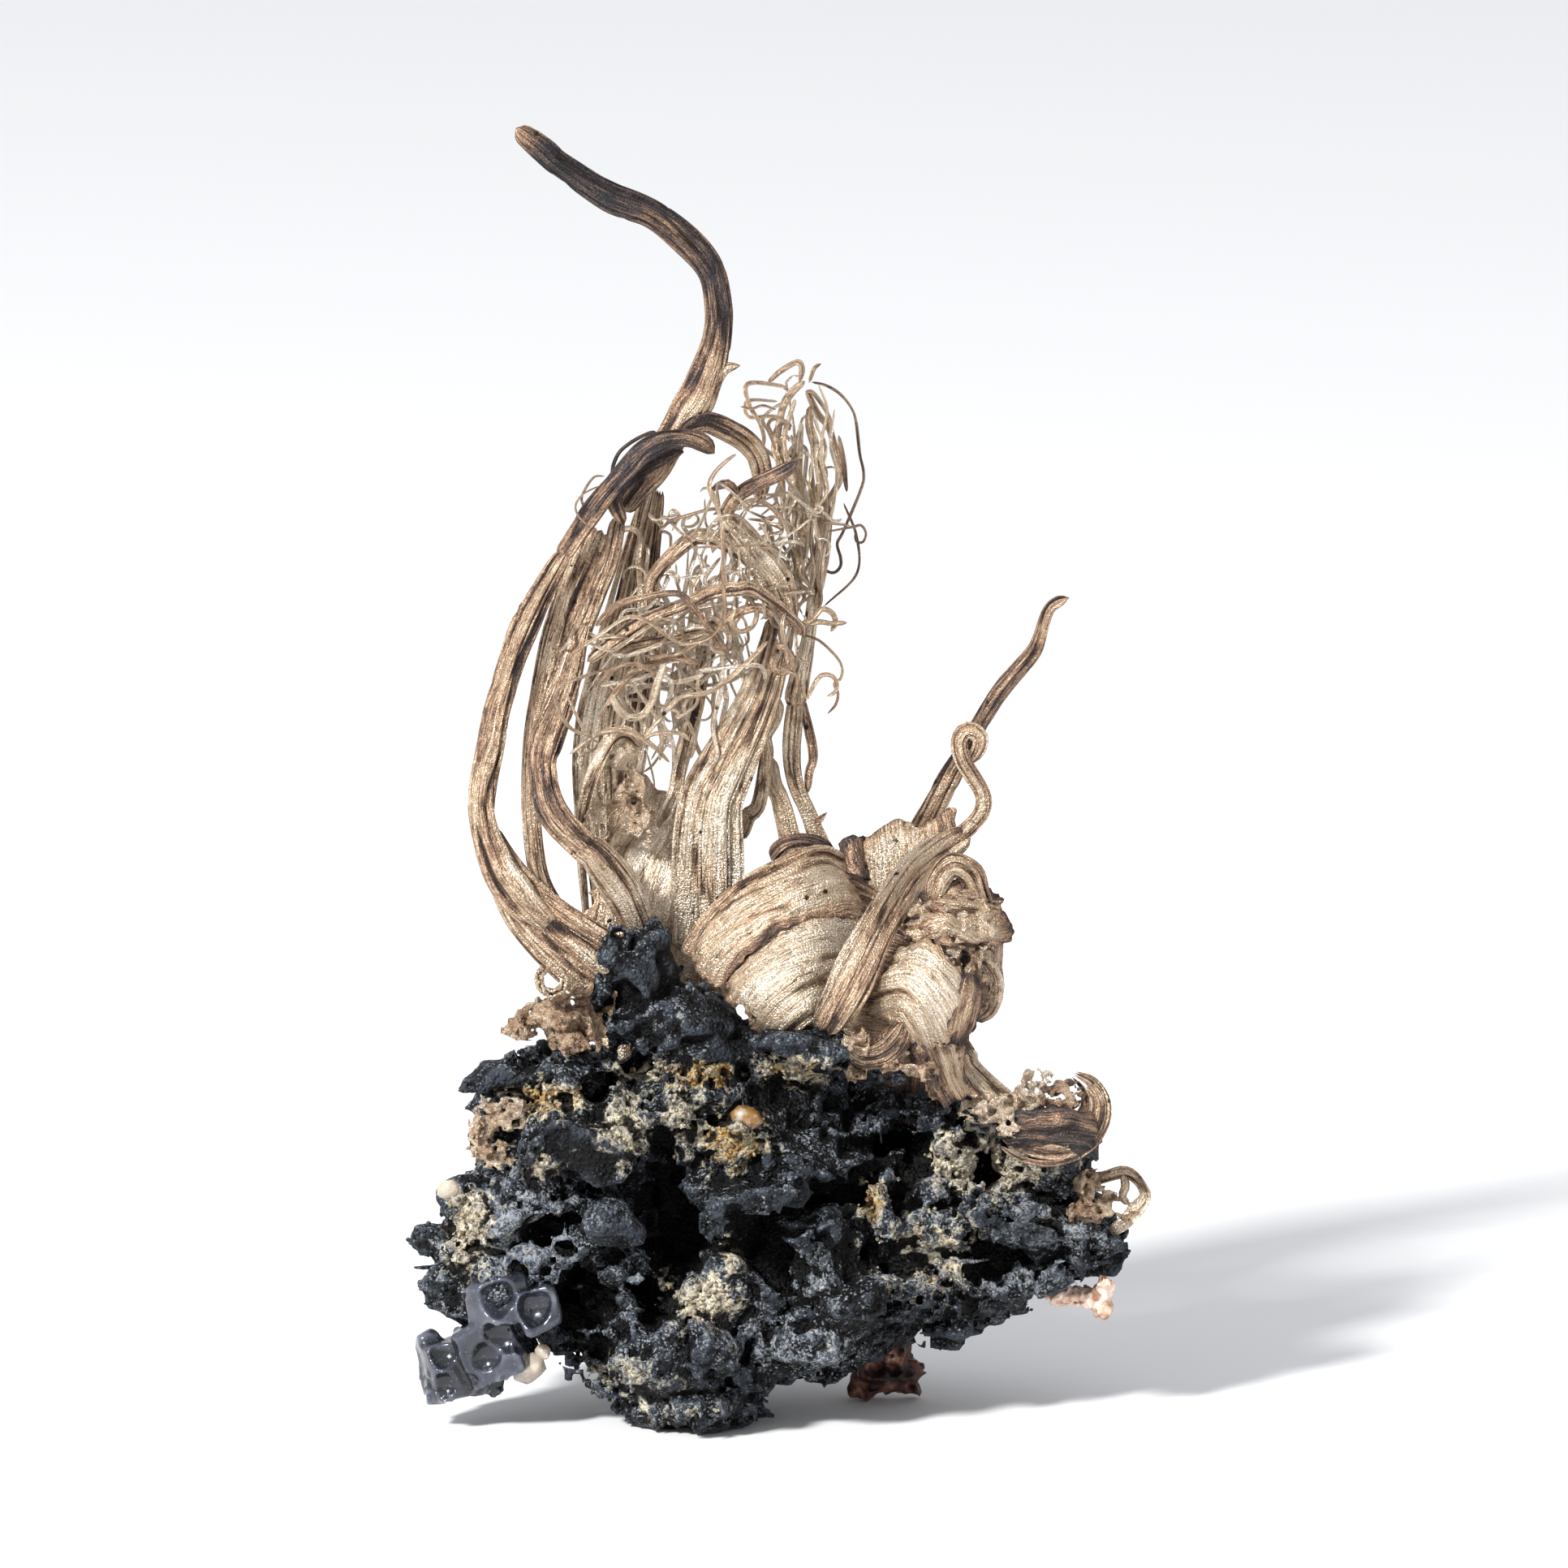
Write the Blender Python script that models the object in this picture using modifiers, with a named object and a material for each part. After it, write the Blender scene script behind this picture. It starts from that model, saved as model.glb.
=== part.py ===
"""Native silver on acanthite: a loose mineral specimen, modelled in Blender 4.5.

Wires, ribbons and leaves of native silver rise from a lumpy acanthite matrix.
Units in the tables are millimetres. The part stands on the flat spot under the
matrix, with its origin in the middle of that spot, +Z up and the front at -Y.
"""

import math

import bmesh
import bpy
from mathutils import Matrix, Vector

MM = 0.001

# Places are written as (across, up, back). "Up" is measured square to a line of sight that
# falls by SIGHT_FALL, so a place further back stands a little lower in the world.
SIGHT_FALL = math.radians(10.0)
ORIGIN_ACROSS = -4.4
FRONT_CONTACT_BACK = -7.0

# Driving dimensions
ROCK_VOXEL = 0.75
ROCK_COARSE_RELIEF = 1.6
ROCK_FINE_RELIEF = 0.9
ROCK_GRAIN_RELIEF = 0.5
ROCK_DECIMATE = 0.116
TOUCH_GAP = 0.45
WELD_DISTANCES = (0.001, 0.004, 0.012, 0.03)
RIBBON_THICKNESS = 0.7
LEAF_THICKNESS = 0.9
ROUTE_STEP = 1.9
WIDE_RIBBON = 1.3

# The matrix: lumps as (across, up, back, half width, half height, half depth, lean in degrees).
ROCK_LUMPS = (
    (0.5, 13.8, 4.2, 14.5, 9.5, 11.7, 0),
    (-13.5, 12.6, 2.4, 7.6, 6.6, 9.4, 10),
    (-19.3, 11.0, 0.5, 2.6, 3.0, 4.0, 0),
    (-13.0, 19.0, 0.5, 5.8, 3.6, 6.5, -6),
    (-5.6, 6.2, -0.5, 7.0, 6.2, 7.5, 0),
    (-11.0, 8.2, 1.0, 5.6, 4.6, 7.0, -20),
    (3.2, 8.6, 1.0, 6.5, 4.6, 7.5, 20),
    (11.0, 10.8, 3.0, 6.4, 4.6, 7.5, 5),
    (16.0, 13.4, 4.0, 6.0, 4.6, 7.5, 0),
    (20.4, 12.2, 2.0, 2.2, 1.2, 2.6, 0),
    (16.8, 17.2, 3.0, 3.8, 2.6, 5.0, 8),
    (9.0, 19.2, 5.0, 6.6, 4.6, 8.0, -12),
    (1.5, 24.2, 0.5, 4.8, 1.9, 5.0, 0),
    (2.4, 26.4, -1.4, 0.9, 1.2, 1.0, 0),
    (-4.6, 25.6, 0.2, 4.6, 3.0, 5.0, -34),
    (-8.4, 28.0, -0.9, 2.8, 4.0, 3.0, -8),
    (-9.6, 31.0, -1.4, 1.3, 1.5, 1.5, 20),
    (-7.4, 31.2, -1.2, 0.9, 1.2, 1.3, -20),
    (-12.0, 23.0, 0.5, 3.6, 2.2, 4.6, 0),
    (-16.6, 22.9, -0.8, 2.4, 1.0, 2.0, -14),
    (-18.4, 22.0, -1.2, 1.1, 0.6, 1.0, -30),
    (-4.0, 20.4, 2.5, 8.0, 4.4, 9.0, 0),
)

# Ledges that stand out of the front: the same seven numbers, with flat tops from a box.
ROCK_LEDGES = (
    (-11.8, 18.2, -6.2, 3.0, 1.7, 1.8, -24),
    (-10.0, 13.8, -6.6, 2.0, 1.6, 1.5, 12),
    (1.5, 25.0, -4.6, 3.2, 0.6, 1.6, -4),
    (-0.5, 15.6, -7.6, 3.6, 0.9, 1.6, 14),
    (17.0, 12.6, -3.6, 3.0, 0.6, 1.8, 6),
    (14.6, 14.8, -4.4, 2.6, 0.6, 1.6, -8),
    (3.6, 19.4, -6.2, 2.4, 1.2, 1.4, -20),
)

# Hollows and clefts cut into the front.
ROCK_HOLLOWS = (
    (-6.9, 17.0, -7.4, 1.4, 3.3, 7.0, -12),
    (-6.0, 12.8, -8.0, 1.9, 3.7, 7.0, 0),
    (-6.8, 9.0, -8.4, 1.1, 2.3, 5.0, 8),
    (-10.6, 21.8, -5.4, 1.4, 1.4, 4.6, 0),
    (-8.4, 23.3, -5.2, 1.2, 1.1, 4.4, 20),
    (-4.2, 20.6, -7.0, 0.9, 1.8, 5.0, -8),
    (-9.2, 27.0, -3.8, 1.3, 1.5, 3.0, 0),
    (5.6, 22.2, -4.6, 1.9, 2.7, 6.0, -30),
    (3.6, 20.6, -6.4, 1.4, 1.3, 4.0, -30),
    (8.3, 17.2, -5.6, 1.1, 2.7, 6.5, 4),
    (2.6, 14.1, -8.4, 4.2, 0.9, 5.0, 14),
    (-1.2, 13.0, -8.4, 1.7, 0.9, 4.0, 10),
    (7.2, 11.0, -7.4, 2.6, 0.9, 4.0, -22),
    (14.0, 10.4, -4.8, 1.9, 1.1, 4.6, 24),
    (12.4, 13.9, -5.4, 2.6, 0.8, 4.0, -6),
    (-16.6, 15.8, -5.8, 1.4, 1.1, 3.0, 0),
    (-13.6, 12.4, -7.0, 2.6, 0.9, 4.0, -30),
    (-12.4, 8.6, -6.0, 2.2, 1.0, 4.0, -30),
    (-11.4, 5.2, -5.2, 1.6, 0.9, 3.4, -24),
)

# Flat spot that the matrix stands on, cut from the lumps at floor level.
BASE_SPOT = (-4.4, 1.2, 1.5, 4.4, 1.6, 5.6, 0)

FOOT_LUMPS = (
    (6.4, 3.9, 6.6, 1.5, 1.5, 1.6, 0),
    (8.3, 4.0, 6.8, 1.2, 1.2, 1.5, 0),
    (7.6, 5.5, 6.4, 1.4, 1.1, 1.5, 20),
    (6.0, 3.0, 6.2, 1.0, 0.9, 1.1, 0),
    (8.2, 6.6, 6.0, 0.8, 1.3, 0.9, 0),
)

KNOT_LUMPS = (
    (-10.8, 39.4, 0.9, 1.2, 1.6, 1.0, 20),
    (-9.0, 40.4, 1.3, 1.3, 1.4, 1.0, -20),
    (-10.6, 42.6, 0.9, 1.3, 1.5, 0.9, 0),
    (-8.9, 43.6, 1.2, 1.2, 1.0, 0.8, 30),
    (-9.6, 44.8, 1.4, 1.0, 0.5, 0.6, -30),
    (-8.2, 38.4, 1.6, 1.1, 1.3, 0.8, 0),
)

LEFT_CRUMPLE_LUMPS = (
    (-14.6, 26.4, -2.6, 1.5, 0.9, 1.4, 30),
    (-13.0, 26.8, -3.0, 1.3, 1.5, 1.2, -20),
    (-11.6, 26.2, -2.6, 1.0, 1.6, 1.2, 10),
    (-15.6, 25.7, -2.2, 1.1, 0.6, 1.0, 0),
    (-12.4, 25.0, -2.4, 1.6, 0.8, 1.4, 0),
)

LEFT_CRUST_LUMPS = (
    (-17.6, 20.2, -2.8, 1.0, 0.8, 1.4, 20),
    (-16.2, 20.5, -3.4, 1.1, 0.8, 1.2, -10),
    (-17.9, 18.6, -2.6, 0.8, 1.2, 1.3, 0),
    (-16.8, 17.9, -3.6, 0.9, 0.8, 1.0, 0),
)

EDGE_CRUST_LUMPS = (
    (19.8, 8.9, 0.6, 1.0, 0.6, 1.4, -20),
    (20.8, 8.3, 0.4, 0.6, 0.6, 0.8, 40),
    (18.2, 9.1, 0.8, 1.2, 0.6, 1.2, 0),
)

# Glassy crystals: rounded cubes as (across, up, back, half side, turn about up, turn about depth).
GLASSY_CUBES = (
    (-19.9, 4.7, -1.8, 1.7, 24, 8),
    (-17.2, 6.0, -2.6, 1.9, -20, 24),
    (-16.4, 8.4, -3.2, 1.6, 35, 12),
    (-18.4, 5.0, 0.6, 1.7, 10, -12),
    (-21.2, 6.3, -1.2, 0.7, 20, 30),
)

# The scoops that hollow the glassy faces: (across, up, back, radius).
GLASSY_SCOOPS = (
    (-20.2, 5.6, -4.6, 1.5),
    (-20.3, 3.4, -4.2, 1.3),
    (-17.6, 5.7, -5.9, 1.9),
    (-16.9, 8.7, -6.2, 1.7),
    (-21.9, 4.4, -2.6, 1.2),
    (-18.6, 2.2, -2.4, 1.4),
    (-19.6, 7.6, -2.4, 1.2),
)

# Strands: each point is (across, up, back, width).
TALL_WIRE = (
    (-15.7, 81.3, -1.5, 0.9), (-14.6, 80.4, -1.4, 1.5), (-13.0, 79.05, -1.2, 1.6), (-11.0, 77.7, -0.8, 1.6),
    (-9.0, 76.8, -0.4, 1.7), (-7.0, 75.9, 0.2, 1.8), (-5.0, 74.35, 0.8, 1.8), (-3.6, 72.2, 1.2, 1.7),
    (-3.25, 69.5, 1.6, 1.7), (-3.6, 67.0, 2.0, 1.9), (-4.5, 65.0, 2.4, 2.3), (-5.5, 63.4, 2.8, 2.4),
    (-6.7, 61.4, 3.1, 2.3), (-8.0, 59.6, 3.2, 2.2), (-8.7, 58.8, 3.2, 2.0),
)
TWISTED_RIBBON = (
    (-3.7, 61.6, 1.3, 1.2), (-5.2, 62.3, 1.0, 1.3), (-6.5, 62.3, 0.9, 1.3), (-7.7, 61.7, 0.9, 1.3),
    (-8.8, 60.6, 1.0, 1.3), (-10.0, 59.3, 1.2, 1.3), (-11.0, 58.0, 1.3, 1.3), (-12.0, 56.4, 1.3, 1.2),
    (-13.1, 54.9, 1.3, 1.0),
)
TWISTED_FOLD = (
    (-5.6, 61.4, 2.0, 0.9), (-7.2, 60.8, 2.0, 1.0), (-8.7, 60.0, 2.0, 1.0), (-9.7, 58.9, 2.0, 1.0),
    (-9.3, 57.5, 1.9, 0.8),
)
ARCH_RIBBON = (
    (-3.5, 63.2, 2.3, 1.2), (-2.8, 62.9, 2.5, 1.5), (-2.0, 62.4, 2.7, 1.5), (-0.9, 61.4, 3.0, 1.5),
    (-0.5, 59.9, 3.2, 1.3),
)
GREY_STRAND = (
    (1.45, 60.9, 0.6, 0.8), (0.0, 60.0, 0.7, 1.0), (-1.9, 58.9, 0.9, 1.0), (-2.8, 57.5, 1.1, 1.1),
    (-1.9, 56.4, 1.2, 1.5), (-0.6, 55.0, 1.4, 1.7), (0.3, 53.6, 1.5, 1.7), (1.0, 52.2, 1.6, 1.4),
)
LOOP_STRAND = (
    (-7.4, 50.6, 2.6, 0.8), (-7.5, 52.9, 2.5, 0.8), (-6.9, 54.3, 2.4, 0.8), (-5.4, 55.9, 2.4, 0.9),
    (-3.6, 56.2, 2.5, 0.9), (-2.0, 55.3, 2.6, 0.9), (-0.4, 53.6, 2.8, 0.9), (0.2, 52.0, 2.9, 0.8),
)
CENTRAL_SHEAF = (
    (-3.9, 31.0, 2.2, 4.2), (-4.0, 34.0, 2.4, 4.3), (-4.0, 37.0, 2.5, 4.2), (-3.8, 39.7, 2.6, 3.9),
    (-3.0, 42.0, 2.6, 3.5), (-1.9, 44.2, 2.7, 2.9), (-0.8, 46.4, 2.8, 2.5), (0.0, 48.6, 2.8, 2.2),
    (0.5, 50.5, 2.8, 2.0),
)
SHEAF_SIDE_STRAND = (
    (-7.0, 38.2, 3.0, 1.0), (-6.5, 40.3, 3.1, 1.0), (-5.8, 43.0, 3.3, 1.0), (-5.1, 45.5, 3.7, 1.0),
    (-4.2, 48.0, 3.9, 1.0), (-3.6, 50.4, 4.0, 0.8),
)
LEFT_STRAP = (
    (-16.9, 36.6, 0.1, 1.9), (-16.2, 34.6, 0.0, 2.8), (-14.9, 32.8, -0.2, 3.8), (-13.2, 31.4, -0.3, 4.4),
    (-11.4, 30.4, 0.2, 4.6), (-9.8, 29.4, 1.0, 4.6), (-8.6, 28.4, 1.7, 4.4),
)
LEFT_OUTER_WIRE = (
    (-13.7, 53.4, 1.2, 1.3), (-14.6, 52.0, 1.2, 1.5), (-15.5, 50.1, 1.2, 1.55), (-16.3, 47.6, 1.1, 1.55),
    (-17.0, 45.4, 0.9, 1.55), (-17.6, 42.6, 0.6, 1.6), (-17.9, 39.8, 0.2, 1.7), (-17.5, 37.7, 0.0, 1.8),
)
LEFT_BUNDLE = (
    (-10.1, 57.4, 3.3, 2.4), (-11.2, 55.0, 3.3, 2.8), (-12.2, 52.4, 3.2, 2.9), (-13.0, 50.0, 3.0, 2.5),
    (-13.7, 47.6, 2.8, 2.1), (-14.4, 45.2, 2.6, 1.6), (-14.9, 43.0, 2.4, 1.2), (-15.1, 40.6, 2.2, 1.1),
    (-14.9, 38.2, 1.9, 1.1), (-14.6, 36.0, 1.6, 1.2), (-14.0, 34.4, 1.2, 1.3),
)
BACK_SHEAF = (
    (-7.6, 57.9, 5.4, 2.0), (-8.2, 55.0, 5.6, 2.3), (-8.7, 52.0, 5.8, 2.6), (-9.3, 49.0, 5.9, 2.8),
    (-10.0, 46.0, 6.0, 3.0), (-10.4, 43.0, 6.2, 2.8), (-10.4, 40.0, 6.4, 2.4), (-10.2, 36.4, 6.5, 2.4),
    (-9.8, 32.4, 6.4, 2.8), (-9.4, 27.0, 5.8, 3.0),
)
BACK_STRAND = (
    (-7.2, 50.4, 4.6, 0.9), (-7.5, 47.0, 4.6, 1.0), (-8.0, 44.0, 4.7, 1.1), (-8.5, 41.9, 4.8, 1.2),
)
FRONT_CURL_STRAND = (
    (-12.2, 48.9, 1.0, 1.2), (-12.9, 46.5, 0.6, 1.6), (-13.8, 44.0, -0.2, 1.8), (-14.1, 41.6, -1.0, 1.9),
    (-13.6, 39.3, -1.6, 1.9), (-12.4, 37.7, -1.9, 1.9), (-10.9, 36.4, -1.8, 2.0), (-9.6, 35.0, -1.2, 2.1),
    (-8.6, 33.6, -0.5, 2.2),
)
TANGLE_BAND_UPPER = (
    (-11.4, 48.5, -0.2, 0.7), (-9.85, 49.7, -0.2, 0.8), (-8.3, 50.8, -0.2, 0.8), (-6.8, 51.4, -0.2, 0.8),
    (-5.2, 52.1, -0.2, 0.8), (-3.7, 52.8, -0.2, 0.8), (-2.15, 53.0, -0.2, 0.8), (-0.85, 52.9, -0.1, 0.8),
    (0.0, 52.3, 0.1, 0.8), (1.7, 50.9, 0.4, 0.7),
)
TANGLE_BAND_LOWER = (
    (-9.5, 49.0, 0.7, 0.5), (-8.3, 49.5, 0.7, 0.6), (-6.0, 49.9, 0.7, 0.6), (-4.6, 50.3, 0.7, 0.6),
    (-2.9, 51.2, 0.7, 0.6), (-1.2, 51.7, 0.7, 0.6), (0.2, 51.2, 0.7, 0.5),
)
RIGHT_STEM = (
    (3.3, 56.6, 5.2, 1.0), (2.95, 54.0, 5.2, 1.1), (2.55, 52.0, 5.2, 0.8), (2.3, 50.0, 5.2, 0.8),
    (1.9, 48.4, 5.2, 1.0), (1.6, 46.8, 5.2, 1.3),
)
STEM_LEG_INNER = (
    (1.5, 46.1, 5.3, 1.2), (1.5, 44.4, 5.4, 1.1), (1.4, 42.0, 5.5, 1.0), (1.85, 40.0, 5.6, 1.0),
    (2.45, 38.5, 5.6, 1.0), (2.9, 37.4, 5.6, 1.1),
)
STEM_LEG_PALE = (
    (0.2, 42.0, 5.4, 0.7), (0.3, 41.0, 5.3, 0.9), (0.7, 39.7, 5.2, 1.0), (1.2, 37.8, 5.1, 1.1),
)
STEM_SIDE_STRAND = (
    (0.4, 45.7, 4.4, 0.7), (-0.3, 44.4, 4.4, 0.8), (-0.4, 42.6, 4.4, 0.8), (-0.7, 40.6, 4.4, 0.8),
    (-1.4, 39.2, 4.5, 0.8), (-1.8, 37.6, 4.6, 0.8),
)
LEAF_DIAGONAL = (
    (3.6, 25.4, -5.6, 1.6), (4.9, 27.4, -5.4, 1.7), (6.0, 29.2, -4.8, 1.7), (7.0, 31.2, -3.6, 1.7),
    (7.9, 32.8, -2.2, 1.7), (9.0, 34.4, -0.4, 1.6), (10.0, 35.8, 1.4, 1.5), (10.7, 36.8, 2.8, 1.3),
)
CURL_ARCH = (
    (10.3, 34.9, -1.6, 0.8), (10.7, 35.8, -1.8, 0.9), (11.7, 36.1, -1.8, 0.9), (12.5, 35.3, -1.6, 0.9),
    (12.9, 34.5, -1.2, 0.8),
)
NECK_RIGHT = (
    (12.0, 23.6, -0.6, 1.7), (12.7, 22.7, -0.8, 1.7), (13.5, 21.9, -1.0, 1.6), (14.3, 21.1, -1.2, 1.5),
)
LOOP_RIBBON_RIGHT = (
    (19.4, 16.2, 1.6, 0.7), (20.8, 16.4, 1.5, 0.7), (22.2, 16.8, 1.4, 0.7), (23.3, 15.9, 1.2, 0.7),
    (23.2, 14.9, 1.0, 0.7), (22.3, 13.7, 1.0, 0.7), (20.9, 12.9, 1.0, 0.6),
)
SPIKE_WIRE = (
    (18.4, 52.4, 2.6, 0.6), (17.4, 51.9, 2.7, 0.7), (16.75, 50.7, 2.9, 0.8), (16.4, 49.2, 3.1, 1.0),
    (15.2, 48.0, 3.4, 1.2), (13.9, 46.2, 3.8, 1.2), (12.5, 44.0, 4.2, 1.2), (11.5, 42.7, 4.4, 1.3),
    (10.6, 40.6, 4.6, 1.7), (9.8, 38.9, 4.7, 1.7), (9.2, 37.6, 4.5, 1.6),
)
HOOKED_RIBBON = (
    (12.6, 42.6, 3.0, 0.7), (13.0, 43.6, 3.0, 0.85), (12.4, 44.2, 3.0, 0.85), (11.7, 43.6, 3.0, 0.85),
    (12.0, 42.0, 2.9, 0.85), (12.9, 40.9, 2.9, 0.85), (13.1, 39.4, 2.9, 0.85), (12.3, 38.3, 2.9, 0.85),
    (11.5, 37.7, 2.8, 0.8),
)

# Round wires of the head and the tangle, the same way.
HEAD_WIRES = (
    ((2.1, 65.9, 3.2, 0.4), (1.2, 65.1, 3.2, 0.5), (0.6, 63.8, 3.2, 0.5), (0.3, 62.0, 3.3, 0.5),
     (0.6, 60.6, 3.3, 0.5)),
    ((1.9, 63.4, 4.0, 0.4), (1.8, 61.0, 4.0, 0.45), (1.75, 58.6, 4.0, 0.45), (1.9, 56.2, 4.0, 0.45),
     (1.7, 53.9, 4.0, 0.4)),
    ((2.4, 64.4, 4.7, 0.4), (2.45, 62.6, 4.7, 0.45), (3.0, 61.0, 4.7, 0.5), (3.2, 59.6, 4.7, 0.5),
     (3.0, 57.9, 4.7, 0.5), (2.9, 57.2, 4.7, 0.4)),
    ((2.3, 65.2, 5.6, 0.35), (2.9, 63.9, 5.6, 0.4), (3.6, 62.8, 5.6, 0.45), (4.1, 61.2, 5.6, 0.45),
     (4.2, 59.6, 5.6, 0.45), (3.6, 58.3, 5.6, 0.45), (3.5, 57.3, 5.6, 0.4)),
    ((1.5, 64.8, 2.5, 0.3), (1.1, 63.6, 2.5, 0.35), (0.85, 62.2, 2.5, 0.35), (1.2, 60.9, 2.5, 0.3),
     (1.5, 58.6, 2.6, 0.3), (1.2, 56.4, 2.8, 0.3)),
)
OUTER_ARC_WIRE = (
    (2.6, 66.0, 4.4, 0.2), (3.35, 65.7, 4.6, 0.2), (4.6, 64.9, 5.0, 0.2), (5.3, 63.2, 5.4, 0.2),
    (5.5, 61.5, 5.6, 0.2), (5.7, 59.9, 5.6, 0.2), (5.2, 58.3, 5.5, 0.2), (4.5, 56.7, 5.4, 0.2),
    (4.2, 55.3, 5.3, 0.2), (3.9, 54.1, 5.2, 0.2),
)
HEAD_LOOP_WIRE = (
    (0.9, 65.4, 1.8, 0.22), (-0.2, 65.7, 1.8, 0.22), (-1.4, 65.6, 1.9, 0.22), (-1.35, 64.4, 2.0, 0.22),
    (-0.75, 63.4, 2.1, 0.22), (-0.45, 62.4, 2.2, 0.22), (-0.5, 61.8, 2.2, 0.22),
)
TOP_HOOK_WIRE = (
    (-0.2, 65.9, 3.9, 0.3), (0.5, 66.5, 4.0, 0.35), (1.5, 67.1, 4.1, 0.35), (1.9, 66.6, 4.2, 0.35),
    (1.8, 65.7, 4.2, 0.3),
)
TANGLE_WIRE_GREY = (
    (-10.85, 50.7, -1.2, 0.3), (-9.1, 52.2, -1.2, 0.4), (-6.5, 52.7, -1.2, 0.5), (-4.9, 52.0, -1.2, 0.5),
    (-3.7, 50.5, -1.2, 0.4), (-2.6, 49.0, -1.0, 0.3),
)
TANGLE_WIRE_LONG = (
    (-12.6, 48.6, -1.9, 0.24), (-11.1, 49.8, -1.9, 0.24), (-9.1, 51.15, -1.9, 0.24), (-7.4, 50.85, -1.9, 0.24),
    (-5.2, 49.6, -1.9, 0.24), (-3.6, 50.2, -1.9, 0.24), (-2.9, 51.7, -1.8, 0.24), (-3.0, 54.9, -1.2, 0.24),
    (-3.2, 57.7, -0.6, 0.24), (-3.8, 59.1, -0.2, 0.24), (-3.3, 60.4, 0.2, 0.24), (-2.2, 61.3, 0.4, 0.24),
)
HANGING_LOOP_WIRE = (
    (-9.85, 48.15, -1.2, 0.24), (-11.6, 47.6, -1.6, 0.24), (-12.9, 47.1, -1.8, 0.24), (-13.4, 46.2, -2.0, 0.24),
    (-12.9, 45.0, -2.2, 0.24), (-11.9, 44.1, -2.2, 0.24),
)
LOW_TANGLE_WIRE = (
    (-7.9, 43.9, -0.4, 0.3), (-7.0, 44.9, -0.2, 0.3), (-5.6, 46.3, 0.2, 0.3), (-3.7, 46.7, 0.5, 0.3),
    (-2.3, 47.8, 0.7, 0.3), (-1.1, 48.9, 0.9, 0.3),
)
RIGHT_CURL_WIRE = (
    (1.9, 50.6, 1.7, 0.3), (2.6, 51.2, 1.8, 0.3), (3.3, 51.8, 1.9, 0.3), (3.95, 51.3, 2.0, 0.3),
    (3.7, 50.4, 2.0, 0.3),
)
CURLY_WIRE = (
    (2.2, 50.1, 2.8, 0.2), (3.2, 49.7, 2.9, 0.2), (4.1, 48.8, 3.0, 0.2), (4.3, 47.5, 3.0, 0.2),
    (3.9, 46.9, 3.0, 0.2), (4.1, 46.2, 3.0, 0.2), (3.5, 45.3, 3.0, 0.2),
)

# Sheets: rows of (across, up, back), lofted into one surface and then thickened.
LEAF_FRONT_ROWS = (
    ((-5.3, 30.4, 0.2), (-3.0, 33.5, -0.4), (0.2, 35.6, 0.2), (3.2, 36.6, 1.0), (4.8, 35.9, 2.0)),
    ((-4.2, 29.2, -1.6), (-2.0, 31.8, -2.8), (0.8, 33.9, -2.8), (3.4, 34.9, -1.6), (5.1, 34.5, 0.0)),
    ((-2.8, 27.8, -2.2), (-1.0, 30.2, -2.6), (1.5, 32.1, -2.4), (3.6, 32.7, -1.4), (5.5, 32.9, -0.2)),
    ((-1.6, 26.6, -3.2), (0.3, 28.6, -4.2), (2.2, 30.4, -4.0), (3.9, 31.0, -2.8), (5.2, 31.2, -1.6)),
    ((-0.2, 25.2, -3.4), (1.1, 26.4, -4.2), (2.2, 27.4, -4.0), (3.2, 28.2, -3.2), (4.2, 28.6, -2.6)),
    ((0.6, 23.0, -1.6), (1.8, 23.4, -2.0), (2.6, 23.8, -2.0), (3.4, 24.4, -1.6), (4.2, 24.8, -1.2)),
)
LEAF_BACK_ROWS = (
    ((4.9, 37.2, 6.4), (6.6, 37.7, 6.8), (8.4, 38.5, 6.8), (10.4, 39.1, 6.6)),
    ((5.1, 35.8, 5.2), (6.8, 36.0, 5.6), (8.4, 36.6, 5.8), (10.2, 37.2, 6.0)),
    ((5.6, 34.0, 3.8), (7.0, 34.0, 4.0), (8.6, 34.2, 4.2), (10.4, 34.6, 4.6)),
    ((6.2, 31.8, 2.6), (7.6, 31.4, 2.8), (9.2, 31.4, 3.0), (10.8, 31.6, 3.4)),
    ((6.4, 25.0, 2.4), (8.0, 24.6, 2.4), (9.6, 24.2, 2.6), (11.2, 23.8, 3.0)),
)
SHEET_RIGHT_ROWS = (
    ((10.0, 33.0, -2.2), (10.9, 33.9, -3.0), (12.0, 33.8, -2.4), (13.4, 33.2, -0.6)),
    ((8.8, 31.0, -4.6), (10.2, 31.3, -5.6), (12.2, 31.2, -4.6), (14.4, 30.9, -1.2)),
    ((8.2, 28.8, -5.4), (9.9, 28.8, -6.6), (12.0, 28.6, -5.8), (14.1, 28.2, -2.2)),
    ((8.2, 26.6, -5.2), (9.9, 26.0, -6.2), (11.8, 25.4, -5.6), (13.5, 25.9, -2.8)),
    ((8.6, 23.2, -2.4), (9.6, 22.4, -2.8), (10.4, 22.0, -2.6), (11.2, 22.0, -1.8)),
)
RIM_CURL_ROWS = (
    ((14.8, 18.2, -3.0), (16.8, 17.6, -3.6), (18.6, 17.8, -3.4), (20.2, 17.2, -2.0)),
    ((15.0, 20.2, -3.4), (17.0, 20.2, -4.2), (18.9, 20.4, -3.8), (20.4, 19.8, -2.4)),
    ((15.4, 21.8, -2.4), (17.2, 22.8, -2.8), (19.0, 22.7, -2.6), (20.1, 21.4, -1.4)),
    ((15.8, 21.4, -0.4), (17.3, 22.3, -0.6), (18.8, 22.2, -0.4), (19.8, 20.9, 0.2)),
    ((16.0, 19.4, 0.6), (17.2, 19.8, 0.8), (18.4, 19.6, 0.9), (19.4, 18.8, 1.0)),
)
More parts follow.
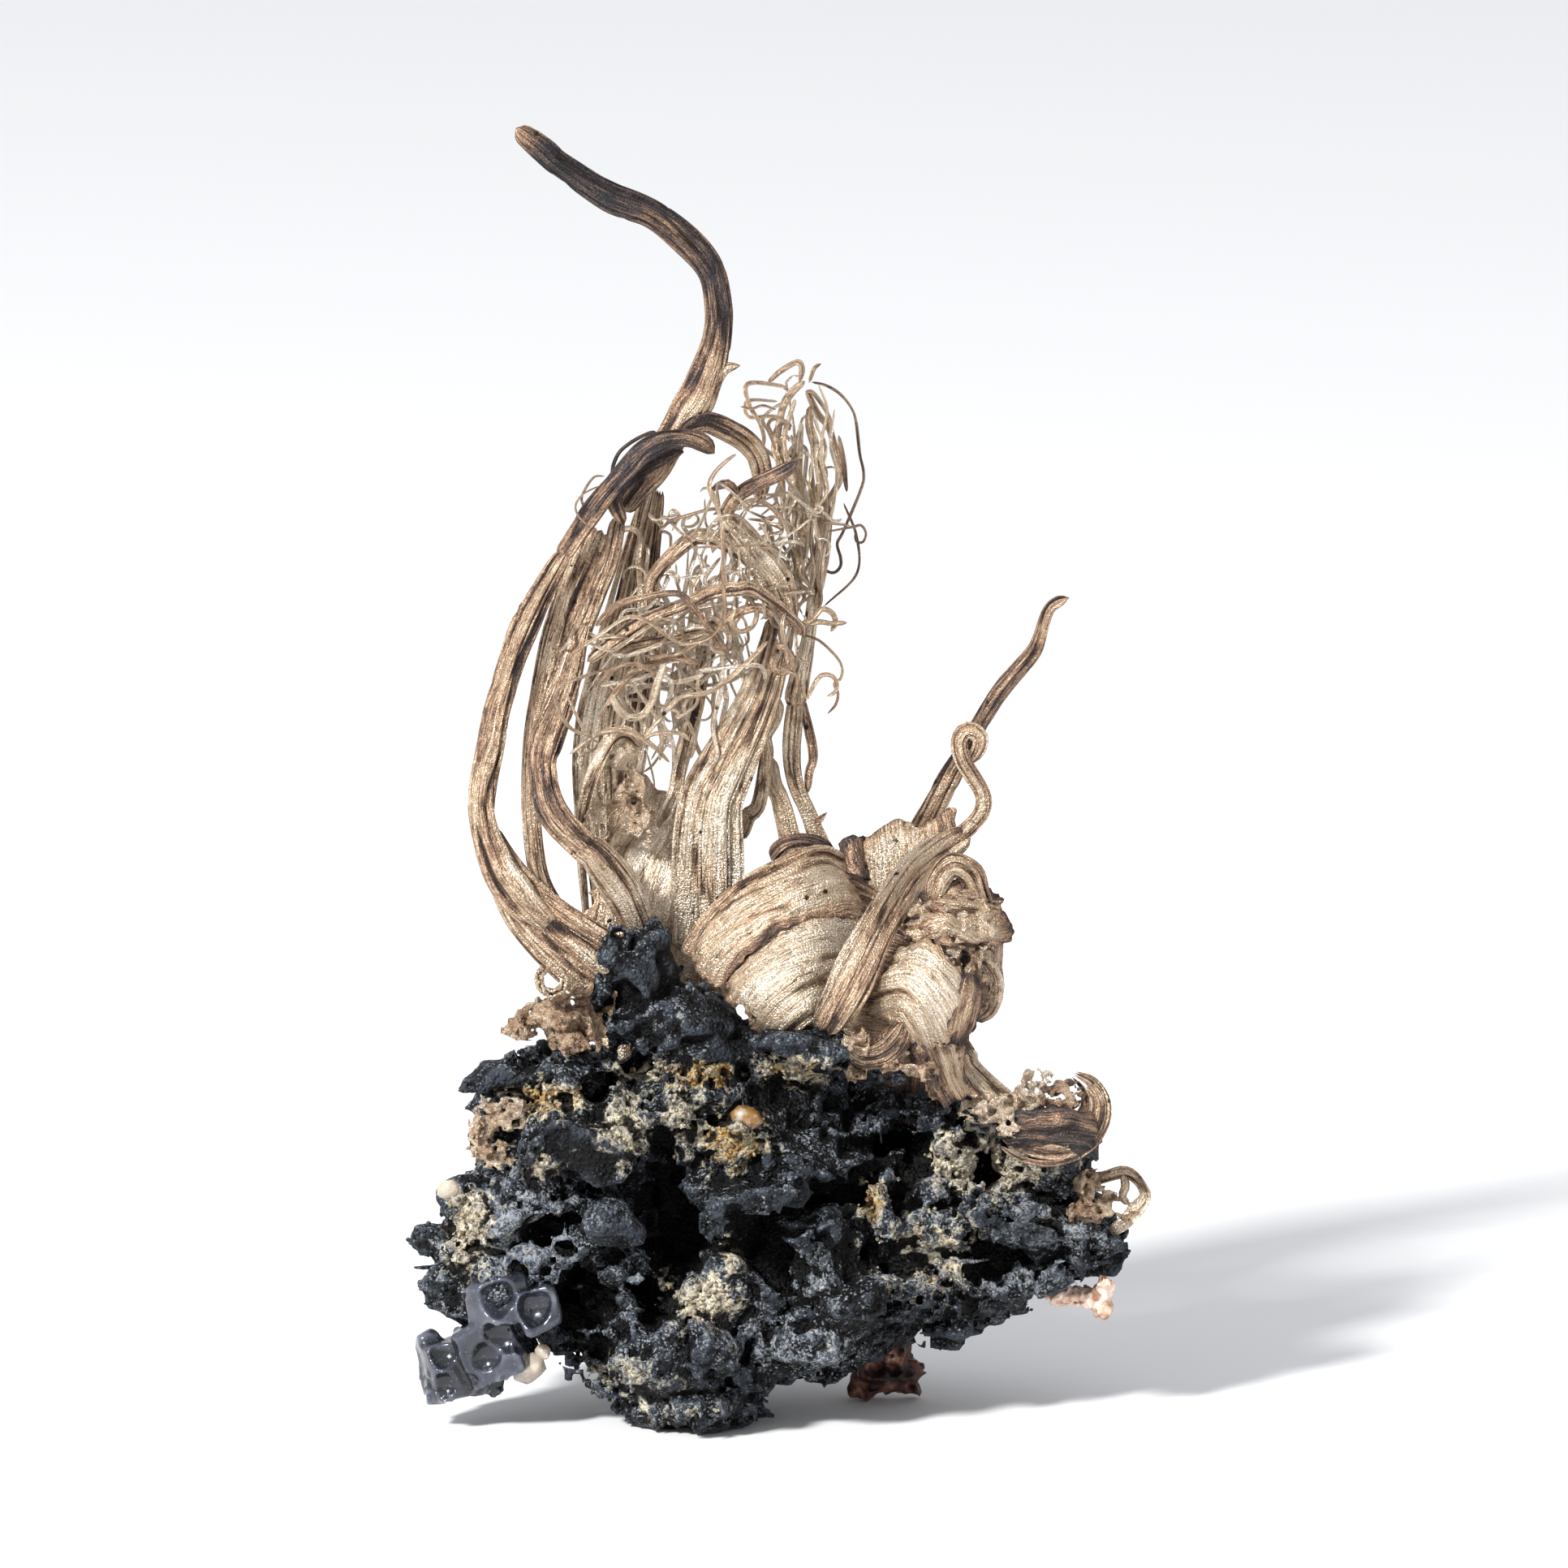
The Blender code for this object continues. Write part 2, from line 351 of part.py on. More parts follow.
WALL_SHEET_ROWS = (
    ((-9.6, 40.3, 4.4), (-7.6, 40.8, 4.6), (-5.4, 40.2, 4.7), (-3.0, 40.6, 4.6)),
    ((-10.6, 36.8, 4.0), (-7.8, 37.0, 4.4), (-5.2, 36.8, 4.6), (-2.6, 36.8, 4.6)),
    ((-11.6, 33.4, 3.4), (-8.6, 33.2, 3.8), (-5.4, 32.8, 4.2), (-2.4, 33.0, 4.4)),
    ((-11.8, 29.0, 2.8), (-8.8, 27.4, 3.4), (-5.6, 25.6, 3.8), (-2.4, 25.0, 4.0)),
)
ROOT_SHEET_ROWS = (
    ((-1.2, 36.4, 4.9), (0.6, 36.9, 5.2), (2.2, 36.8, 5.5), (3.8, 36.5, 5.6)),
    ((-1.2, 33.0, 4.2), (0.6, 33.2, 4.4), (2.2, 33.2, 4.6), (4.0, 32.8, 4.6)),
    ((-1.4, 28.6, 3.4), (0.6, 28.6, 3.4), (2.4, 28.6, 3.4), (4.4, 28.2, 3.4)),
    ((-1.6, 22.0, 3.6), (0.6, 22.0, 3.6), (2.6, 22.0, 3.6), (4.6, 22.0, 3.6)),
)

SPIRAL_CENTRE = (-13.5, 28.8, -4.6)
SPIRAL_RADIUS = 1.05
SPIRAL_TURNS = 1.6
SPIRAL_DEPTH = 1.5

# Finishes: name -> (red, green, blue, metallic, roughness).
FINISHES = {
    "native_silver": (0.52, 0.42, 0.33, 1.0, 0.42),
    "acanthite": (0.03, 0.032, 0.04, 0.2, 0.75),
    "acanthite_glassy": (0.05, 0.05, 0.06, 0.3, 0.25),
    "quartz": (0.80, 0.74, 0.66, 0.0, 0.2),
    "copper_crust": (0.20, 0.11, 0.09, 0.2, 0.7),
}


def at(across, up, back):
    """World place, in metres, of a point written as (across, up, back) in millimetres."""
    drop = (back - FRONT_CONTACT_BACK) * math.sin(SIGHT_FALL)
    return Vector((across - ORIGIN_ACROSS, back, (up - drop) / math.cos(SIGHT_FALL))) * MM


def clear_scene():
    for thing in list(bpy.data.objects):
        bpy.data.objects.remove(thing, do_unlink=True)


def new_collection(name):
    group = bpy.data.collections.new(name)
    bpy.context.scene.collection.children.link(group)
    return group


def finish_material(node, finish):
    """One Principled material for one object, in the named finish."""
    red, green, blue, metallic, roughness = FINISHES[finish]
    material = bpy.data.materials.new(f"{node}_{finish}")
    material.use_nodes = True
    shader = material.node_tree.nodes["Principled BSDF"]
    shader.inputs["Base Color"].default_value = (red, green, blue, 1.0)
    shader.inputs["Metallic"].default_value = metallic
    shader.inputs["Roughness"].default_value = roughness
    return material


def add_object(name, data, group, finish):
    thing = bpy.data.objects.new(name, data)
    thing.data.materials.append(finish_material(name, finish))
    group.objects.link(thing)
    return thing


def add_cutter(name, data, group):
    thing = bpy.data.objects.new(name, data)
    thing.display_type = "WIRE"
    thing.hide_render = True
    group.objects.link(thing)
    return thing


def smooth_route(points, step=None):
    """Points on a Catmull-Rom curve through the given ones: about `step` apart, or two a span."""
    size = len(points[0])
    padded = [points[0], *points, points[-1]]
    route = []
    for a, b, c, d in zip(padded, padded[1:], padded[2:], padded[3:]):
        length = math.dist(b[:3], c[:3])
        count = max(1, round(length / step)) if step else 2
        for index in range(count):
            t = index / count
            route.append(tuple(
                0.5 * (2 * b[k] + (c[k] - a[k]) * t
                       + (2 * a[k] - 5 * b[k] + 4 * c[k] - d[k]) * t ** 2
                       + (3 * b[k] - a[k] - 3 * c[k] + d[k]) * t ** 3)
                for k in range(size)))
    route.append(tuple(points[-1]))
    return route


def evaluated_mesh(thing):
    bpy.context.view_layer.update()
    graph = bpy.context.evaluated_depsgraph_get()
    return bpy.data.meshes.new_from_object(thing.evaluated_get(graph))


def is_closed(form):
    return all(len(edge.link_faces) == 2 for edge in form.edges)


def islands_of(form):
    """The form's loose bodies as lists of vertices, largest first."""
    islands = []
    unseen = set(form.verts)
    while unseen:
        stack = [unseen.pop()]
        island = []
        while stack:
            vertex = stack.pop()
            island.append(vertex)
            for edge in vertex.link_edges:
                other = edge.other_vert(vertex)
                if other in unseen:
                    unseen.remove(other)
                    stack.append(other)
        islands.append(island)
    return sorted(islands, key=len, reverse=True)


def bake(thing):
    """Puts an object's modifiers into its mesh and keeps its largest closed body."""
    mesh = evaluated_mesh(thing)
    thing.modifiers.clear()
    for distance in WELD_DISTANCES:
        form = bmesh.new()
        form.from_mesh(mesh)
        bmesh.ops.remove_doubles(form, verts=form.verts, dist=distance * MM)
        bmesh.ops.dissolve_degenerate(form, edges=form.edges, dist=distance * MM)
        spare = [vertex for island in islands_of(form)[1:] for vertex in island]
        bmesh.ops.delete(form, geom=spare, context="VERTS")
        if is_closed(form):
            break
    bmesh.ops.recalc_face_normals(form, faces=form.faces)
    form.to_mesh(mesh)
    form.free()
    thing.data = mesh


def trim(thing, cutter):
    """Cuts a piece back to its neighbour's touching gap."""
    cut = thing.modifiers.new(f"clear_of_{cutter.name}", "BOOLEAN")
    cut.operation = "DIFFERENCE"
    cut.object = cutter
    bake(thing)


def wire(name, points, group, sides_extra=1):
    """Round wire: a poly curve with its own radius at each point, made a closed mesh."""
    curve = bpy.data.curves.new(name, "CURVE")
    curve.dimensions = "3D"
    curve.bevel_depth = MM
    curve.bevel_resolution = sides_extra
    curve.use_fill_caps = True
    route = smooth_route(points, ROUTE_STEP)
    spline = curve.splines.new("POLY")
    spline.points.add(len(route) - 1)
    for knot, (across, up, back, width) in zip(spline.points, route):
        knot.co = (*at(across, up, back), 1.0)
        knot.radius = width / 2
    guide = bpy.data.objects.new(f"{name}_curve", curve)
    group.objects.link(guide)
    mesh = evaluated_mesh(guide)
    bpy.data.objects.remove(guide, do_unlink=True)
    form = bmesh.new()
    form.from_mesh(mesh)
    bmesh.ops.remove_doubles(form, verts=form.verts, dist=0.000002)
    bmesh.ops.recalc_face_normals(form, faces=form.faces)
    form.to_mesh(mesh)
    form.free()
    mesh.shade_smooth()
    mesh.materials.clear()
    return add_object(name, mesh, group, "native_silver")


def ribbon(name, points, group, thickness=RIBBON_THICKNESS, turn=0.0, edge_on=False):
    """Flat strand: a loft of ellipses whose width and turn change along the route."""
    route = smooth_route(points, ROUTE_STEP)
    sides = 8 if max(point[3] for point in points) > WIDE_RIBBON else 6
    places = [at(*point[:3]) for point in route]
    sight = Vector((0.0, math.cos(SIGHT_FALL), -math.sin(SIGHT_FALL)))
    verts = []
    for index, (place, point) in enumerate(zip(places, route)):
        ahead = places[min(index + 1, len(places) - 1)]
        behind = places[max(index - 1, 0)]
        along = (ahead - behind).normalized()
        side = along.cross(sight).normalized()
        side = Matrix.Rotation(math.radians(turn) * index / len(route), 3, along) @ side
        normal = side.cross(along).normalized()
        half_width = point[3] / 2 * MM
        half_thick = min(thickness, point[3]) / 2 * MM
        if edge_on:
            side, normal = normal, side
        for k in range(sides):
            angle = 2 * math.pi * k / sides
            offset = side * math.cos(angle) * half_width + normal * math.sin(angle) * half_thick
            verts.append(place + offset)
    faces = []
    for ring in range(len(route) - 1):
        for k in range(sides):
            a = ring * sides + k
            b = ring * sides + (k + 1) % sides
            faces.append((a, b, b + sides, a + sides))
    faces.append(tuple(range(sides)))
    last = (len(route) - 1) * sides
    faces.append(tuple(range(last + sides - 1, last - 1, -1)))
    mesh = bpy.data.meshes.new(name)
    mesh.from_pydata(verts, [], faces)
    form = bmesh.new()
    form.from_mesh(mesh)
    bmesh.ops.recalc_face_normals(form, faces=form.faces)
    form.to_mesh(mesh)
    form.free()
    mesh.shade_smooth()
    return add_object(name, mesh, group, "native_silver")


def sheet(name, rows, group, thickness=LEAF_THICKNESS):
    """Leaf: an open surface lofted smoothly through rows of points, then given its thickness."""
    finer_rows = [smooth_route(row) for row in rows]
    finer_columns = [smooth_route(column) for column in zip(*finer_rows)]
    columns = len(finer_columns)
    rows_down = len(finer_columns[0])
    verts = [at(*finer_columns[c][r]) for r in range(rows_down) for c in range(columns)]
    faces = []
    for r in range(rows_down - 1):
        for c in range(columns - 1):
            a = r * columns + c
            faces.append((a, a + 1, a + 1 + columns, a + columns))
    mesh = bpy.data.meshes.new(name)
    mesh.from_pydata(verts, [], faces)
    leaf = add_object(name, mesh, group, "native_silver")
    body = leaf.modifiers.new("thickness", "SOLIDIFY")
    body.thickness = thickness * MM
    body.offset = 0.0
    bake(leaf)
    return leaf


def add_ball(form, lump, detail=3):
    """Adds one leaning ellipsoid to a form."""
    across, up, back, half_width, half_height, half_depth, lean = lump
    place = Matrix.Translation(at(across, up, back))
    place = place @ Matrix.Rotation(math.radians(-lean), 4, "Y")
    place = place @ Matrix.Diagonal((half_width * MM, half_depth * MM, half_height * MM, 1.0))
    bmesh.ops.create_icosphere(form, subdivisions=detail, radius=1.0, matrix=place)


def add_block(form, block):
    """Adds one leaning box to a form."""
    across, up, back, half_width, half_height, half_depth, lean = block
    place = Matrix.Translation(at(across, up, back))
    place = place @ Matrix.Rotation(math.radians(-lean), 4, "Y")
    place = place @ Matrix.Diagonal((half_width * MM, half_depth * MM, half_height * MM, 1.0))
    bmesh.ops.create_cube(form, size=2.0, matrix=place)


def form_mesh(name, form):
    mesh = bpy.data.meshes.new(name)
    form.to_mesh(mesh)
    form.free()
    return mesh


def fuse(thing, voxel):
    grid = thing.modifiers.new("fuse", "REMESH")
    grid.mode = "VOXEL"
    grid.voxel_size = voxel * MM


def roughen(thing, name, scale, strength):
    """Lumpy relief of one size, pushed in and out along the normals."""
    pattern = bpy.data.textures.new(name, "CLOUDS")
    pattern.noise_scale = scale * MM
    pattern.noise_depth = 2
    relief = thing.modifiers.new(name, "DISPLACE")
    relief.texture = pattern
    relief.texture_coords = "GLOBAL"
    relief.strength = strength * MM
    relief.mid_level = 0.5


def thin_out(thing, ratio):
    fewer = thing.modifiers.new("fewer_faces", "DECIMATE")
    fewer.ratio = ratio


def floor_cutter(group):
    form = bmesh.new()
    place = Matrix.Translation((0.0, 0.0, -0.02)) @ Matrix.Diagonal((0.2, 0.2, 0.04, 1.0))
    bmesh.ops.create_cube(form, size=1.0, matrix=place)
    return add_cutter("floor_cutter", form_mesh("floor_cutter", form), group)


def stand_flat(thing, floor):
    cut = thing.modifiers.new("stand_flat", "BOOLEAN")
    cut.operation = "DIFFERENCE"
    cut.object = floor


def build_matrix(parts, cutters, floor):
    """The acanthite rock: fused lumps and ledges, hollows cut in, relief, and a flat spot."""
    form = bmesh.new()
    for lump in ROCK_LUMPS:
        add_ball(form, lump)
    add_ball(form, BASE_SPOT)
    for ledge in ROCK_LEDGES:
        add_block(form, ledge)
    rock = add_object("matrix", form_mesh("matrix", form), parts, "acanthite")
    hollows = bmesh.new()
    for hollow in ROCK_HOLLOWS:
        add_ball(hollows, hollow, detail=2)
    hollow_cutter = add_cutter("rock_hollows", form_mesh("rock_hollows", hollows), cutters)
    fuse(hollow_cutter, ROCK_VOXEL)
    fuse(rock, ROCK_VOXEL)
    roughen(rock, "rock_coarse", 4.5, ROCK_COARSE_RELIEF)
    roughen(rock, "rock_fine", 1.8, ROCK_FINE_RELIEF)
    fuse(rock, ROCK_VOXEL)
    roughen(rock, "rock_grain", 1.2, ROCK_GRAIN_RELIEF)
    carve = rock.modifiers.new("hollows", "BOOLEAN")
    carve.operation = "DIFFERENCE"
    carve.object = hollow_cutter
    thin_out(rock, ROCK_DECIMATE)
    stand_flat(rock, floor)
    bake(rock)
    return rock


def build_envelope(rock, cutters):
    """The rock grown by the touching gap, which the silver roots are cut back to."""
    shell = add_cutter("rock_envelope", rock.data.copy(), cutters)
    grow = shell.modifiers.new("grow", "DISPLACE")
    grow.strength = TOUCH_GAP * MM
    grow.mid_level = 0.0
    fuse(shell, 0.5)
    thin_out(shell, 0.12)
    return shell


def lumpy_piece(name, lumps, parts, finish, voxel, relief, ratio):
    """A small lumpy piece: fused ellipsoids with a fine relief."""
    form = bmesh.new()
    for lump in lumps:
        add_ball(form, lump, detail=2)
    piece = add_object(name, form_mesh(name, form), parts, finish)
    fuse(piece, voxel)
    roughen(piece, f"{name}_relief", 1.2, relief)
    thin_out(piece, ratio)
    return piece


def build_glassy_crystals(parts, cutters, envelope):
    """Glassy acanthite: turned cubes grown together, with a scoop out of each face."""
    form = bmesh.new()
    for across, up, back, half, turn, roll in GLASSY_CUBES:
        place = Matrix.Translation(at(across, up, back))
        place = place @ Matrix.Rotation(math.radians(turn), 4, "Z")
        place = place @ Matrix.Rotation(math.radians(roll), 4, "Y")
        place = place @ Matrix.Scale(half * MM, 4)
        bmesh.ops.create_cube(form, size=2.0, matrix=place)
    cluster = add_object("acanthite_crystals", form_mesh("acanthite_crystals", form), parts, "acanthite_glassy")
    scoops = bmesh.new()
    for across, up, back, radius in GLASSY_SCOOPS:
        add_ball(scoops, (across, up, back, radius, radius, radius, 0), detail=2)
    scoop_cutter = add_cutter("glassy_scoops", form_mesh("glassy_scoops", scoops), cutters)
    fuse(scoop_cutter, 0.4)
    fuse(cluster, 0.35)
    carve = cluster.modifiers.new("scoops", "BOOLEAN")
    carve.operation = "DIFFERENCE"
    carve.object = scoop_cutter
    thin_out(cluster, 0.08)
    trim(cluster, envelope)
    return cluster


def quartz(name, place, radius, length, lean, turn, parts):
    """Six-sided crystal with a point at each end."""
    form = bmesh.new()
    point = radius * 1.1
    lower = Matrix.Translation((0, 0, -(length + point) / 2 * MM))
    upper = Matrix.Translation((0, 0, (length + point) / 2 * MM))
    bmesh.ops.create_cone(form, cap_ends=True, segments=6, radius1=radius * MM, radius2=radius * MM,
                          depth=length * MM)
    bmesh.ops.create_cone(form, cap_ends=True, segments=6, radius1=radius * MM, radius2=0.0,
                          depth=point * MM, matrix=upper)
    bmesh.ops.create_cone(form, cap_ends=True, segments=6, radius1=0.0, radius2=radius * MM,
                          depth=point * MM, matrix=lower)
    bmesh.ops.remove_doubles(form, verts=form.verts, dist=0.000001)
    inner = [face for face in form.faces if abs(abs(face.calc_center_median().z) - length / 2 * MM) < 1e-7]
    bmesh.ops.delete(form, geom=inner, context="FACES_ONLY")
    bmesh.ops.recalc_face_normals(form, faces=form.faces)
    turned = Matrix.Rotation(math.radians(turn), 4, "Z") @ Matrix.Rotation(math.radians(lean), 4, "Y")
    bmesh.ops.transform(form, matrix=Matrix.Translation(at(*place)) @ turned, verts=form.verts)
    return add_object(name, form_mesh(name, form), parts, "quartz")


def spiral_curl(parts):
    """A ribbon rolled edge-on into a scroll."""
    across, up, back = SPIRAL_CENTRE
    steps = 12
    points = []
    for index in range(steps + 1):
        share = index / steps
        angle = 2 * math.pi * SPIRAL_TURNS * share + math.radians(200)
        radius = SPIRAL_RADIUS * (1.0 - 0.62 * share)
        points.append((across + radius * math.cos(angle), up + radius * math.sin(angle),
                       back, SPIRAL_DEPTH))
    return ribbon("spiral_curl", points, parts, thickness=0.22, edge_on=True)


def build_silver(parts, envelope, floor):
    """Every strand, wire and leaf; those that meet the rock are cut back to it."""
    rooted = [
        sheet("leaf_front", LEAF_FRONT_ROWS, parts),
        sheet("leaf_back", LEAF_BACK_ROWS, parts),
        sheet("sheet_right", SHEET_RIGHT_ROWS, parts),
        sheet("rim_curl", RIM_CURL_ROWS, parts, thickness=0.7),
        sheet("wall_sheet", WALL_SHEET_ROWS, parts),
        sheet("root_sheet", ROOT_SHEET_ROWS, parts),
        ribbon("left_strap", LEFT_STRAP, parts, thickness=1.3),
        ribbon("leaf_diagonal", LEAF_DIAGONAL, parts, thickness=0.8),
        ribbon("neck_right", NECK_RIGHT, parts, thickness=0.9),
        ribbon("central_sheaf", CENTRAL_SHEAF, parts, thickness=1.2),
        ribbon("back_sheaf", BACK_SHEAF, parts, thickness=1.0),
        wire("loop_ribbon_right", LOOP_RIBBON_RIGHT, parts),
        lumpy_piece("left_crumple", LEFT_CRUMPLE_LUMPS, parts, "native_silver", 0.3, 0.6, 0.09),
        lumpy_piece("left_crust", LEFT_CRUST_LUMPS, parts, "native_silver", 0.3, 0.5, 0.09),
        lumpy_piece("edge_crust_right", EDGE_CRUST_LUMPS, parts, "native_silver", 0.3, 0.4, 0.12),
        lumpy_piece("foot_nugget", FOOT_LUMPS, parts, "copper_crust", 0.3, 0.6, 0.08),
        quartz("quartz_crystal_left", (-14.4, 4.4, -1.2), 0.7, 1.8, 18, 0, parts),
        quartz("quartz_crystal_front", (-1.3, 20.5, -7.6), 0.7, 1.4, 70, 10, parts),
    ]
    for piece in rooted:
        if piece.name == "foot_nugget":
            stand_flat(piece, floor)
        trim(piece, envelope)
    knot = lumpy_piece("crumpled_knot", KNOT_LUMPS, parts, "native_silver", 0.35, 0.8, 0.10)
    bake(knot)
    ribbon("tall_wire", TALL_WIRE, parts, thickness=1.1)
    ribbon("twisted_ribbon", TWISTED_RIBBON, parts, thickness=0.45)
    ribbon("twisted_fold", TWISTED_FOLD, parts, thickness=0.35)
    ribbon("arch_ribbon", ARCH_RIBBON, parts, thickness=0.5)
    ribbon("grey_strand", GREY_STRAND, parts, thickness=0.5)
    ribbon("loop_strand", LOOP_STRAND, parts, thickness=0.6)
    ribbon("sheaf_side_strand", SHEAF_SIDE_STRAND, parts, thickness=0.6)
    ribbon("left_outer_wire", LEFT_OUTER_WIRE, parts, thickness=1.1)
    ribbon("left_bundle", LEFT_BUNDLE, parts, thickness=1.3)
    ribbon("back_strand", BACK_STRAND, parts, thickness=0.6)
    ribbon("front_curl_strand", FRONT_CURL_STRAND, parts, thickness=0.8)
    ribbon("tangle_band_upper", TANGLE_BAND_UPPER, parts, thickness=0.4)
    ribbon("tangle_band_lower", TANGLE_BAND_LOWER, parts, thickness=0.4)
    ribbon("right_stem", RIGHT_STEM, parts, thickness=0.8)
    ribbon("stem_leg_inner", STEM_LEG_INNER, parts, thickness=0.7)
    ribbon("stem_leg_pale", STEM_LEG_PALE, parts, thickness=0.6)
    ribbon("stem_side_strand", STEM_SIDE_STRAND, parts, thickness=0.5)
    ribbon("curl_arch", CURL_ARCH, parts, thickness=0.5)
    ribbon("spike_wire", SPIKE_WIRE, parts, thickness=1.0)
    ribbon("hooked_ribbon", HOOKED_RIBBON, parts, thickness=0.45)
    spiral_curl(parts)
    for number, points in enumerate(HEAD_WIRES, start=1):
        wire(f"head_wire_{number}", points, parts)
    wire("outer_arc_wire", OUTER_ARC_WIRE, parts)
    wire("head_loop_wire", HEAD_LOOP_WIRE, parts)
    wire("top_hook_wire", TOP_HOOK_WIRE, parts)
    wire("tangle_wire_grey", TANGLE_WIRE_GREY, parts)
    wire("tangle_wire_long", TANGLE_WIRE_LONG, parts)
    wire("hanging_loop_wire", HANGING_LOOP_WIRE, parts)
    wire("low_tangle_wire", LOW_TANGLE_WIRE, parts)
    wire("right_curl_wire", RIGHT_CURL_WIRE, parts)
    wire("curly_wire", CURLY_WIRE, parts)


def main():
    clear_scene()
    parts = new_collection("native_silver_specimen")
    cutters = new_collection("cutters")
    floor = floor_cutter(cutters)
    rock = build_matrix(parts, cutters, floor)
    envelope = build_envelope(rock, cutters)
    build_glassy_crystals(parts, cutters, envelope)
    build_silver(parts, envelope, floor)


main()
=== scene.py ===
"""Looks of a native silver specimen: striated wires, ribbons and leaves of tarnished silver
that rise from a lumpy acanthite matrix. Every shape is worked out with numpy in millimetres
and stored in metres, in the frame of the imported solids."""

import math

import bpy
import numpy as np
from bpy.props import FloatProperty, FloatVectorProperty, IntProperty, PointerProperty
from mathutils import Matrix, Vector


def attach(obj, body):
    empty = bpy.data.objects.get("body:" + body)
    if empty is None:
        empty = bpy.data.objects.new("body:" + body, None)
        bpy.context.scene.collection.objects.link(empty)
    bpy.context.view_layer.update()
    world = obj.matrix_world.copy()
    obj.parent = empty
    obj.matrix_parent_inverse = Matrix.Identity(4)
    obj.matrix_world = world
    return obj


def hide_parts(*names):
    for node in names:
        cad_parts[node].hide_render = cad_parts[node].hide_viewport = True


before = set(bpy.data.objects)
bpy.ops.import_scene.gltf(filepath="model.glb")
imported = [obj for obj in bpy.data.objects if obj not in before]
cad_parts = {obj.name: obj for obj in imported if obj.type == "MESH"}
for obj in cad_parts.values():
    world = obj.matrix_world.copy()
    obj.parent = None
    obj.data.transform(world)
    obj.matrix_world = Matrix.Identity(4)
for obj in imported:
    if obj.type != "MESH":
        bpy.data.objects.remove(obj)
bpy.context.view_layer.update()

bl_info = {
    "name": "Native Silver Specimen",
    "version": (1, 0, 0),
    "blender": (4, 5, 0),
    "location": "3D View > Sidebar > Specimen",
    "description": "Builds the finish of a native silver on acanthite specimen",
    "category": "Add Mesh",
}

MM = 0.001
BODY = "root"

# Places are (across, up, back) in millimetres. "Up" is square to a sight line that falls ten
# degrees, so a place further back stands a little lower in the world.
SIGHT_FALL = math.radians(10.0)
ORIGIN_ACROSS = -4.4
FRONT_CONTACT_BACK = -7.0

# Fibres are this many times as long as they are wide.
FIBRE_STRETCH = 20
# Lumpy bodies are cut off flat this far over the floor, and their grids start a step under the
# second height.
CUT_HEIGHT = 0.03
GRID_HEIGHT = 0.02


# ---------------------------------------------------------------- shape arithmetic

def at(points):
    """World millimetres of (across, up, back) points: across is moved to the standing spot,
    and up loses the height that the falling sight line gives to what lies further back."""
    points = np.asarray(points, float)
    drop = (points[..., 2] - FRONT_CONTACT_BACK) * math.sin(SIGHT_FALL)
    up = (points[..., 1] - drop) / math.cos(SIGHT_FALL)
    return np.stack([points[..., 0] - ORIGIN_ACROSS, points[..., 2], up], -1)


def stacked(*columns):
    """Columns of numbers side by side, as points; a single number is repeated."""
    return np.stack(np.broadcast_arrays(*columns), -1)


def unit(ways):
    """The same directions with length 1."""
    return ways / (np.linalg.norm(ways, axis=-1, keepdims=True) + 1e-9)


def run_length(points, axis=0):
    """Length along a path, or along each line of a grid, up to each of its points."""
    steps = np.linalg.norm(np.diff(points[..., :3], axis=axis), axis=-1)
    return np.pad(np.cumsum(steps, axis), [(int(k == axis), 0) for k in range(steps.ndim)])


def lattice_number(corner, seed):
    """One fixed whole number for each lattice corner: its three indices times large odd numbers,
    summed and stirred by shifts, so that neighbours have unlike numbers."""
    x, y, z = (corner[..., k].astype(np.uint32) for k in range(3))
    mixed = x * np.uint32(374761393) + y * np.uint32(668265263) + z * np.uint32(2246822519)
    mixed = mixed + np.uint32((seed * 3266489917 + 374761) % 4294967296)
    mixed = (mixed ^ (mixed >> np.uint32(15))) * np.uint32(2246822519)
    mixed = (mixed ^ (mixed >> np.uint32(13))) * np.uint32(3266489917)
    return mixed ^ (mixed >> np.uint32(16))


def noise(points, size, seed=0):
    """Smooth noise from -1 to 1: the numbers of the eight corners round each point, blended by
    a curve that is flat at the corners. size is the width of one wave in millimetres."""
    scaled = np.asarray(points, np.float32) / np.float32(size)
    low = np.floor(scaled)
    share = scaled - low
    share = share * share * share * (share * (share * 6 - 15) + 10)
    low = low.astype(np.int32)
    total = np.zeros(scaled.shape[:-1], np.float32)
    for corner in np.ndindex(2, 2, 2):
        step = np.array(corner, np.int32)
        weight = np.prod(np.where(step == 1, share, 1 - share), -1)
        total += weight * (lattice_number(low + step, seed) / np.float32(2 ** 31) - 1)
    return total


def warped(points, size, amount, seed):
    """Points moved about by up to `amount` millimetres each way, by three noises of one size."""
    return points + stacked(*[noise(points, size, seed + k) for k in range(3)]) * np.float32(amount)


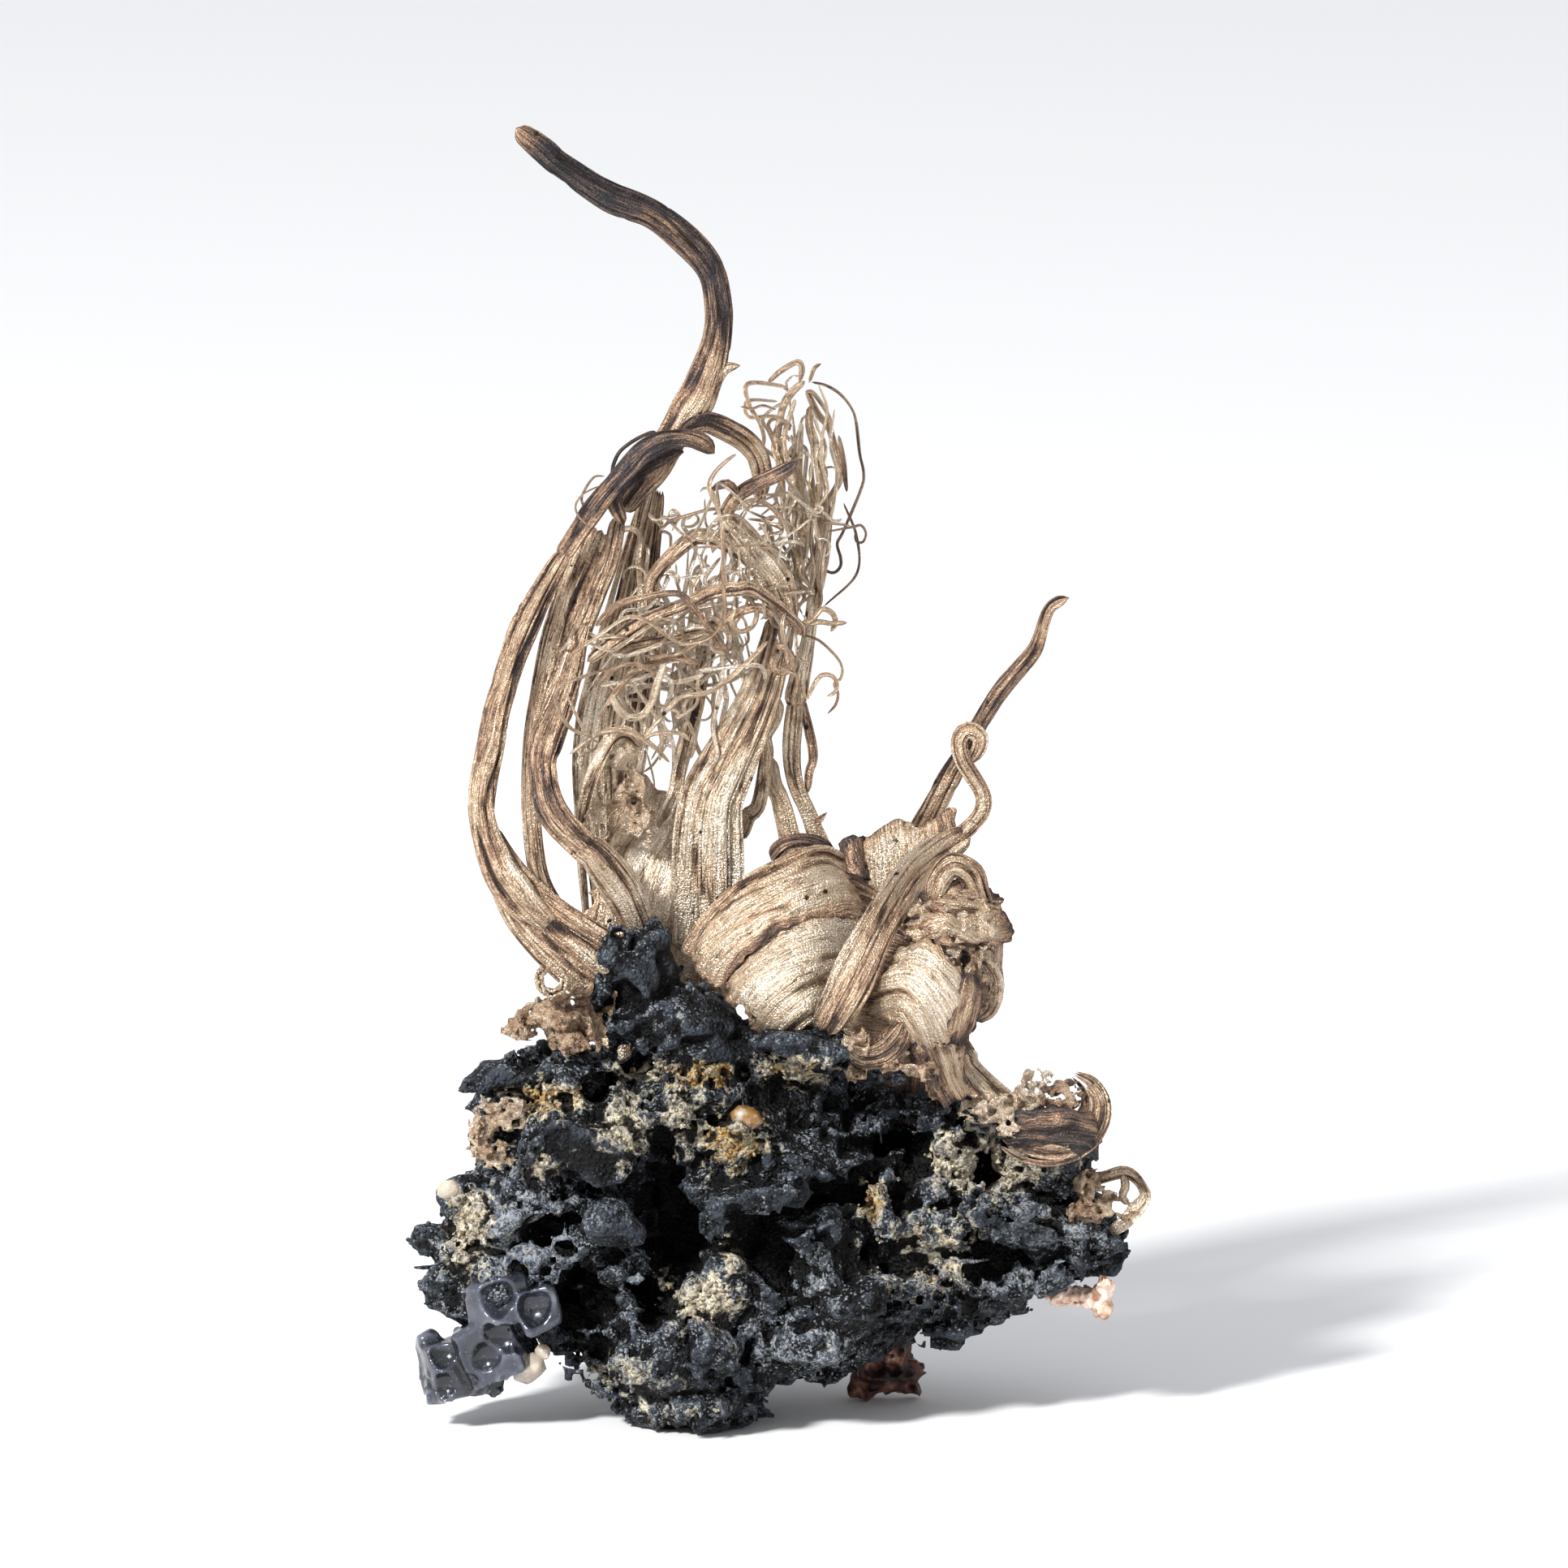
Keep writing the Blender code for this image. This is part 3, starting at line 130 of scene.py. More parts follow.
def grains(points, size, seed=0):
    """Distances, in units of size, to the nearest and next nearest of points scattered one to a
    lattice cell, the nearest one's own number from 0 to 1, and the height of a plane through it
    that tilts its own way."""
    scaled = np.asarray(points, np.float32) / np.float32(size)
    low = np.floor(scaled).astype(np.int32)
    nearest = np.full(scaled.shape[:-1], 9.0, np.float32)
    second = nearest.copy()
    own = np.zeros_like(nearest)
    tilt = np.zeros_like(nearest)
    for offset in np.ndindex(3, 3, 3):
        cell = low + (np.array(offset, np.int32) - 1)
        number = lattice_number(cell, seed)
        spot = np.stack([(number >> np.uint32(shift)) & np.uint32(1023) for shift in (0, 10, 20)], -1)
        spot = spot.astype(np.float32) / np.float32(1023)
        gap = cell + spot - scaled
        reach = np.einsum("...k,...k", gap, gap)
        closer = reach < nearest
        second = np.where(closer, nearest, np.minimum(second, reach))
        nearest = np.where(closer, reach, nearest)
        own = np.where(closer, (number % np.uint32(997)) / np.float32(997), own)
        way = spot[..., ::-1] * np.float32(2) - np.float32(1)
        tilt = np.where(closer, np.einsum("...k,...k", gap, way), tilt)
    return np.sqrt(nearest), np.sqrt(second), own, tilt


def ease(low, high, value):
    """0 below low, 1 above high, and a smooth S between."""
    share = np.clip((value - low) / (high - low), 0, 1)
    return share * share * (3 - 2 * share)


def ball_distance(points, lump):
    """About how far each point is outside a leaning ellipsoid: the point is scaled by the half
    sizes, and its distance from the centre less one is scaled back by the local slope."""
    sizes = np.array([lump[3], lump[5], lump[4]])
    local = lean_axes(points, lump) / sizes
    reach = np.linalg.norm(local, axis=-1)
    return reach * (reach - 1) / np.maximum(np.linalg.norm(local / sizes, axis=-1), 1e-4)


def block_distance(points, block):
    """How far each point is outside a leaning box, negative inside."""
    return box_distance(np.abs(lean_axes(points, block)) - np.array([block[3], block[5], block[4]]))


def lean_axes(points, form):
    """Points seen from the middle of a form (across, up, back, three half sizes, lean in
    degrees), along its own width, depth and height."""
    lean = math.radians(form[6])
    ways = np.array([[math.cos(lean), 0, -math.sin(lean)], [0, 1, 0], [math.sin(lean), 0, math.cos(lean)]])
    return (points - at(form[:3])) @ ways


def box_distance(over):
    """Distance outside a box from how far a point is past each pair of its sides."""
    return np.linalg.norm(np.maximum(over, 0), axis=-1) + np.minimum(over.max(-1), 0)


def melted(points, forms, distance, width):
    """The distances of several forms melted together."""
    total = distance(points, forms[0])
    for form in forms[1:]:
        total = melt(total, distance(points, form), width)
    return total


def melt(first, second, width):
    """The nearer of two distances, rounded over `width` where they are alike, so that the two
    forms flow together."""
    share = np.clip(0.5 + 0.5 * (second - first) / width, 0, 1)
    return second + (first - second) * share - width * share * (1 - share)


def net_surface(values, low, step):
    """The surface where values on a grid pass zero, as points and four-sided faces. A cell whose
    corners differ in sign gets one point, the mean of the crossings on its edges, and each grid
    edge that crosses zero joins the points of the four cells round it."""
    inside = values < 0
    cells = sum(inside[i:i - 1 or None, j:j - 1 or None, k:k - 1 or None].astype(np.int8)
                for i, j, k in np.ndindex(2, 2, 2))
    mixed = (cells > 0) & (cells < 8)
    index = np.full(mixed.shape, -1, np.int64)
    index[mixed] = np.arange(np.count_nonzero(mixed))
    cell = np.argwhere(mixed)
    corners = np.array(list(np.ndindex(2, 2, 2)))
    at_corner = values[tuple((cell[:, None, :] + corners[None]).reshape(-1, 3).T)].reshape(-1, 8)
    total = np.zeros((len(cell), 3))
    count = np.zeros((len(cell), 1))
    for a in range(8):
        for b in range(a + 1, 8):
            if np.abs(corners[a] - corners[b]).sum() != 1:
                continue
            crosses = (at_corner[:, a] < 0) != (at_corner[:, b] < 0)
            share = at_corner[:, a] / np.where(crosses, at_corner[:, a] - at_corner[:, b], 1)
            spot = corners[a] + share[:, None] * (corners[b] - corners[a])
            total += np.where(crosses[:, None], spot, 0)
            count += crosses[:, None]
    points = (cell + total / count) * step + low
    faces = []
    for axis in range(3):
        one, two = [k for k in range(3) if k != axis]
        start = np.moveaxis(inside, axis, 0)[:-1]
        end = np.moveaxis(inside, axis, 0)[1:]
        flips = np.moveaxis(start != end, 0, axis)
        edge = np.argwhere(flips)
        edge = edge[(edge[:, one] > 0) & (edge[:, two] > 0)]
        edge = edge[(edge[:, one] < index.shape[one]) & (edge[:, two] < index.shape[two])]
        ring = []
        for shift_one, shift_two in ((1, 1), (0, 1), (0, 0), (1, 0)):
            neighbour = edge.copy()
            neighbour[:, one] -= shift_one
            neighbour[:, two] -= shift_two
            ring.append(index[tuple(neighbour.T)])
        quad = np.stack(ring, -1)
        outward = inside[tuple(edge.T)] == (axis != 1)
        quad[~outward] = quad[~outward][:, ::-1]
        faces.append(quad)
    return points, np.concatenate(faces)


def grid_between(low, high, step):
    """Points of a grid that starts at low and reaches high."""
    axes = [low[k] + step * np.arange(math.ceil((high[k] - low[k]) / step) + 1) for k in range(3)]
    return stacked(*np.meshgrid(*axes, indexing="ij")).astype(np.float32)


def closed_form(values, low, step):
    """Points and faces of the largest body in a grid of distances, whose outermost layer is
    taken to lie outside the form so that it comes out closed."""
    for axis in range(3):
        edge = np.moveaxis(values, axis, 0)
        edge[[0, -1]] = np.maximum(edge[[0, -1]], 0.05)
    return largest_body(*net_surface(values, low, step))


def largest_body(points, faces):
    """Points and faces of the body with the most faces: each point takes the lowest number that
    its faces hold, over and over, until every body shares one."""
    label = np.arange(len(points))
    for _ in range(200):
        lowest = label[faces].min(1)
        before = label.copy()
        for corner in range(faces.shape[1]):
            np.minimum.at(label, faces[:, corner], lowest)
        label = label[label]
        if np.array_equal(label, before):
            break
    names, sizes = np.unique(label[faces[:, 0]], return_counts=True)
    keep = label == names[np.argmax(sizes)]
    renumber = np.cumsum(keep) - 1
    return points[keep], renumber[faces[keep[faces[:, 0]]]]


def catmull_rom(a, b, c, d, share):
    """Places on the smooth curve from b to c that leaves towards them as a and d ask."""
    return 0.5 * (2 * b + (c - a) * share + (2 * a - 5 * b + 4 * c - d) * share ** 2
                  + (3 * b - a - 3 * c + d) * share ** 3)


def smooth_path(points, spacing):
    """Rows read at even spacing from a Catmull-Rom curve through the given rows. The first three
    numbers of a row are its place; the others, such as width, are carried along."""
    rows = np.asarray(points, float)
    padded = np.vstack([2 * rows[0] - rows[1], rows, 2 * rows[-1] - rows[-2]])
    share = np.linspace(0, 1, 25)[:-1, None, None]
    fine = catmull_rom(padded[:-3], padded[1:-2], padded[2:-1], padded[3:], share)
    fine = np.vstack([fine.transpose(1, 0, 2).reshape(-1, rows.shape[1]), rows[-1]])
    run = run_length(fine)
    marks = np.linspace(0, run[-1], max(4, int(run[-1] / spacing) + 1))
    return stacked(*[np.interp(marks, run, column) for column in fine.T])


def put_mesh(name, points, groups, smooth=True):
    """A mesh object at the origin from millimetre points and groups of faces, each group an array
    with one row a face. It rides on the specimen."""
    mesh = bpy.data.meshes.new(name)
    groups = [np.asarray(group) for group in groups]
    corners = np.concatenate([group.ravel() for group in groups]).astype(np.int32)
    sides = np.concatenate([np.full(len(group), group.shape[1]) for group in groups])
    mesh.vertices.add(len(points))
    mesh.vertices.foreach_set("co", (np.asarray(points, np.float32) * MM).ravel())
    mesh.loops.add(len(corners))
    mesh.loops.foreach_set("vertex_index", corners)
    mesh.polygons.add(len(sides))
    mesh.polygons.foreach_set("loop_start", (np.cumsum(sides) - sides).astype(np.int32))
    mesh.update(calc_edges=True)
    mesh.validate()
    if smooth:
        mesh.polygons.foreach_set("use_smooth", np.ones(len(mesh.polygons), bool))
    piece = bpy.data.objects.new(name, mesh)
    bpy.context.scene.collection.objects.link(piece)
    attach(piece, BODY)
    return piece


def paint(piece, name, values):
    """Stores up to four columns of numbers, from 0 to 1, as one colour a vertex for the material."""
    values = np.pad(np.clip(values, 0, 1), ((0, 0), (0, 4 - values.shape[1])))
    attribute = piece.data.color_attributes.new(name, "FLOAT_COLOR", "POINT")
    attribute.data.foreach_set("color", values.astype(np.float32).ravel())


# ---------------------------------------------------------------- builders

def stack_parts(parts):
    """One part from many: points and paint end to end, with face numbers moved up."""
    shift = 0
    faces = {}
    for part in parts:
        for group in part["faces"]:
            faces.setdefault(group.shape[1], []).append(group + shift)
        shift += len(part["points"])
    joined = {key: np.concatenate([part[key] for part in parts]) for key in ("points", "wear_and_shade", "flow")}
    return {**joined, "faces": [np.concatenate(groups) for groups in faces.values()]}


def across_path(path, twist):
    """Side and depth directions at each row of a path. The side lies in the plane that is
    square to the sight line and to the path, and turns about the path by `twist` degrees."""
    run = unit(np.gradient(path[:, :3], axis=0))
    side = unit(stacked(run[:, 1], -run[:, 0], 0))
    deep = np.cross(run, side)
    turn = np.radians(twist)[:, None]
    return side * np.cos(turn) + deep * np.sin(turn), deep * np.cos(turn) - side * np.sin(turn)


def tube(points, wear_and_shade, flow):
    """A part from a grid of (across, up, back) points that is closed round its second direction
    and by a fan of faces at each end."""
    number = np.arange(points[..., 0].size).reshape(points.shape[:2])
    beside = np.roll(number, -1, 1)
    sides = np.stack([number[:-1], number[1:], beside[1:], beside[:-1]], -1).reshape(-1, 4)
    fans = np.concatenate([stacked(number.size, number[0], beside[0]),
                           stacked(number.size + 1, number[-1], beside[-1])[:, ::-1]])
    return {"points": at(np.vstack([points.reshape(-1, 3), points[[0, -1]].mean(1)])), "faces": [sides, fans],
            "wear_and_shade": np.vstack([wear_and_shade.reshape(-1, 2), wear_and_shade[[0, -1], 0]]),
            "flow": np.vstack([flow.reshape(-1, 3), flow[[0, -1], 0]])}


def strand(rows, flat, around, seed, groove, turn=0.0, step=0.3):
    """A grooved strip of silver along rows of (across, up, back, width, tarnish, twist). Its
    section is an ellipse, `flat` as thick as it is wide. Grooves are the zero lines of a noise
    that is read round the section and stretched along the path, so they run with the strip,
    branch and fade. Both ends round off over 0.8 mm."""
    path = smooth_path(rows, step)
    run = run_length(path)
    side, deep = across_path(path, turn + (path[:, 5] if path.shape[1] > 5 else 0 * run))
    angle = np.arange(around) / around * 2 * np.pi
    ends = np.sqrt(np.clip(1 - (1 - np.clip(np.minimum(run, run[-1] - run) / 0.8, 0, 1)) ** 2, 0.0016, 1))
    wide = path[:, 3] / 2 * ends * (1 + 0.1 * noise(stacked(run, 0, 0), 2.6, seed + 3))
    thick = wide * flat * (1 + 0.2 * noise(stacked(run, 9, 0), 4.0, seed + 5))
    ring = stacked(np.cos(angle), np.sin(angle))
    flow = np.empty((len(path), around, 3), np.float32)
    flow[..., :2] = ring * path[:, 3].mean() / 2
    flow[..., 2] = (run / FIBRE_STRETCH)[:, None] + seed * 1.7
    lines = noise(flow, 0.42, seed)
    cut = np.exp(-(lines / 0.16) ** 2)
    scratch = np.exp(-(noise(flow * np.array([1, 1, 1.6]), 0.19, seed + 1) / 0.22) ** 2)
    height = groove * (0.9 * noise(flow, 1.1, seed + 2) + 0.5 * np.abs(lines) - cut - 0.42 * scratch)
    height = height * (ends * np.clip(path[:, 3] / 1.2, 0.25, 1.3))[:, None]
    normal = unit(ring * np.array([flat, 1]))
    out = wide[:, None] * ring[:, 0] + height * normal[:, 0]
    into = thick[:, None] * ring[:, 1] + height * normal[:, 1]
    points = path[:, None, :3] + side[:, None] * out[..., None] + deep[:, None] * into[..., None]
    tarnish = (path[:, 4:5] + 0.16 * noise(flow * np.array([0.8, 0.8, 2.5]), 0.5, seed + 7)
               + 0.12 * noise(points, 2.2, seed + 8) + 0.3 * cut + 0.12 * scratch)
    return tube(points, stacked(tarnish, cut + 0.4 * scratch), flow)


def bundle(rows, count, seed, splay=0.25, deepen=0.3, wobble=0.3, flat=0.5, part_wide=1.5, around=26):
    """Strips side by side that make up one broad ribbon. Each keeps its own share of the
    width and wavers about it, and the outer ones stand a little further back."""
    path = smooth_path(rows, 1.2)
    run = run_length(path)
    side, _ = across_path(path, 0 * run)
    random = np.random.default_rng(seed)
    parts = []
    for index in range(count):
        place = (index + 0.5) / count * 2 - 1 + random.uniform(-0.5, 0.5) / count
        waver = noise(stacked(run, index * 3.7, seed), 7.0, seed)
        lift = noise(stacked(run, index * 5.1, seed), 9.0, seed + 1)
        one = np.column_stack([path, 28 * noise(stacked(run, index, seed), 8.0, seed + 2)])
        one[:, :3] += side * ((place * 0.92 + wobble * waver / count * 2) * path[:, 3] / 2)[:, None]
        one[:, 2] += (place ** 2 * splay + deepen * lift) * path[:, 3] * 0.4 + random.uniform(-0.1, 0.1)
        one[:, 3] *= part_wide / count * random.uniform(0.75, 1.35)
        one[:, 4] += random.uniform(-0.12, 0.12)
        first, last = random.integers(0, 2, 2) if len(one) > 8 else (0, 0)
        parts.append(strand(one[first:len(one) - last], flat, around, seed * 10 + index, 0.07, step=0.34))
    return stack_parts(parts)


def wire(rows, sides, step, seed):
    """A thin round wire along rows of (across, up, back, width, tarnish), whose radius wavers.
    Side directions are carried from row to row, so the wire may curl any way without a twist."""
    path = smooth_path(rows, step)
    ahead = unit(np.gradient(path[:, :3], axis=0))
    side = np.empty_like(ahead)
    held = np.cross(ahead[0], (0.31, 0.2, 0.93))
    for index, way in enumerate(ahead):
        held = unit(held - way * (held @ way))
        side[index] = held
    deep = np.cross(ahead, side)
    length = (np.arange(len(path)) * step)[:, None]
    radius = path[:, 3:4] / 2 * (1 + 0.12 * noise(stacked(length, seed, 0), 0.9, seed))
    radius = radius * np.sqrt(np.clip(np.minimum(length, length[-1] - length) / 0.25, 0.03, 1))
    angle = np.arange(sides) / sides * 2 * np.pi
    spoke = radius * (1 + 0.16 * np.cos(angle * 3 + length * 0.7))
    points = (path[:, None, :3] + side[:, None] * (np.cos(angle) * spoke)[..., None]
              + deep[:, None] * (np.sin(angle) * spoke)[..., None])
    flow = stacked(np.cos(angle) * 0.3, np.sin(angle) * 0.3, length / FIBRE_STRETCH + seed)
    stain = path[:, 4:5] + 0.14 * noise(stacked(length, 0, seed), 3.0, seed + 4)
    return tube(points, stacked(stain + 0 * angle, 0), flow)


def spread_weights(count, samples):
    """Weights of `count` control values at each of `samples` even places on the Catmull-Rom
    curve through them, as a samples by count table."""
    held = np.eye(count)
    padded = np.vstack([2 * held[0] - held[1], held, 2 * held[-1] - held[-2]])
    place = np.linspace(0, count - 1, samples)
    low = np.clip(place.astype(int), 0, count - 2)
    a, b, c, d = (padded[low + k] for k in range(4))
    return catmull_rom(a, b, c, d, (place - low)[:, None])


def enclosed_volume(points, faces):
    """Signed volume inside four-sided faces: a sixth of the sum of corner triple products over
    the two halves of each face. It is positive where faces point outwards."""
    a, b, c, d = (points[faces[:, k]] for k in range(4))
    return (a * np.cross(b, c) + a * np.cross(c, d)).sum() / 6


def plate(front, back, wear_and_shade, flow):
    """A part from two grids of (across, up, back) points that lie face to face, with a wall round
    their edge, turned so that its faces look outwards."""
    number = np.arange(front[..., 0].size).reshape(front.shape[:2])
    quads = np.stack([number[:-1, :-1], number[:-1, 1:], number[1:, 1:], number[1:, :-1]], -1).reshape(-1, 4)
    rim = np.concatenate([number[0, :-1], number[:-1, -1], number[-1, :0:-1], number[:0:-1, 0]])
    after = np.roll(rim, -1)
    wall = np.stack([rim, rim + number.size, after + number.size, after], -1)
    faces = np.concatenate([quads, quads[:, ::-1] + number.size, wall])
    points = at(np.vstack([front.reshape(-1, 3), back.reshape(-1, 3)]))
    if enclosed_volume(points, faces) < 0:
        faces = faces[:, ::-1]
    return {"points": points, "faces": [faces], "wear_and_shade": np.vstack([wear_and_shade.reshape(-1, 2)] * 2),
            "flow": np.vstack([flow.reshape(-1, 3)] * 2)}


def sheet(rows, fine=0.26, thick=0.45, ridge=0.1, fold=0.18, ragged=0.35, seed=0, tarnish=0.2, lines="rows",
          curl=0.0):
    """A torn, fibrous plate lofted through rows of (across, up, back). Fibres run along the rows
    or across them: their height is a noise stretched that way, with shallow folds under it.
    Edges are torn by noise in the plane and thin out over a millimetre."""
    control = np.asarray(rows, float)
    wide = run_length(control, 1)[:, -1].max()
    tall = run_length(control, 0)[-1].max()
    down = spread_weights(control.shape[0], max(12, int(tall / fine)))
    along = spread_weights(control.shape[1], max(12, int(wide / fine)))
    base = np.einsum("ia,abk,jb->ijk", down, control, along)
    run_row, run_down = run_length(base, 1), run_length(base, 0)
    row_way, down_way = (unit(np.gradient(base, axis=axis)) for axis in (1, 0))
    normal = unit(np.cross(row_way, down_way))
    normal *= -np.sign(normal[..., 2].mean())
    length, width = (run_row, run_down) if lines == "rows" else (run_down, run_row)
    sway = 0.8 * noise(stacked(length, width, 0), 7.0, seed + 9)
    flow = stacked(width + sway, seed * 2.3, length / FIBRE_STRETCH).astype(np.float32)
    ridges = noise(flow, 0.55, seed)
    fibres = noise(flow * np.array([1, 1, 2.0]), 0.26, seed + 1)
    broken = noise(stacked(width, length * 0.35, 0), 0.9, seed + 2)
    folds = fold * noise(stacked(width, length * 0.3, 3), 2.6, seed + 3)
    cut = np.exp(-(ridges / 0.15) ** 2) * ease(-0.5, 0.3, broken)
    height = ridge * (-0.9 * cut - 0.45 * np.exp(-(fibres / 0.2) ** 2) + 0.5 * np.abs(ridges) + 0.5 * broken)
    row_gap = np.minimum(run_row, run_row[:, -1:] - run_row)
    down_gap = np.minimum(run_down, run_down[-1:] - run_down)
    gap = np.minimum(row_gap, down_gap)
    tear = ragged * (noise(base, 1.6, seed + 4) + 0.6 * noise(base, 0.6, seed + 5)
                     + 0.35 * noise(base, 0.3, seed + 6))
    row_pull = tear * np.exp(-row_gap / 0.8) * np.where(run_row < run_row[:, -1:] / 2, -1, 1)
    down_pull = tear * np.exp(-down_gap / 0.8) * np.where(run_down < run_down[-1:] / 2, -1, 1)
    lift = folds + curl * np.exp(-gap / 0.7) * noise(base, 2.0, seed + 12)
    moved = base + row_way * row_pull[..., None] + down_way * down_pull[..., None] + normal * lift[..., None]
    body = thick * (0.11 + 0.39 * ease(0.0, 1.0, gap))
    front = moved + normal * (height + body)[..., None]
    back = moved - normal * (body + ridge * 0.6 * np.abs(ridges))[..., None]
    stain = tarnish
    if not np.isscalar(tarnish):
        stain = np.einsum("ia,ab,jb->ij", down, np.asarray(tarnish, float), along)
    level = (stain + 0.16 * noise(flow, 1.3, seed + 13) + 0.14 * noise(flow, 0.45, seed + 14)
             + 0.1 * noise(base, 2.4, seed + 7) + 0.26 * cut + 0.35 * np.exp(-gap / 0.45))
    return plate(front, back, stacked(level, cut), flow)


def lump_part(lumps, step, relief, wear_and_shade, blend):
    """A lumpy body: ellipsoids melted together, with `relief(points, distance)` added to the
    distance, drawn on a grid of the given step. wear(points) gives its paint."""
    lumps = np.asarray(lumps, float)
    reach = lumps[:, [3, 5, 4]] + 1.2
    low = (at(lumps[:, :3]) - reach).min(0)
    low[2] = max(low[2], GRID_HEIGHT - step)
    grid = grid_between(low, (at(lumps[:, :3]) + reach).max(0), step)
    values = melted(grid, lumps, ball_distance, blend)
    values = np.maximum(values + relief(grid, values), CUT_HEIGHT - grid[..., 2])
    points, faces = closed_form(values, low, step)
    return {"points": points, "faces": [faces], "wear_and_shade": wear_and_shade(points), "flow": points}


# ---------------------------------------------------------------- the matrix

# Lumps as (across, up, back, half width, half height, half depth, lean in degrees).
ROCK_LUMPS = (
    (0.5, 13.8, 4.2, 14.5, 9.5, 11.7, 0), (-13.5, 12.6, 2.4, 7.6, 6.6, 9.4, 10),
    (-19.3, 11, 0.5, 2.6, 3, 4, 0), (-21, 9.6, -0.6, 1.5, 1, 1.8, -35), (-13, 19, 0.5, 5.8, 3.6, 6.5, -6),
    (-5.6, 6.2, -0.5, 7, 6.2, 7.5, 0), (-11, 8.2, 1, 5.6, 4.6, 7, -20), (3.2, 8.6, 1, 6.5, 4.6, 7.5, 20),
    (11, 10.8, 3, 6.4, 4.6, 7.5, 5), (16, 13.4, 4, 6, 4.6, 7.5, 0), (20.4, 12.2, 2, 2.2, 1.2, 2.6, 0),
    (16.8, 17.2, 3, 3.8, 2.6, 5, 8), (9, 19.2, 5, 6.6, 4.6, 8, -12), (1.5, 24.2, 0.5, 4.8, 1.9, 5, 0),
    (2.4, 26.4, -1.4, 0.9, 1.2, 1, 0), (-4.6, 25.6, 0.2, 4.6, 3, 5, -34), (-8.4, 28, -0.9, 2.8, 4, 3, -8),
    (-9.6, 31, -1.4, 1.3, 1.5, 1.5, 20), (-7.4, 31.2, -1.2, 0.9, 1.2, 1.3, -20),
    (-12, 23, 0.5, 3.6, 2.2, 4.6, 0), (-15.8, 23, -0.8, 2.2, 1, 2, -14),
    (-17.6, 22.4, -1.2, 1.5, 0.7, 1.1, 10), (-18.9, 22, -1.3, 0.6, 0.4, 0.6, 20),
    (-4, 20.4, 2.5, 8, 4.4, 9, 0), (-4.4, 1.2, 1.5, 4.4, 1.6, 5.6, 0),
)
ROCK_LEDGES = (
    (-11.8, 18.2, -6.2, 3, 1.7, 1.8, -24), (-10, 13.8, -6.6, 2, 1.6, 1.5, 12),
    (1.5, 25, -4.6, 3.2, 0.6, 1.6, -4), (-0.5, 15.6, -7.6, 3.6, 0.9, 1.6, 14),
    (17, 12.6, -3.6, 3, 0.6, 1.8, 6), (14.6, 14.8, -4.4, 2.6, 0.6, 1.6, -8),
    (3.6, 19.4, -6.2, 2.4, 1.2, 1.4, -20),
)
ROCK_HOLLOWS = (
    (-6.9, 17, -7.4, 1.2, 3.2, 7, -12), (-6, 12.8, -8, 1.5, 3.6, 7, 0), (-6.8, 9, -8.4, 0.9, 2.2, 5, 8),
    (-10.6, 21.8, -5.4, 1.2, 1.2, 4.6, 0), (-8.4, 23.3, -5.2, 1, 0.9, 4.4, 20),
    (-4.2, 20.6, -7, 0.7, 1.7, 5, -8), (-9.2, 27, -3.8, 1, 1.2, 2.2, 0), (-8.6, 30.6, -3.2, 0.6, 0.7, 2, 0),
    (5.6, 22.2, -4.6, 1.7, 2.6, 6, -30), (3.6, 20.6, -6.4, 1.3, 1.2, 4, -30),
    (8.3, 17.2, -5.6, 0.9, 2.6, 6.5, 4), (10.6, 20.6, -4.6, 1.2, 0.7, 4, 10),
    (2.6, 14.1, -8.4, 4.2, 0.75, 5, 14), (-1.2, 13, -8.4, 1.6, 0.8, 4, 10),
    (7.2, 11, -7.4, 2.6, 0.7, 4, -22), (14, 10.4, -4.8, 1.9, 0.9, 4.6, 24),
    (12.4, 13.9, -5.4, 2.6, 0.55, 4, -6), (-16.6, 15.8, -5.8, 1.2, 0.9, 3, 0),
    (-13.6, 12.4, -7, 2.6, 0.7, 4, -30), (-12.4, 8.6, -6, 2.2, 0.9, 4, -30),
    (-11.4, 5.2, -5.2, 1.6, 0.8, 3.4, -24), (-2, 4.6, -8, 2.4, 0.6, 3, 16),
    (0.8, 10.6, -8.2, 1.5, 0.7, 3.6, -30), (-15.4, 9.6, -5.6, 0.9, 1, 3, 0),
)
# Slabs with a smooth skin: (across, up, half across, half up).
SMOOTH_SLABS = (
    (-11.6, 18.4, 3, 1.6), (-7.6, 29.4, 2.6, 2.4), (-4, 26.6, 3, 1.6), (1.4, 25.3, 3.6, 0.9),
    (-10, 14, 1.8, 1.6), (-1.5, 15.4, 3.2, 1), (-17.6, 22.6, 2.4, 1.2), (-2.6, 24.4, 1.6, 0.8),
)
# Lumps that stand inside the hollows, like the ledges in form.
ROCK_FILLS = (
    (-9.1, 20.3, -4.6, 0.9, 2, 1, 8), (-7.6, 19.2, -4.8, 0.6, 1.5, 0.9, -12),
    (-5.5, 20.2, -5.4, 0.9, 1.8, 1, 0), (-7.6, 23, -4.6, 2.6, 0.4, 0.8, -22),
    (-10.2, 22.6, -4.2, 0.4, 1.2, 0.7, 24), (-3.2, 18.8, -6.6, 1.4, 1.2, 1, 20),
    (-6.4, 10.4, -7, 0.4, 1.8, 0.9, -14), (-4.2, 8.6, -7.4, 1.3, 0.9, 1, 0),
    (-9.2, 24.4, 0, 1.3, 1.3, 2.2, 0), (5.4, 22.8, -1.6, 1.7, 0.9, 1.6, 0),
)
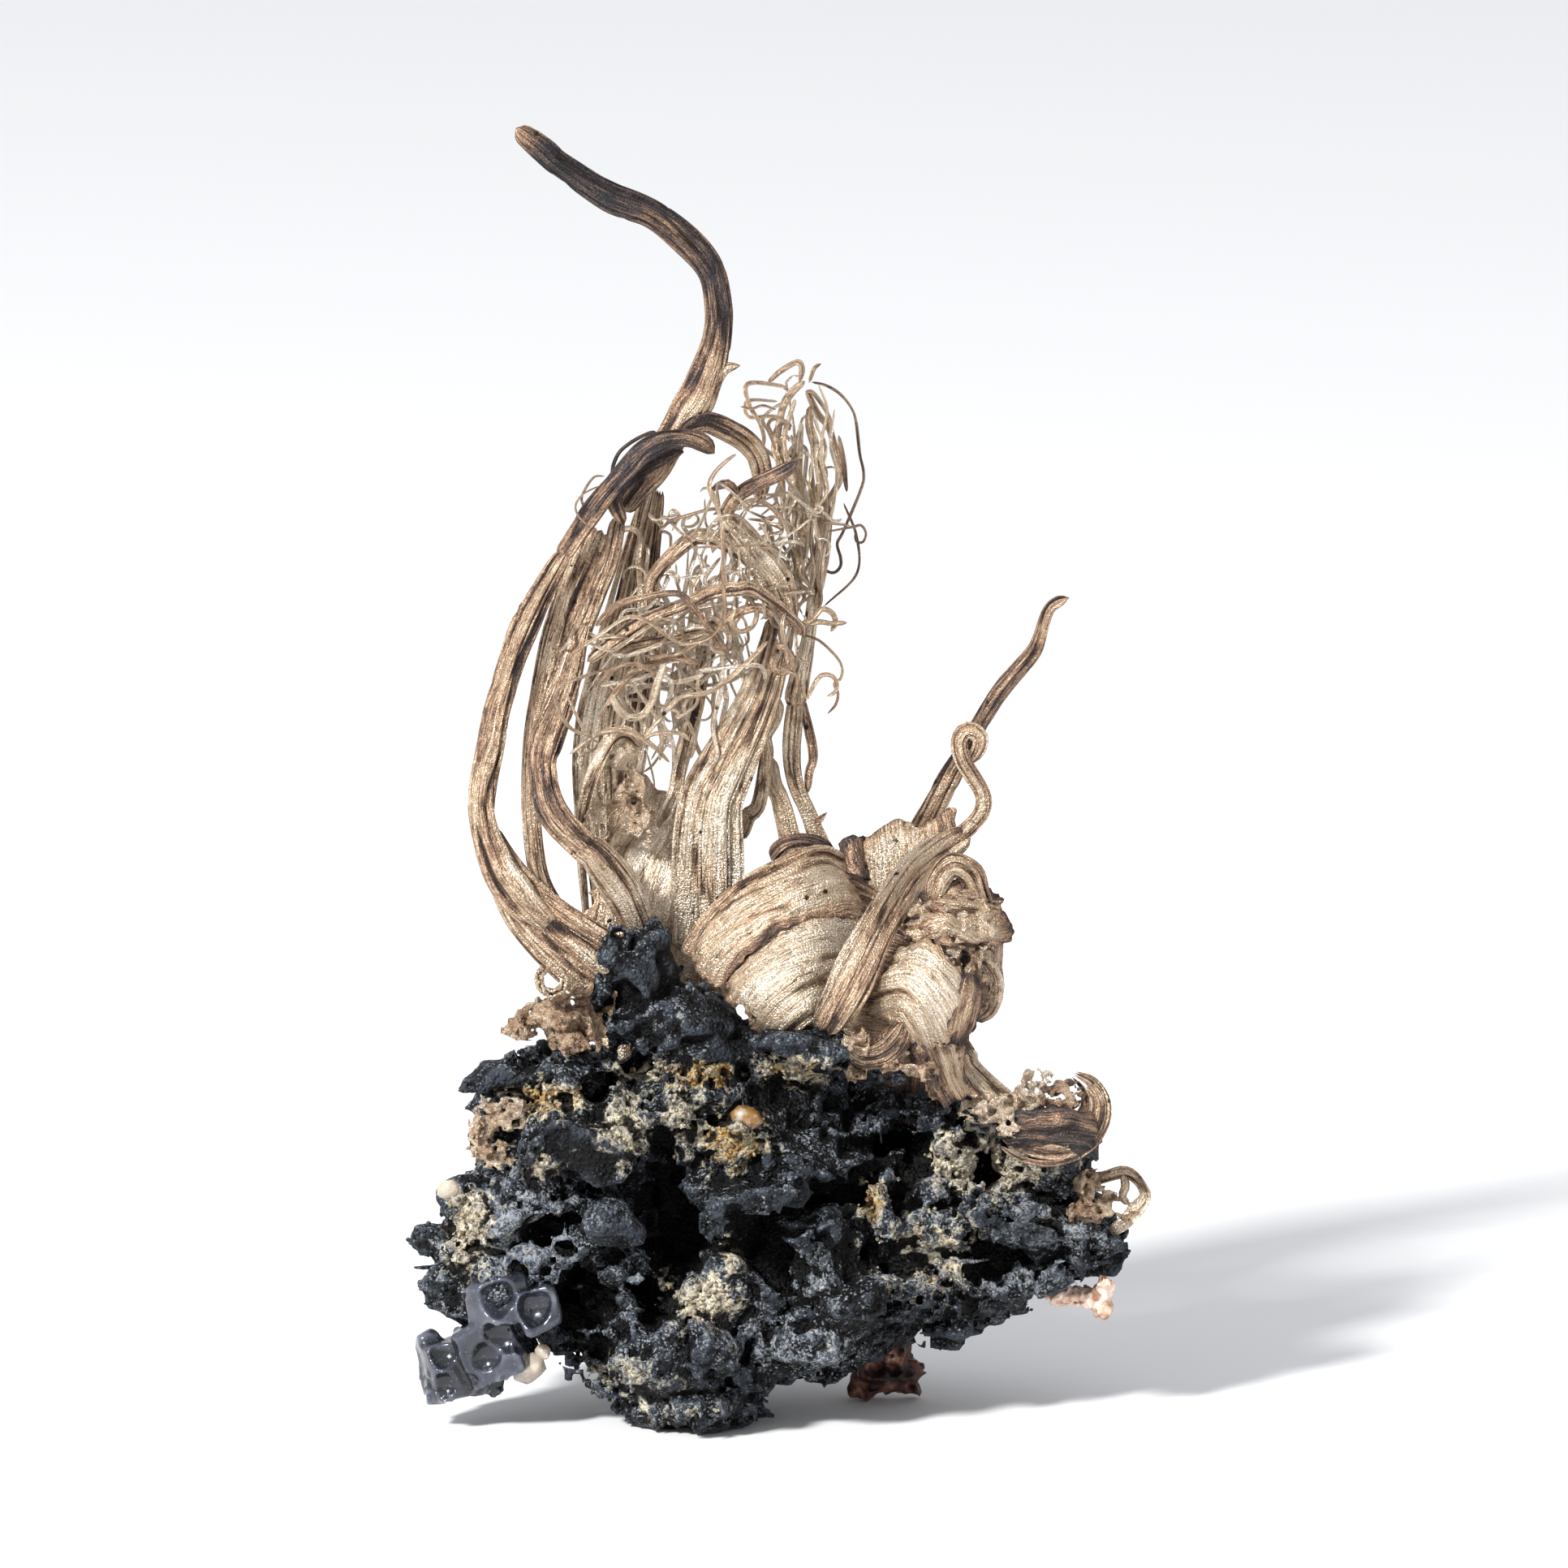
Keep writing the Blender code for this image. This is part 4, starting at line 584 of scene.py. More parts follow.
# Crusts: (across, up, half across, half up, cream, ochre, dust).
CRUSTS = (
    (-14, 21.4, 2.4, 1.2, 1, 0.6, 0.2), (-9, 20.2, 1.6, 2.3, 0.9, 0.1, 0.6),
    (-5.4, 20.2, 1.4, 2.2, 0.85, 0.05, 0.7), (-8.2, 23.3, 2.2, 0.8, 0.95, 0.2, 0.3),
    (-4.2, 23, 2.4, 0.9, 0.85, 1, 0.1), (-2.4, 18.8, 2.4, 2, 0.95, 0.6, 0.4),
    (1.4, 23.2, 2.6, 1.2, 0.75, 0.45, 0.2), (-18.8, 13, 1.7, 3.2, 0.9, 0.3, 0.7),
    (-14.2, 17.2, 1.3, 1, 0.85, 0.05, 0.8), (-15.2, 13.2, 4.2, 3.6, 0.25, 0, 0.95),
    (-2.2, 12, 1, 1.3, 1, 0.1, 0.4), (-4.2, 8.8, 2.4, 1.5, 0.9, 0.1, 0.9),
    (-6.5, 10.4, 0.7, 1.4, 0.6, 1, 0), (6.2, 15, 1, 1.6, 1, 0.6, 0.1),
    (13.2, 17.5, 4.4, 2.2, 0.95, 0.1, 0.7), (9.8, 12, 3.8, 3, 0.65, 0.3, 0.6),
    (17.4, 13.6, 3.6, 1.8, 0.3, 0, 0.9), (-9.2, 4.2, 2.8, 1.6, 0.6, 0.1, 0.7),
    (-6.4, 2, 3.2, 1.2, 0.45, 0.25, 0.5), (16, 10.2, 3, 1.4, 0.1, 0, 0.7),
    (1.6, 10.6, 2.2, 1.6, 0.3, 0, 0.7), (-0.6, 6.6, 3.2, 1.8, 0.3, 0.05, 0.7),
    (3.6, 5.6, 2.4, 1.8, 0.05, 0, 0.6), (8.9, 23, 1, 0.7, 0.6, 0.1, 0.1),
    (-8.6, 10.4, 1.4, 2.2, 0.1, 0, 0.6),
)


def sight_place(points):
    """Across and up, as the sight line sees them, of points in world millimetres."""
    drop = (points[..., 1] - FRONT_CONTACT_BACK) * math.sin(SIGHT_FALL)
    return points[..., 0] + ORIGIN_ACROSS, points[..., 2] * math.cos(SIGHT_FALL) + drop


def area_sum(points, areas, column):
    """Strength at each point of oval areas on the front: a bell curve for each, the strongest
    one counting. Behind the middle of the body they fade."""
    across, up = sight_place(points)
    total = np.zeros(across.shape, np.float32)
    for area in areas:
        bell = np.exp(-(((across - area[0]) / area[2]) ** 2 + ((up - area[1]) / area[3]) ** 2) * 0.8)
        total = np.maximum(total, bell * (area[column] if column else 1.0))
    return total * ease(4.0, 0.0, points[..., 1])


def crust_paint(points):
    """Cream, ochre and dust amounts: the named crusts on the front, and noise patches behind. Dust
    falls to nothing on the smooth slabs."""
    behind = ease(-1.0, 5.0, points[..., 1])
    cream = area_sum(points, CRUSTS, 4) + behind * ease(0.25, 0.6, noise(points, 5.0, 301)) * 0.9
    ochre = area_sum(points, CRUSTS, 5) + behind * ease(0.35, 0.7, noise(points, 4.0, 302)) * 0.8
    dust = area_sum(points, CRUSTS, 6) + behind * ease(0.0, 0.6, noise(points, 6.0, 303)) * 0.7
    dust = np.maximum(dust, 0.15) * (1 - np.clip(area_sum(points, SMOOTH_SLABS, 0) * 1.2, 0, 1))
    return cream, ochre, dust


def rock_blocks(points, share):
    """Relief of the large forms: wide billows, and grains 4.6 and 2.4 mm wide with tilted flat
    tops and clefts between them. It stands lower on thin lumps."""
    bent = warped(points, 3.1, 0.8, 31)
    broad = noise(bent, 6.5, 47) + 0.5 * noise(bent, 3.25, 64)
    calm = 1 - 0.7 * np.clip(area_sum(points, SMOOTH_SLABS, 0), 0, 1)
    first, second, own, tilt = grains(bent * np.array([0.85, 1, 1.3], np.float32), 4.6, 41)
    blocks = (own - 0.5) * 1.0 + 0.9 * tilt - 1.3 * ease(0.2, 0.0, second - first)
    first, second, own, tilt = grains(bent * np.array([1, 1, 1.3], np.float32), 2.4, 42)
    pieces = (own - 0.5) * 0.6 + 0.6 * tilt - 0.7 * ease(0.25, 0.0, second - first)
    return share * (0.4 * broad + calm * blocks) + (0.3 + 0.7 * share) * calm * pieces


def rock_grains(points):
    """Relief of the skin: chips 1.2 and 0.6 mm wide with tilted tops, billows of 0.45 mm and
    scattered pits. Smooth slabs lose it and crusts gain more."""
    calm = 1 - 0.9 * np.clip(area_sum(points, SMOOTH_SLABS, 0), 0, 1)
    cream, _, dust = crust_paint(points)
    first, second, own, tilt = grains(points, 1.2, 43)
    chips = (own - 0.5) * 0.36 + 0.3 * tilt - 0.35 * ease(0.25, 0.0, second - first)
    first, second, own, tilt = grains(points, 0.6, 45)
    flakes = (own - 0.5) * 0.24 + 0.2 * tilt - 0.12 * ease(0.3, 0.0, second - first)
    first, _, own, _ = grains(points, 1.1, 67)
    pits = ease(0.5, 0.2, first) * (own > 0.6)
    small = noise(points, 0.45, 61)
    grain = 1 + 0.7 * np.clip(cream + 0.3 * dust, 0, 1)
    return calm * (chips + grain * (flakes + 0.12 * small) - 0.28 * pits)


def twice_as_fine(values):
    """A grid of values with one more between each two, by halves."""
    for axis in range(3):
        moved = np.moveaxis(values, axis, 0)
        finer = np.empty((2 * len(moved) - 1,) + moved.shape[1:], np.float32)
        finer[::2] = moved
        finer[1::2] = (moved[:-1] + moved[1:]) / 2
        values = np.moveaxis(finer, 0, axis)
    return values


# Box round the matrix, and how far its skin is moved out to make up for its pits and clefts.
ROCK_LOW, ROCK_HIGH = (-18.9, -11.5, -0.4), (29.0, 17.5, 33.5)
ROCK_SWELL = 0.12
# How near to the surface the large relief and that of the skin are worked out.
BLOCKS_REACH, GRAINS_REACH = 2.4, 0.9


def rock_surface(step, relief):
    """Points, faces and depth under the open face of the matrix. Lumps, ledges, hollows and the
    large relief are worked out on a grid of twice the step, which is then halved, and the
    relief of the skin is added near the surface."""
    low = np.array(ROCK_LOW)
    grid = grid_between(low, ROCK_HIGH, 2 * step)
    base, weight, girth = None, 0.0, 0.0
    for lump in ROCK_LUMPS:
        one = ball_distance(grid, lump)
        base = one if base is None else melt(base, one, 1.0)
        near_lump = np.exp(-np.clip(one, -6, 12) / 0.7)
        weight, girth = weight + near_lump, girth + near_lump * min(lump[3:6])
    share = np.clip(girth / weight / 3.4, 0.12, 1.0)
    for ledge in ROCK_LEDGES:
        base = melt(base, block_distance(grid, ledge), 0.35)
    open_face = base
    bent = warped(grid, 2.2, 0.7, 71)
    for hollow in ROCK_HOLLOWS:
        base = -melt(-base, ball_distance(bent, hollow), 0.4)
    for fill in ROCK_FILLS:
        base = melt(base, ball_distance(bent, fill), 0.5)
    near = np.abs(base) < BLOCKS_REACH
    base[near] -= relief * rock_blocks(grid[near], share[near])
    values = twice_as_fine(base.astype(np.float32)) - ROCK_SWELL
    near = np.abs(values) < GRAINS_REACH
    where = np.argwhere(near)
    values[near] -= relief * rock_grains((low + step * where).astype(np.float32))
    under = CUT_HEIGHT - low[2] - step * np.arange(values.shape[2])
    values = np.maximum(values, under.astype(np.float32))
    points, faces = closed_form(values, low, step)
    cell = np.clip(((points - low) / (2 * step)).astype(int), 0, np.array(open_face.shape) - 1)
    return points, faces, -open_face[tuple(cell.T)]


def shadowing(points, faces):
    """A rough hollow measure: how far each point lies under the mean of its neighbours, spread
    a few times, for painted shade in pits and a painted highlight on knobs."""
    one, two = np.concatenate([faces[:, [k, (k + 1) % 4]] for k in range(4)]).T
    degree = np.bincount(one, minlength=len(points)) + np.bincount(two, minlength=len(points))
    smooth = points
    for _ in range(6):
        sums = [np.bincount(one, column[two], len(points)) + np.bincount(two, column[one], len(points))
                for column in smooth.T]
        smooth = stacked(*[total / degree for total in sums])
    return ((smooth - points) * point_normals(points, faces)).sum(-1)


def point_normals(points, faces):
    """Unit normals at the points: the sum of the crossed diagonals of the faces round each."""
    cross = np.cross(points[faces[:, 2]] - points[faces[:, 0]], points[faces[:, 3]] - points[faces[:, 1]])
    return unit(sum(stacked(*[np.bincount(faces[:, corner], column, len(points)) for column in cross.T])
                    for corner in range(4)))


CRUMB = np.array([(0, 0, 1), (0.894, 0, 0.447), (0.276, 0.851, 0.447), (-0.724, 0.526, 0.447),
                  (-0.724, -0.526, 0.447), (0.276, -0.851, 0.447), (0.724, 0.526, -0.447),
                  (-0.276, 0.851, -0.447), (-0.894, 0, -0.447), (-0.276, -0.851, -0.447),
                  (0.724, -0.526, -0.447), (0, 0, -1)])
CRUMB_FACES = np.array([(0, 1, 2), (0, 2, 3), (0, 3, 4), (0, 4, 5), (0, 5, 1), (1, 6, 2), (2, 7, 3),
                        (3, 8, 4), (4, 9, 5), (5, 10, 1), (2, 6, 7), (3, 7, 8), (4, 8, 9), (5, 9, 10),
                        (1, 10, 6), (11, 7, 6), (11, 8, 7), (11, 9, 8), (11, 10, 9), (11, 6, 10)])


def crumbs(places, normals, sizes, seed):
    """Twenty-faced grains, one at each place, each pushed out of round and sunk by a third."""
    random = np.random.default_rng(seed)
    form = CRUMB[None] * (1 + random.uniform(-0.35, 0.35, (len(places), len(CRUMB), 1)))
    turn, _ = np.linalg.qr(random.normal(size=(len(places), 3, 3)))
    turn[np.linalg.det(turn) < 0, :, 0] *= -1
    form = np.einsum("nij,nkj->nki", turn, form * random.uniform(0.6, 1.2, (len(places), 1, 3)))
    points = places[:, None] + normals[:, None] * (sizes * 0.25)[:, None, None] + form * sizes[:, None, None]
    faces = CRUMB_FACES[None] + (np.arange(len(places)) * len(CRUMB))[:, None, None]
    return points.reshape(-1, 3), faces.reshape(-1, 3)


# ---------------------------------------------------------------- silver, crystals and crusts

# Strips. name: (flatness, points round, seed, groove, turn, rows of (across, up, back, width, tarnish)).
STRIPS = {
    "tall_wire": (0.6, 60, 3, 0.15, 0, (
        (-15.7, 81.3, -1.5, 1, 0.57), (-14, 79.95, -1.3, 1.5, 0.97), (-13, 79.05, -1.2, 1.55, 0.97),
        (-10, 77.15, -0.6, 1.65, 0.96), (-7, 75.9, 0.2, 1.75, 0.78), (-4.1, 73.3, 1, 1.75, 0.78),
        (-3.3, 71, 1.4, 1.7, 0.72), (-3.4, 68.2, 1.8, 1.85, 0.64), (-4.5, 65, 2.4, 2.4, 0.52),
        (-5.3, 63.8, 2.7, 2.4, 0.5), (-7.2, 60.7, 3.2, 2.2, 0.6), (-8.2, 59.5, 3.2, 2.1, 0.67),
        (-9.4, 57.9, 3.3, 1.9, 0.62),
    )),
    "twisted_ribbon": (0.42, 44, 4, 0.12, -8, (
        (-3.5, 61.4, 1.5, 0.7, 0.72), (-4.2, 62, 1.2, 1.2, 0.72), (-5.2, 62.35, 1, 1.3, 0.74),
        (-6.5, 62.3, 0.9, 1.35, 0.78), (-7.7, 61.7, 0.9, 1.3, 0.86), (-8.8, 60.6, 1, 1.3, 0.9),
        (-11, 58, 1.3, 1.3, 0.78), (-13.1, 54.9, 1.3, 1.1, 0.68),
    )),
    "twisted_fold": (0.5, 36, 5, 0.11, 0, (
        (-5.4, 61.5, 2, 0.8, 0.7), (-6.2, 61.45, 2, 0.9, 0.74), (-8.7, 60, 1.9, 1, 0.88),
        (-9.6, 59.2, 1.9, 1, 0.86), (-9.7, 58.4, 1.9, 0.9, 0.76), (-9.1, 57, 1.9, 0.7, 0.6),
    )),
    "arch_ribbon": (0.4, 48, 6, 0.12, 0, (
        (-5.6, 62.6, 2, 0.9, 0.72), (-4.6, 63.2, 1.8, 1.3, 0.72), (-3.5, 63.2, 2, 1.4, 0.66),
        (-1.5, 62.1, 2.8, 1.5, 0.56), (-0.6, 60.6, 3.1, 1.4, 0.45), (-0.7, 58.4, 3.4, 0.9, 0.35),
    )),
    "grey_strand": (0.5, 36, 7, 0.09, 0, (
        (1.5, 60.95, 0.6, 0.5, 0.8), (0.95, 60.4, 0.6, 0.95, 0.72), (-1.9, 58.9, 0.9, 1, 0.6),
        (-2.85, 57.3, 1.1, 1.1, 0.45), (-2.2, 56.6, 1.2, 1.5, 0.32),
    )),
    "loop_strand": (0.5, 36, 8, 0.12, 0, (
        (-7.3, 49.6, 2.7, 0.7, 0.5), (-7.5, 52.9, 2.5, 0.8, 0.55), (-6.9, 54.3, 2.4, 0.85, 0.58),
        (-5, 56.1, 2.4, 0.9, 0.52), (-4.1, 56.3, 2.4, 0.9, 0.5), (-3.3, 56.1, 2.5, 0.9, 0.46),
        (-1.3, 54.8, 2.7, 0.9, 0.42), (0.2, 52, 2.9, 0.8, 0.48), (0.6, 50.4, 2.9, 0.7, 0.5),
    )),
    "sheaf_side_strand": (0.5, 36, 10, 0.11, 0, (
        (-7, 38.2, 3, 0.9, 0.2), (-6, 40.3, 3.1, 1, 0.3), (-5.7, 41.8, 3.2, 1, 0.4),
        (-4.8, 45.3, 3.7, 1, 0.5), (-4.3, 48, 3.9, 1, 0.48), (-2.8, 52, 4.1, 0.7, 0.4),
    )),
    "left_outer_wire": (0.6, 56, 11, 0.14, 0, (
        (-12.6, 55.4, 1.3, 0.7, 0.58), (-13.4, 54.2, 1.2, 1.1, 0.58), (-15.4, 50.3, 1.2, 1.5, 0.6),
        (-16.9, 46, 1, 1.5, 0.54), (-17.35, 43.7, 0.8, 1.55, 0.5), (-17.95, 39.5, 0.2, 1.7, 0.44),
        (-17, 36, -0.2, 2.1, 0.42), (-16, 34.4, -0.5, 2.2, 0.42), (-14.8, 33, -0.6, 1.8, 0.44),
        (-13.4, 31.8, -0.4, 1.2, 0.46),
    )),
    "front_curl_strand": (0.42, 60, 12, 0.15, 0, (
        (-11.4, 51, 1.6, 0.7, 0.42), (-12, 49.6, 1.3, 1.1, 0.42), (-12.9, 46.5, 0.6, 1.7, 0.48),
        (-14, 43.5, -0.3, 2, 0.52), (-14.2, 41.8, -0.9, 2, 0.56), (-13.6, 39.3, -1.6, 2, 0.58),
        (-11.8, 37.2, -1.9, 2.1, 0.46), (-10.8, 36.4, -1.8, 2.2, 0.38), (-9, 33.8, -0.8, 2.4, 0.24),
        (-7.6, 30.4, 0.4, 1.8, 0.3),
    )),
    "tangle_band_upper": (0.5, 32, 13, 0.09, 0, (
        (-11.4, 48.5, -0.2, 0.6, 0.5), (-8.3, 50.8, -0.2, 0.85, 0.55), (-5.2, 52.1, -0.2, 0.85, 0.52),
        (-3.7, 52.8, -0.2, 0.85, 0.55), (-2.15, 53, -0.2, 0.85, 0.6), (-0.85, 52.9, -0.1, 0.8, 0.62),
        (1.7, 50.9, 0.4, 0.6, 0.52), (2, 50, 0.5, 0.4, 0.5),
    )),
    "tangle_band_lower": (0.6, 28, 14, 0.07, 0, (
        (-9.5, 49, 0.7, 0.5, 0.45), (-8.3, 49.6, 0.7, 0.6, 0.48), (-4.6, 50.3, 0.7, 0.65, 0.5),
        (-1.7, 51.7, 0.7, 0.6, 0.55), (-0.6, 51.8, 0.7, 0.6, 0.55), (0.2, 51.3, 0.7, 0.5, 0.5),
    )),
    "right_stem": (0.5, 44, 15, 0.11, 0, (
        (3.6, 58.4, 5.2, 0.5, 0.5), (3.3, 56.6, 5.2, 1, 0.46), (2.95, 54, 5.2, 1.15, 0.42),
        (2.55, 52, 5.2, 0.9, 0.42), (2.3, 50, 5.2, 0.9, 0.4), (1.6, 46.8, 5.2, 1.35, 0.42),
        (1.5, 45.6, 5.3, 1.3, 0.42),
    )),
    "stem_leg_inner": (0.5, 40, 16, 0.11, 0, (
        (1.5, 46.4, 5.3, 1.2, 0.42), (1.3, 42, 5.5, 1.1, 0.38), (2.5, 38.5, 5.6, 1.2, 0.4),
        (3, 37, 5.6, 1.5, 0.55), (3.2, 35.4, 5.6, 1.6, 0.6),
    )),
    "stem_leg_pale": (0.45, 40, 17, 0.1, 0, (
        (0.1, 42.6, 5.4, 0.6, 0.3), (0.15, 41, 5.3, 1, 0.26), (0.65, 39.8, 5.2, 1.1, 0.26),
        (1.4, 36.6, 5.1, 1.6, 0.36), (1.5, 35, 5.1, 1.6, 0.5),
    )),
    "stem_side_strand": (0.5, 36, 18, 0.09, 0, (
        (0.6, 46.2, 4.4, 0.6, 0.42), (0.2, 44.9, 4.4, 0.7, 0.4), (-0.4, 43.9, 4.4, 0.8, 0.4),
        (-0.3, 42.7, 4.4, 0.8, 0.4), (-0.8, 39.7, 4.4, 0.8, 0.34), (-1.5, 38.9, 4.5, 0.9, 0.3),
        (-2, 37.4, 4.6, 0.9, 0.26),
    )),
    "neck_right": (0.5, 44, 21, 0.14, 0, (
        (11.6, 24.4, -0.8, 2.2, 0.3), (12, 23.4, -0.7, 1.8, 0.25), (12.7, 22.7, -0.8, 1.6, 0.22),
        (14.3, 21.1, -1.2, 2, 0.2), (15.2, 20.6, -1.4, 2, 0.18),
    )),
    "loop_ribbon_right": (0.4, 32, 22, 0.09, 0, (
        (19.2, 16.2, 1.6, 0.6, 0.5), (20, 16.3, 1.6, 0.8, 0.4), (20.8, 16.45, 1.5, 0.7, 0.36),
        (21.8, 16.75, 1.4, 0.8, 0.4), (22.5, 16.6, 1.3, 0.8, 0.4), (23.1, 15.9, 1.2, 0.7, 0.34),
        (23.3, 15.2, 1.1, 0.9, 0.24), (22.7, 14.4, 1, 1.1, 0.16), (22, 13.6, 1, 1, 0.2),
        (21, 12.9, 1, 0.8, 0.4),
    )),
    "spike_wire": (0.6, 52, 23, 0.13, 0, (
        (18.5, 52.5, 2.6, 0.4, 0.5), (17.9, 52.3, 2.7, 0.7, 0.52), (17.2, 51.7, 2.8, 0.75, 0.56),
        (16.6, 49.8, 3, 1, 0.62), (16.1, 48.9, 3.2, 1.2, 0.62), (14.3, 46.8, 3.7, 1.2, 0.68),
        (12.5, 43.9, 4.2, 1.15, 0.76), (10.9, 41, 4.9, 1.6, 0.44), (10.2, 39.6, 5.4, 1.7, 0.4),
        (9.6, 38.3, 6.2, 1.8, 0.4), (9, 37, 6.6, 1.8, 0.4),
    )),
    "hooked_ribbon": (0.42, 40, 24, 0.1, 0, (
        (12.3, 42.2, 3, 0.5, 0.66), (12.8, 42.9, 3, 0.8, 0.62), (13, 43.7, 3, 0.9, 0.58),
        (12.6, 44.2, 3, 0.95, 0.56), (12, 44.15, 3, 0.95, 0.55), (11.7, 43.4, 3, 0.9, 0.55),
        (12, 42.3, 2.9, 0.9, 0.5), (13.1, 40.5, 2.9, 0.9, 0.44), (13.2, 39.5, 2.9, 0.95, 0.44),
        (12.7, 38.6, 2.9, 0.95, 0.46), (11.2, 37.3, 2.7, 1.1, 0.46),
    )),
    "tall_wire_lip": (0.4, 30, 31, 0.08, 0, (
        (-4.6, 63.8, 2.2, 0.7, 0.4), (-3.6, 65.6, 2, 0.8, 0.36), (-2.9, 66.6, 1.9, 0.7, 0.34),
        (-1.9, 66.85, 1.9, 0.4, 0.4),
    )),
    "grey_barb": (0.5, 24, 32, 0.05, 0, (
        (-2, 58.9, 0.5, 0.5, 0.66), (-2.7, 59.5, 0.3, 0.6, 0.74), (-3.5, 59.25, 0.3, 0.4, 0.85),
        (-3.7, 58.9, 0.3, 0.25, 0.85),
    )),
    "sheaf_curl": (0.6, 24, 33, 0.06, 0, (
        (0.2, 49.6, 1.9, 0.5, 0.5), (0.9, 49.3, 1.5, 0.5, 0.5), (1.35, 48.6, 1.4, 0.5, 0.5),
        (0.9, 47.9, 1.4, 0.5, 0.5), (0.2, 48, 1.4, 0.5, 0.5), (0.1, 48.7, 1.5, 0.45, 0.5),
        (0.6, 49.1, 1.7, 0.4, 0.5),
    )),
    "stem_leg_outer": (0.5, 28, 34, 0.07, 0, (
        (1.8, 46.6, 5.5, 0.5, 0.45), (2.6, 43, 5.7, 0.6, 0.5), (2.35, 41.6, 5.7, 0.6, 0.46),
        (2.3, 40.4, 5.7, 0.5, 0.45),
    )),
    "stem_foot_ring": (0.8, 40, 35, 0.14, 0, (
        (0, 36.2, 5, 1.1, 0.55), (0.8, 37, 4.6, 1.3, 0.6), (2, 37.3, 4.6, 1.3, 0.62), (3.2, 37, 5, 1.2,
         0.7),
        (3.7, 36.2, 5.4, 0.9, 0.72),
    )),
    "side_lip": (0.6, 32, 40, 0.1, 0, (
        (13, 30, -2.8, 0.6, 0.4), (13.7, 29.4, -2.6, 0.8, 0.34), (14, 28.5, -2.3, 0.9, 0.3),
        (13.9, 27.5, -2.1, 0.9, 0.3), (13.5, 26.7, -2.2, 0.8, 0.36), (12.8, 26.3, -2.6, 0.6, 0.4),
    )),
    "stem_spur": (0.6, 20, 36, 0.05, 0, (
        (2.6, 38.4, 5.4, 0.6, 0.5), (3.1, 38.8, 5.4, 0.45, 0.5), (3.5, 39.2, 5.4, 0.2, 0.5),
    )),
    "loop_inner_right": (0.5, 24, 37, 0.06, 0, (
        (21.9, 16.7, 1.3, 0.6, 0.36), (22.1, 15.9, 1.2, 0.6, 0.34), (21.9, 15.2, 1.1, 0.6, 0.3),
        (22.4, 14.7, 1, 0.6, 0.24),
    )),
    "leaf_front_rim": (0.55, 52, 38, 0.13, -25, (
        (-5.5, 30.2, -0.6, 1, 0.5), (-4.2, 32.2, -1, 1.1, 0.5), (-2.8, 33.8, -1.1, 1.1, 0.48),
        (-1.2, 35, -1, 1.1, 0.48), (2, 36.5, -0.1, 1, 0.48), (3.4, 36.75, 0.5, 0.9, 0.5),
        (4.6, 36.2, 1.2, 0.8, 0.5),
    )),
    "left_bundle_inner": (0.5, 36, 39, 0.1, 0, (
        (-9.4, 57.6, 2.9, 1, 0.55), (-10, 54.8, 2.8, 1.2, 0.5), (-10.9, 52.6, 2.6, 1.2, 0.42),
        (-12.3, 48.9, 1.9, 1.2, 0.4), (-12.8, 47, 1.6, 1, 0.4),
    )),
    "knot_fold": (0.35, 40, 903, 0.12, 0, (
        (-11.9, 38.4, 0.2, 0.9, 0.4), (-11.4, 40.6, -0.4, 1, 0.4), (-10.7, 42.4, -0.4, 1, 0.36),
        (-9.8, 43.9, 0, 1, 0.34), (-8.8, 44.1, 0.4, 0.9, 0.36), (-8, 43.2, 0.6, 0.7, 0.4),
    )),
}
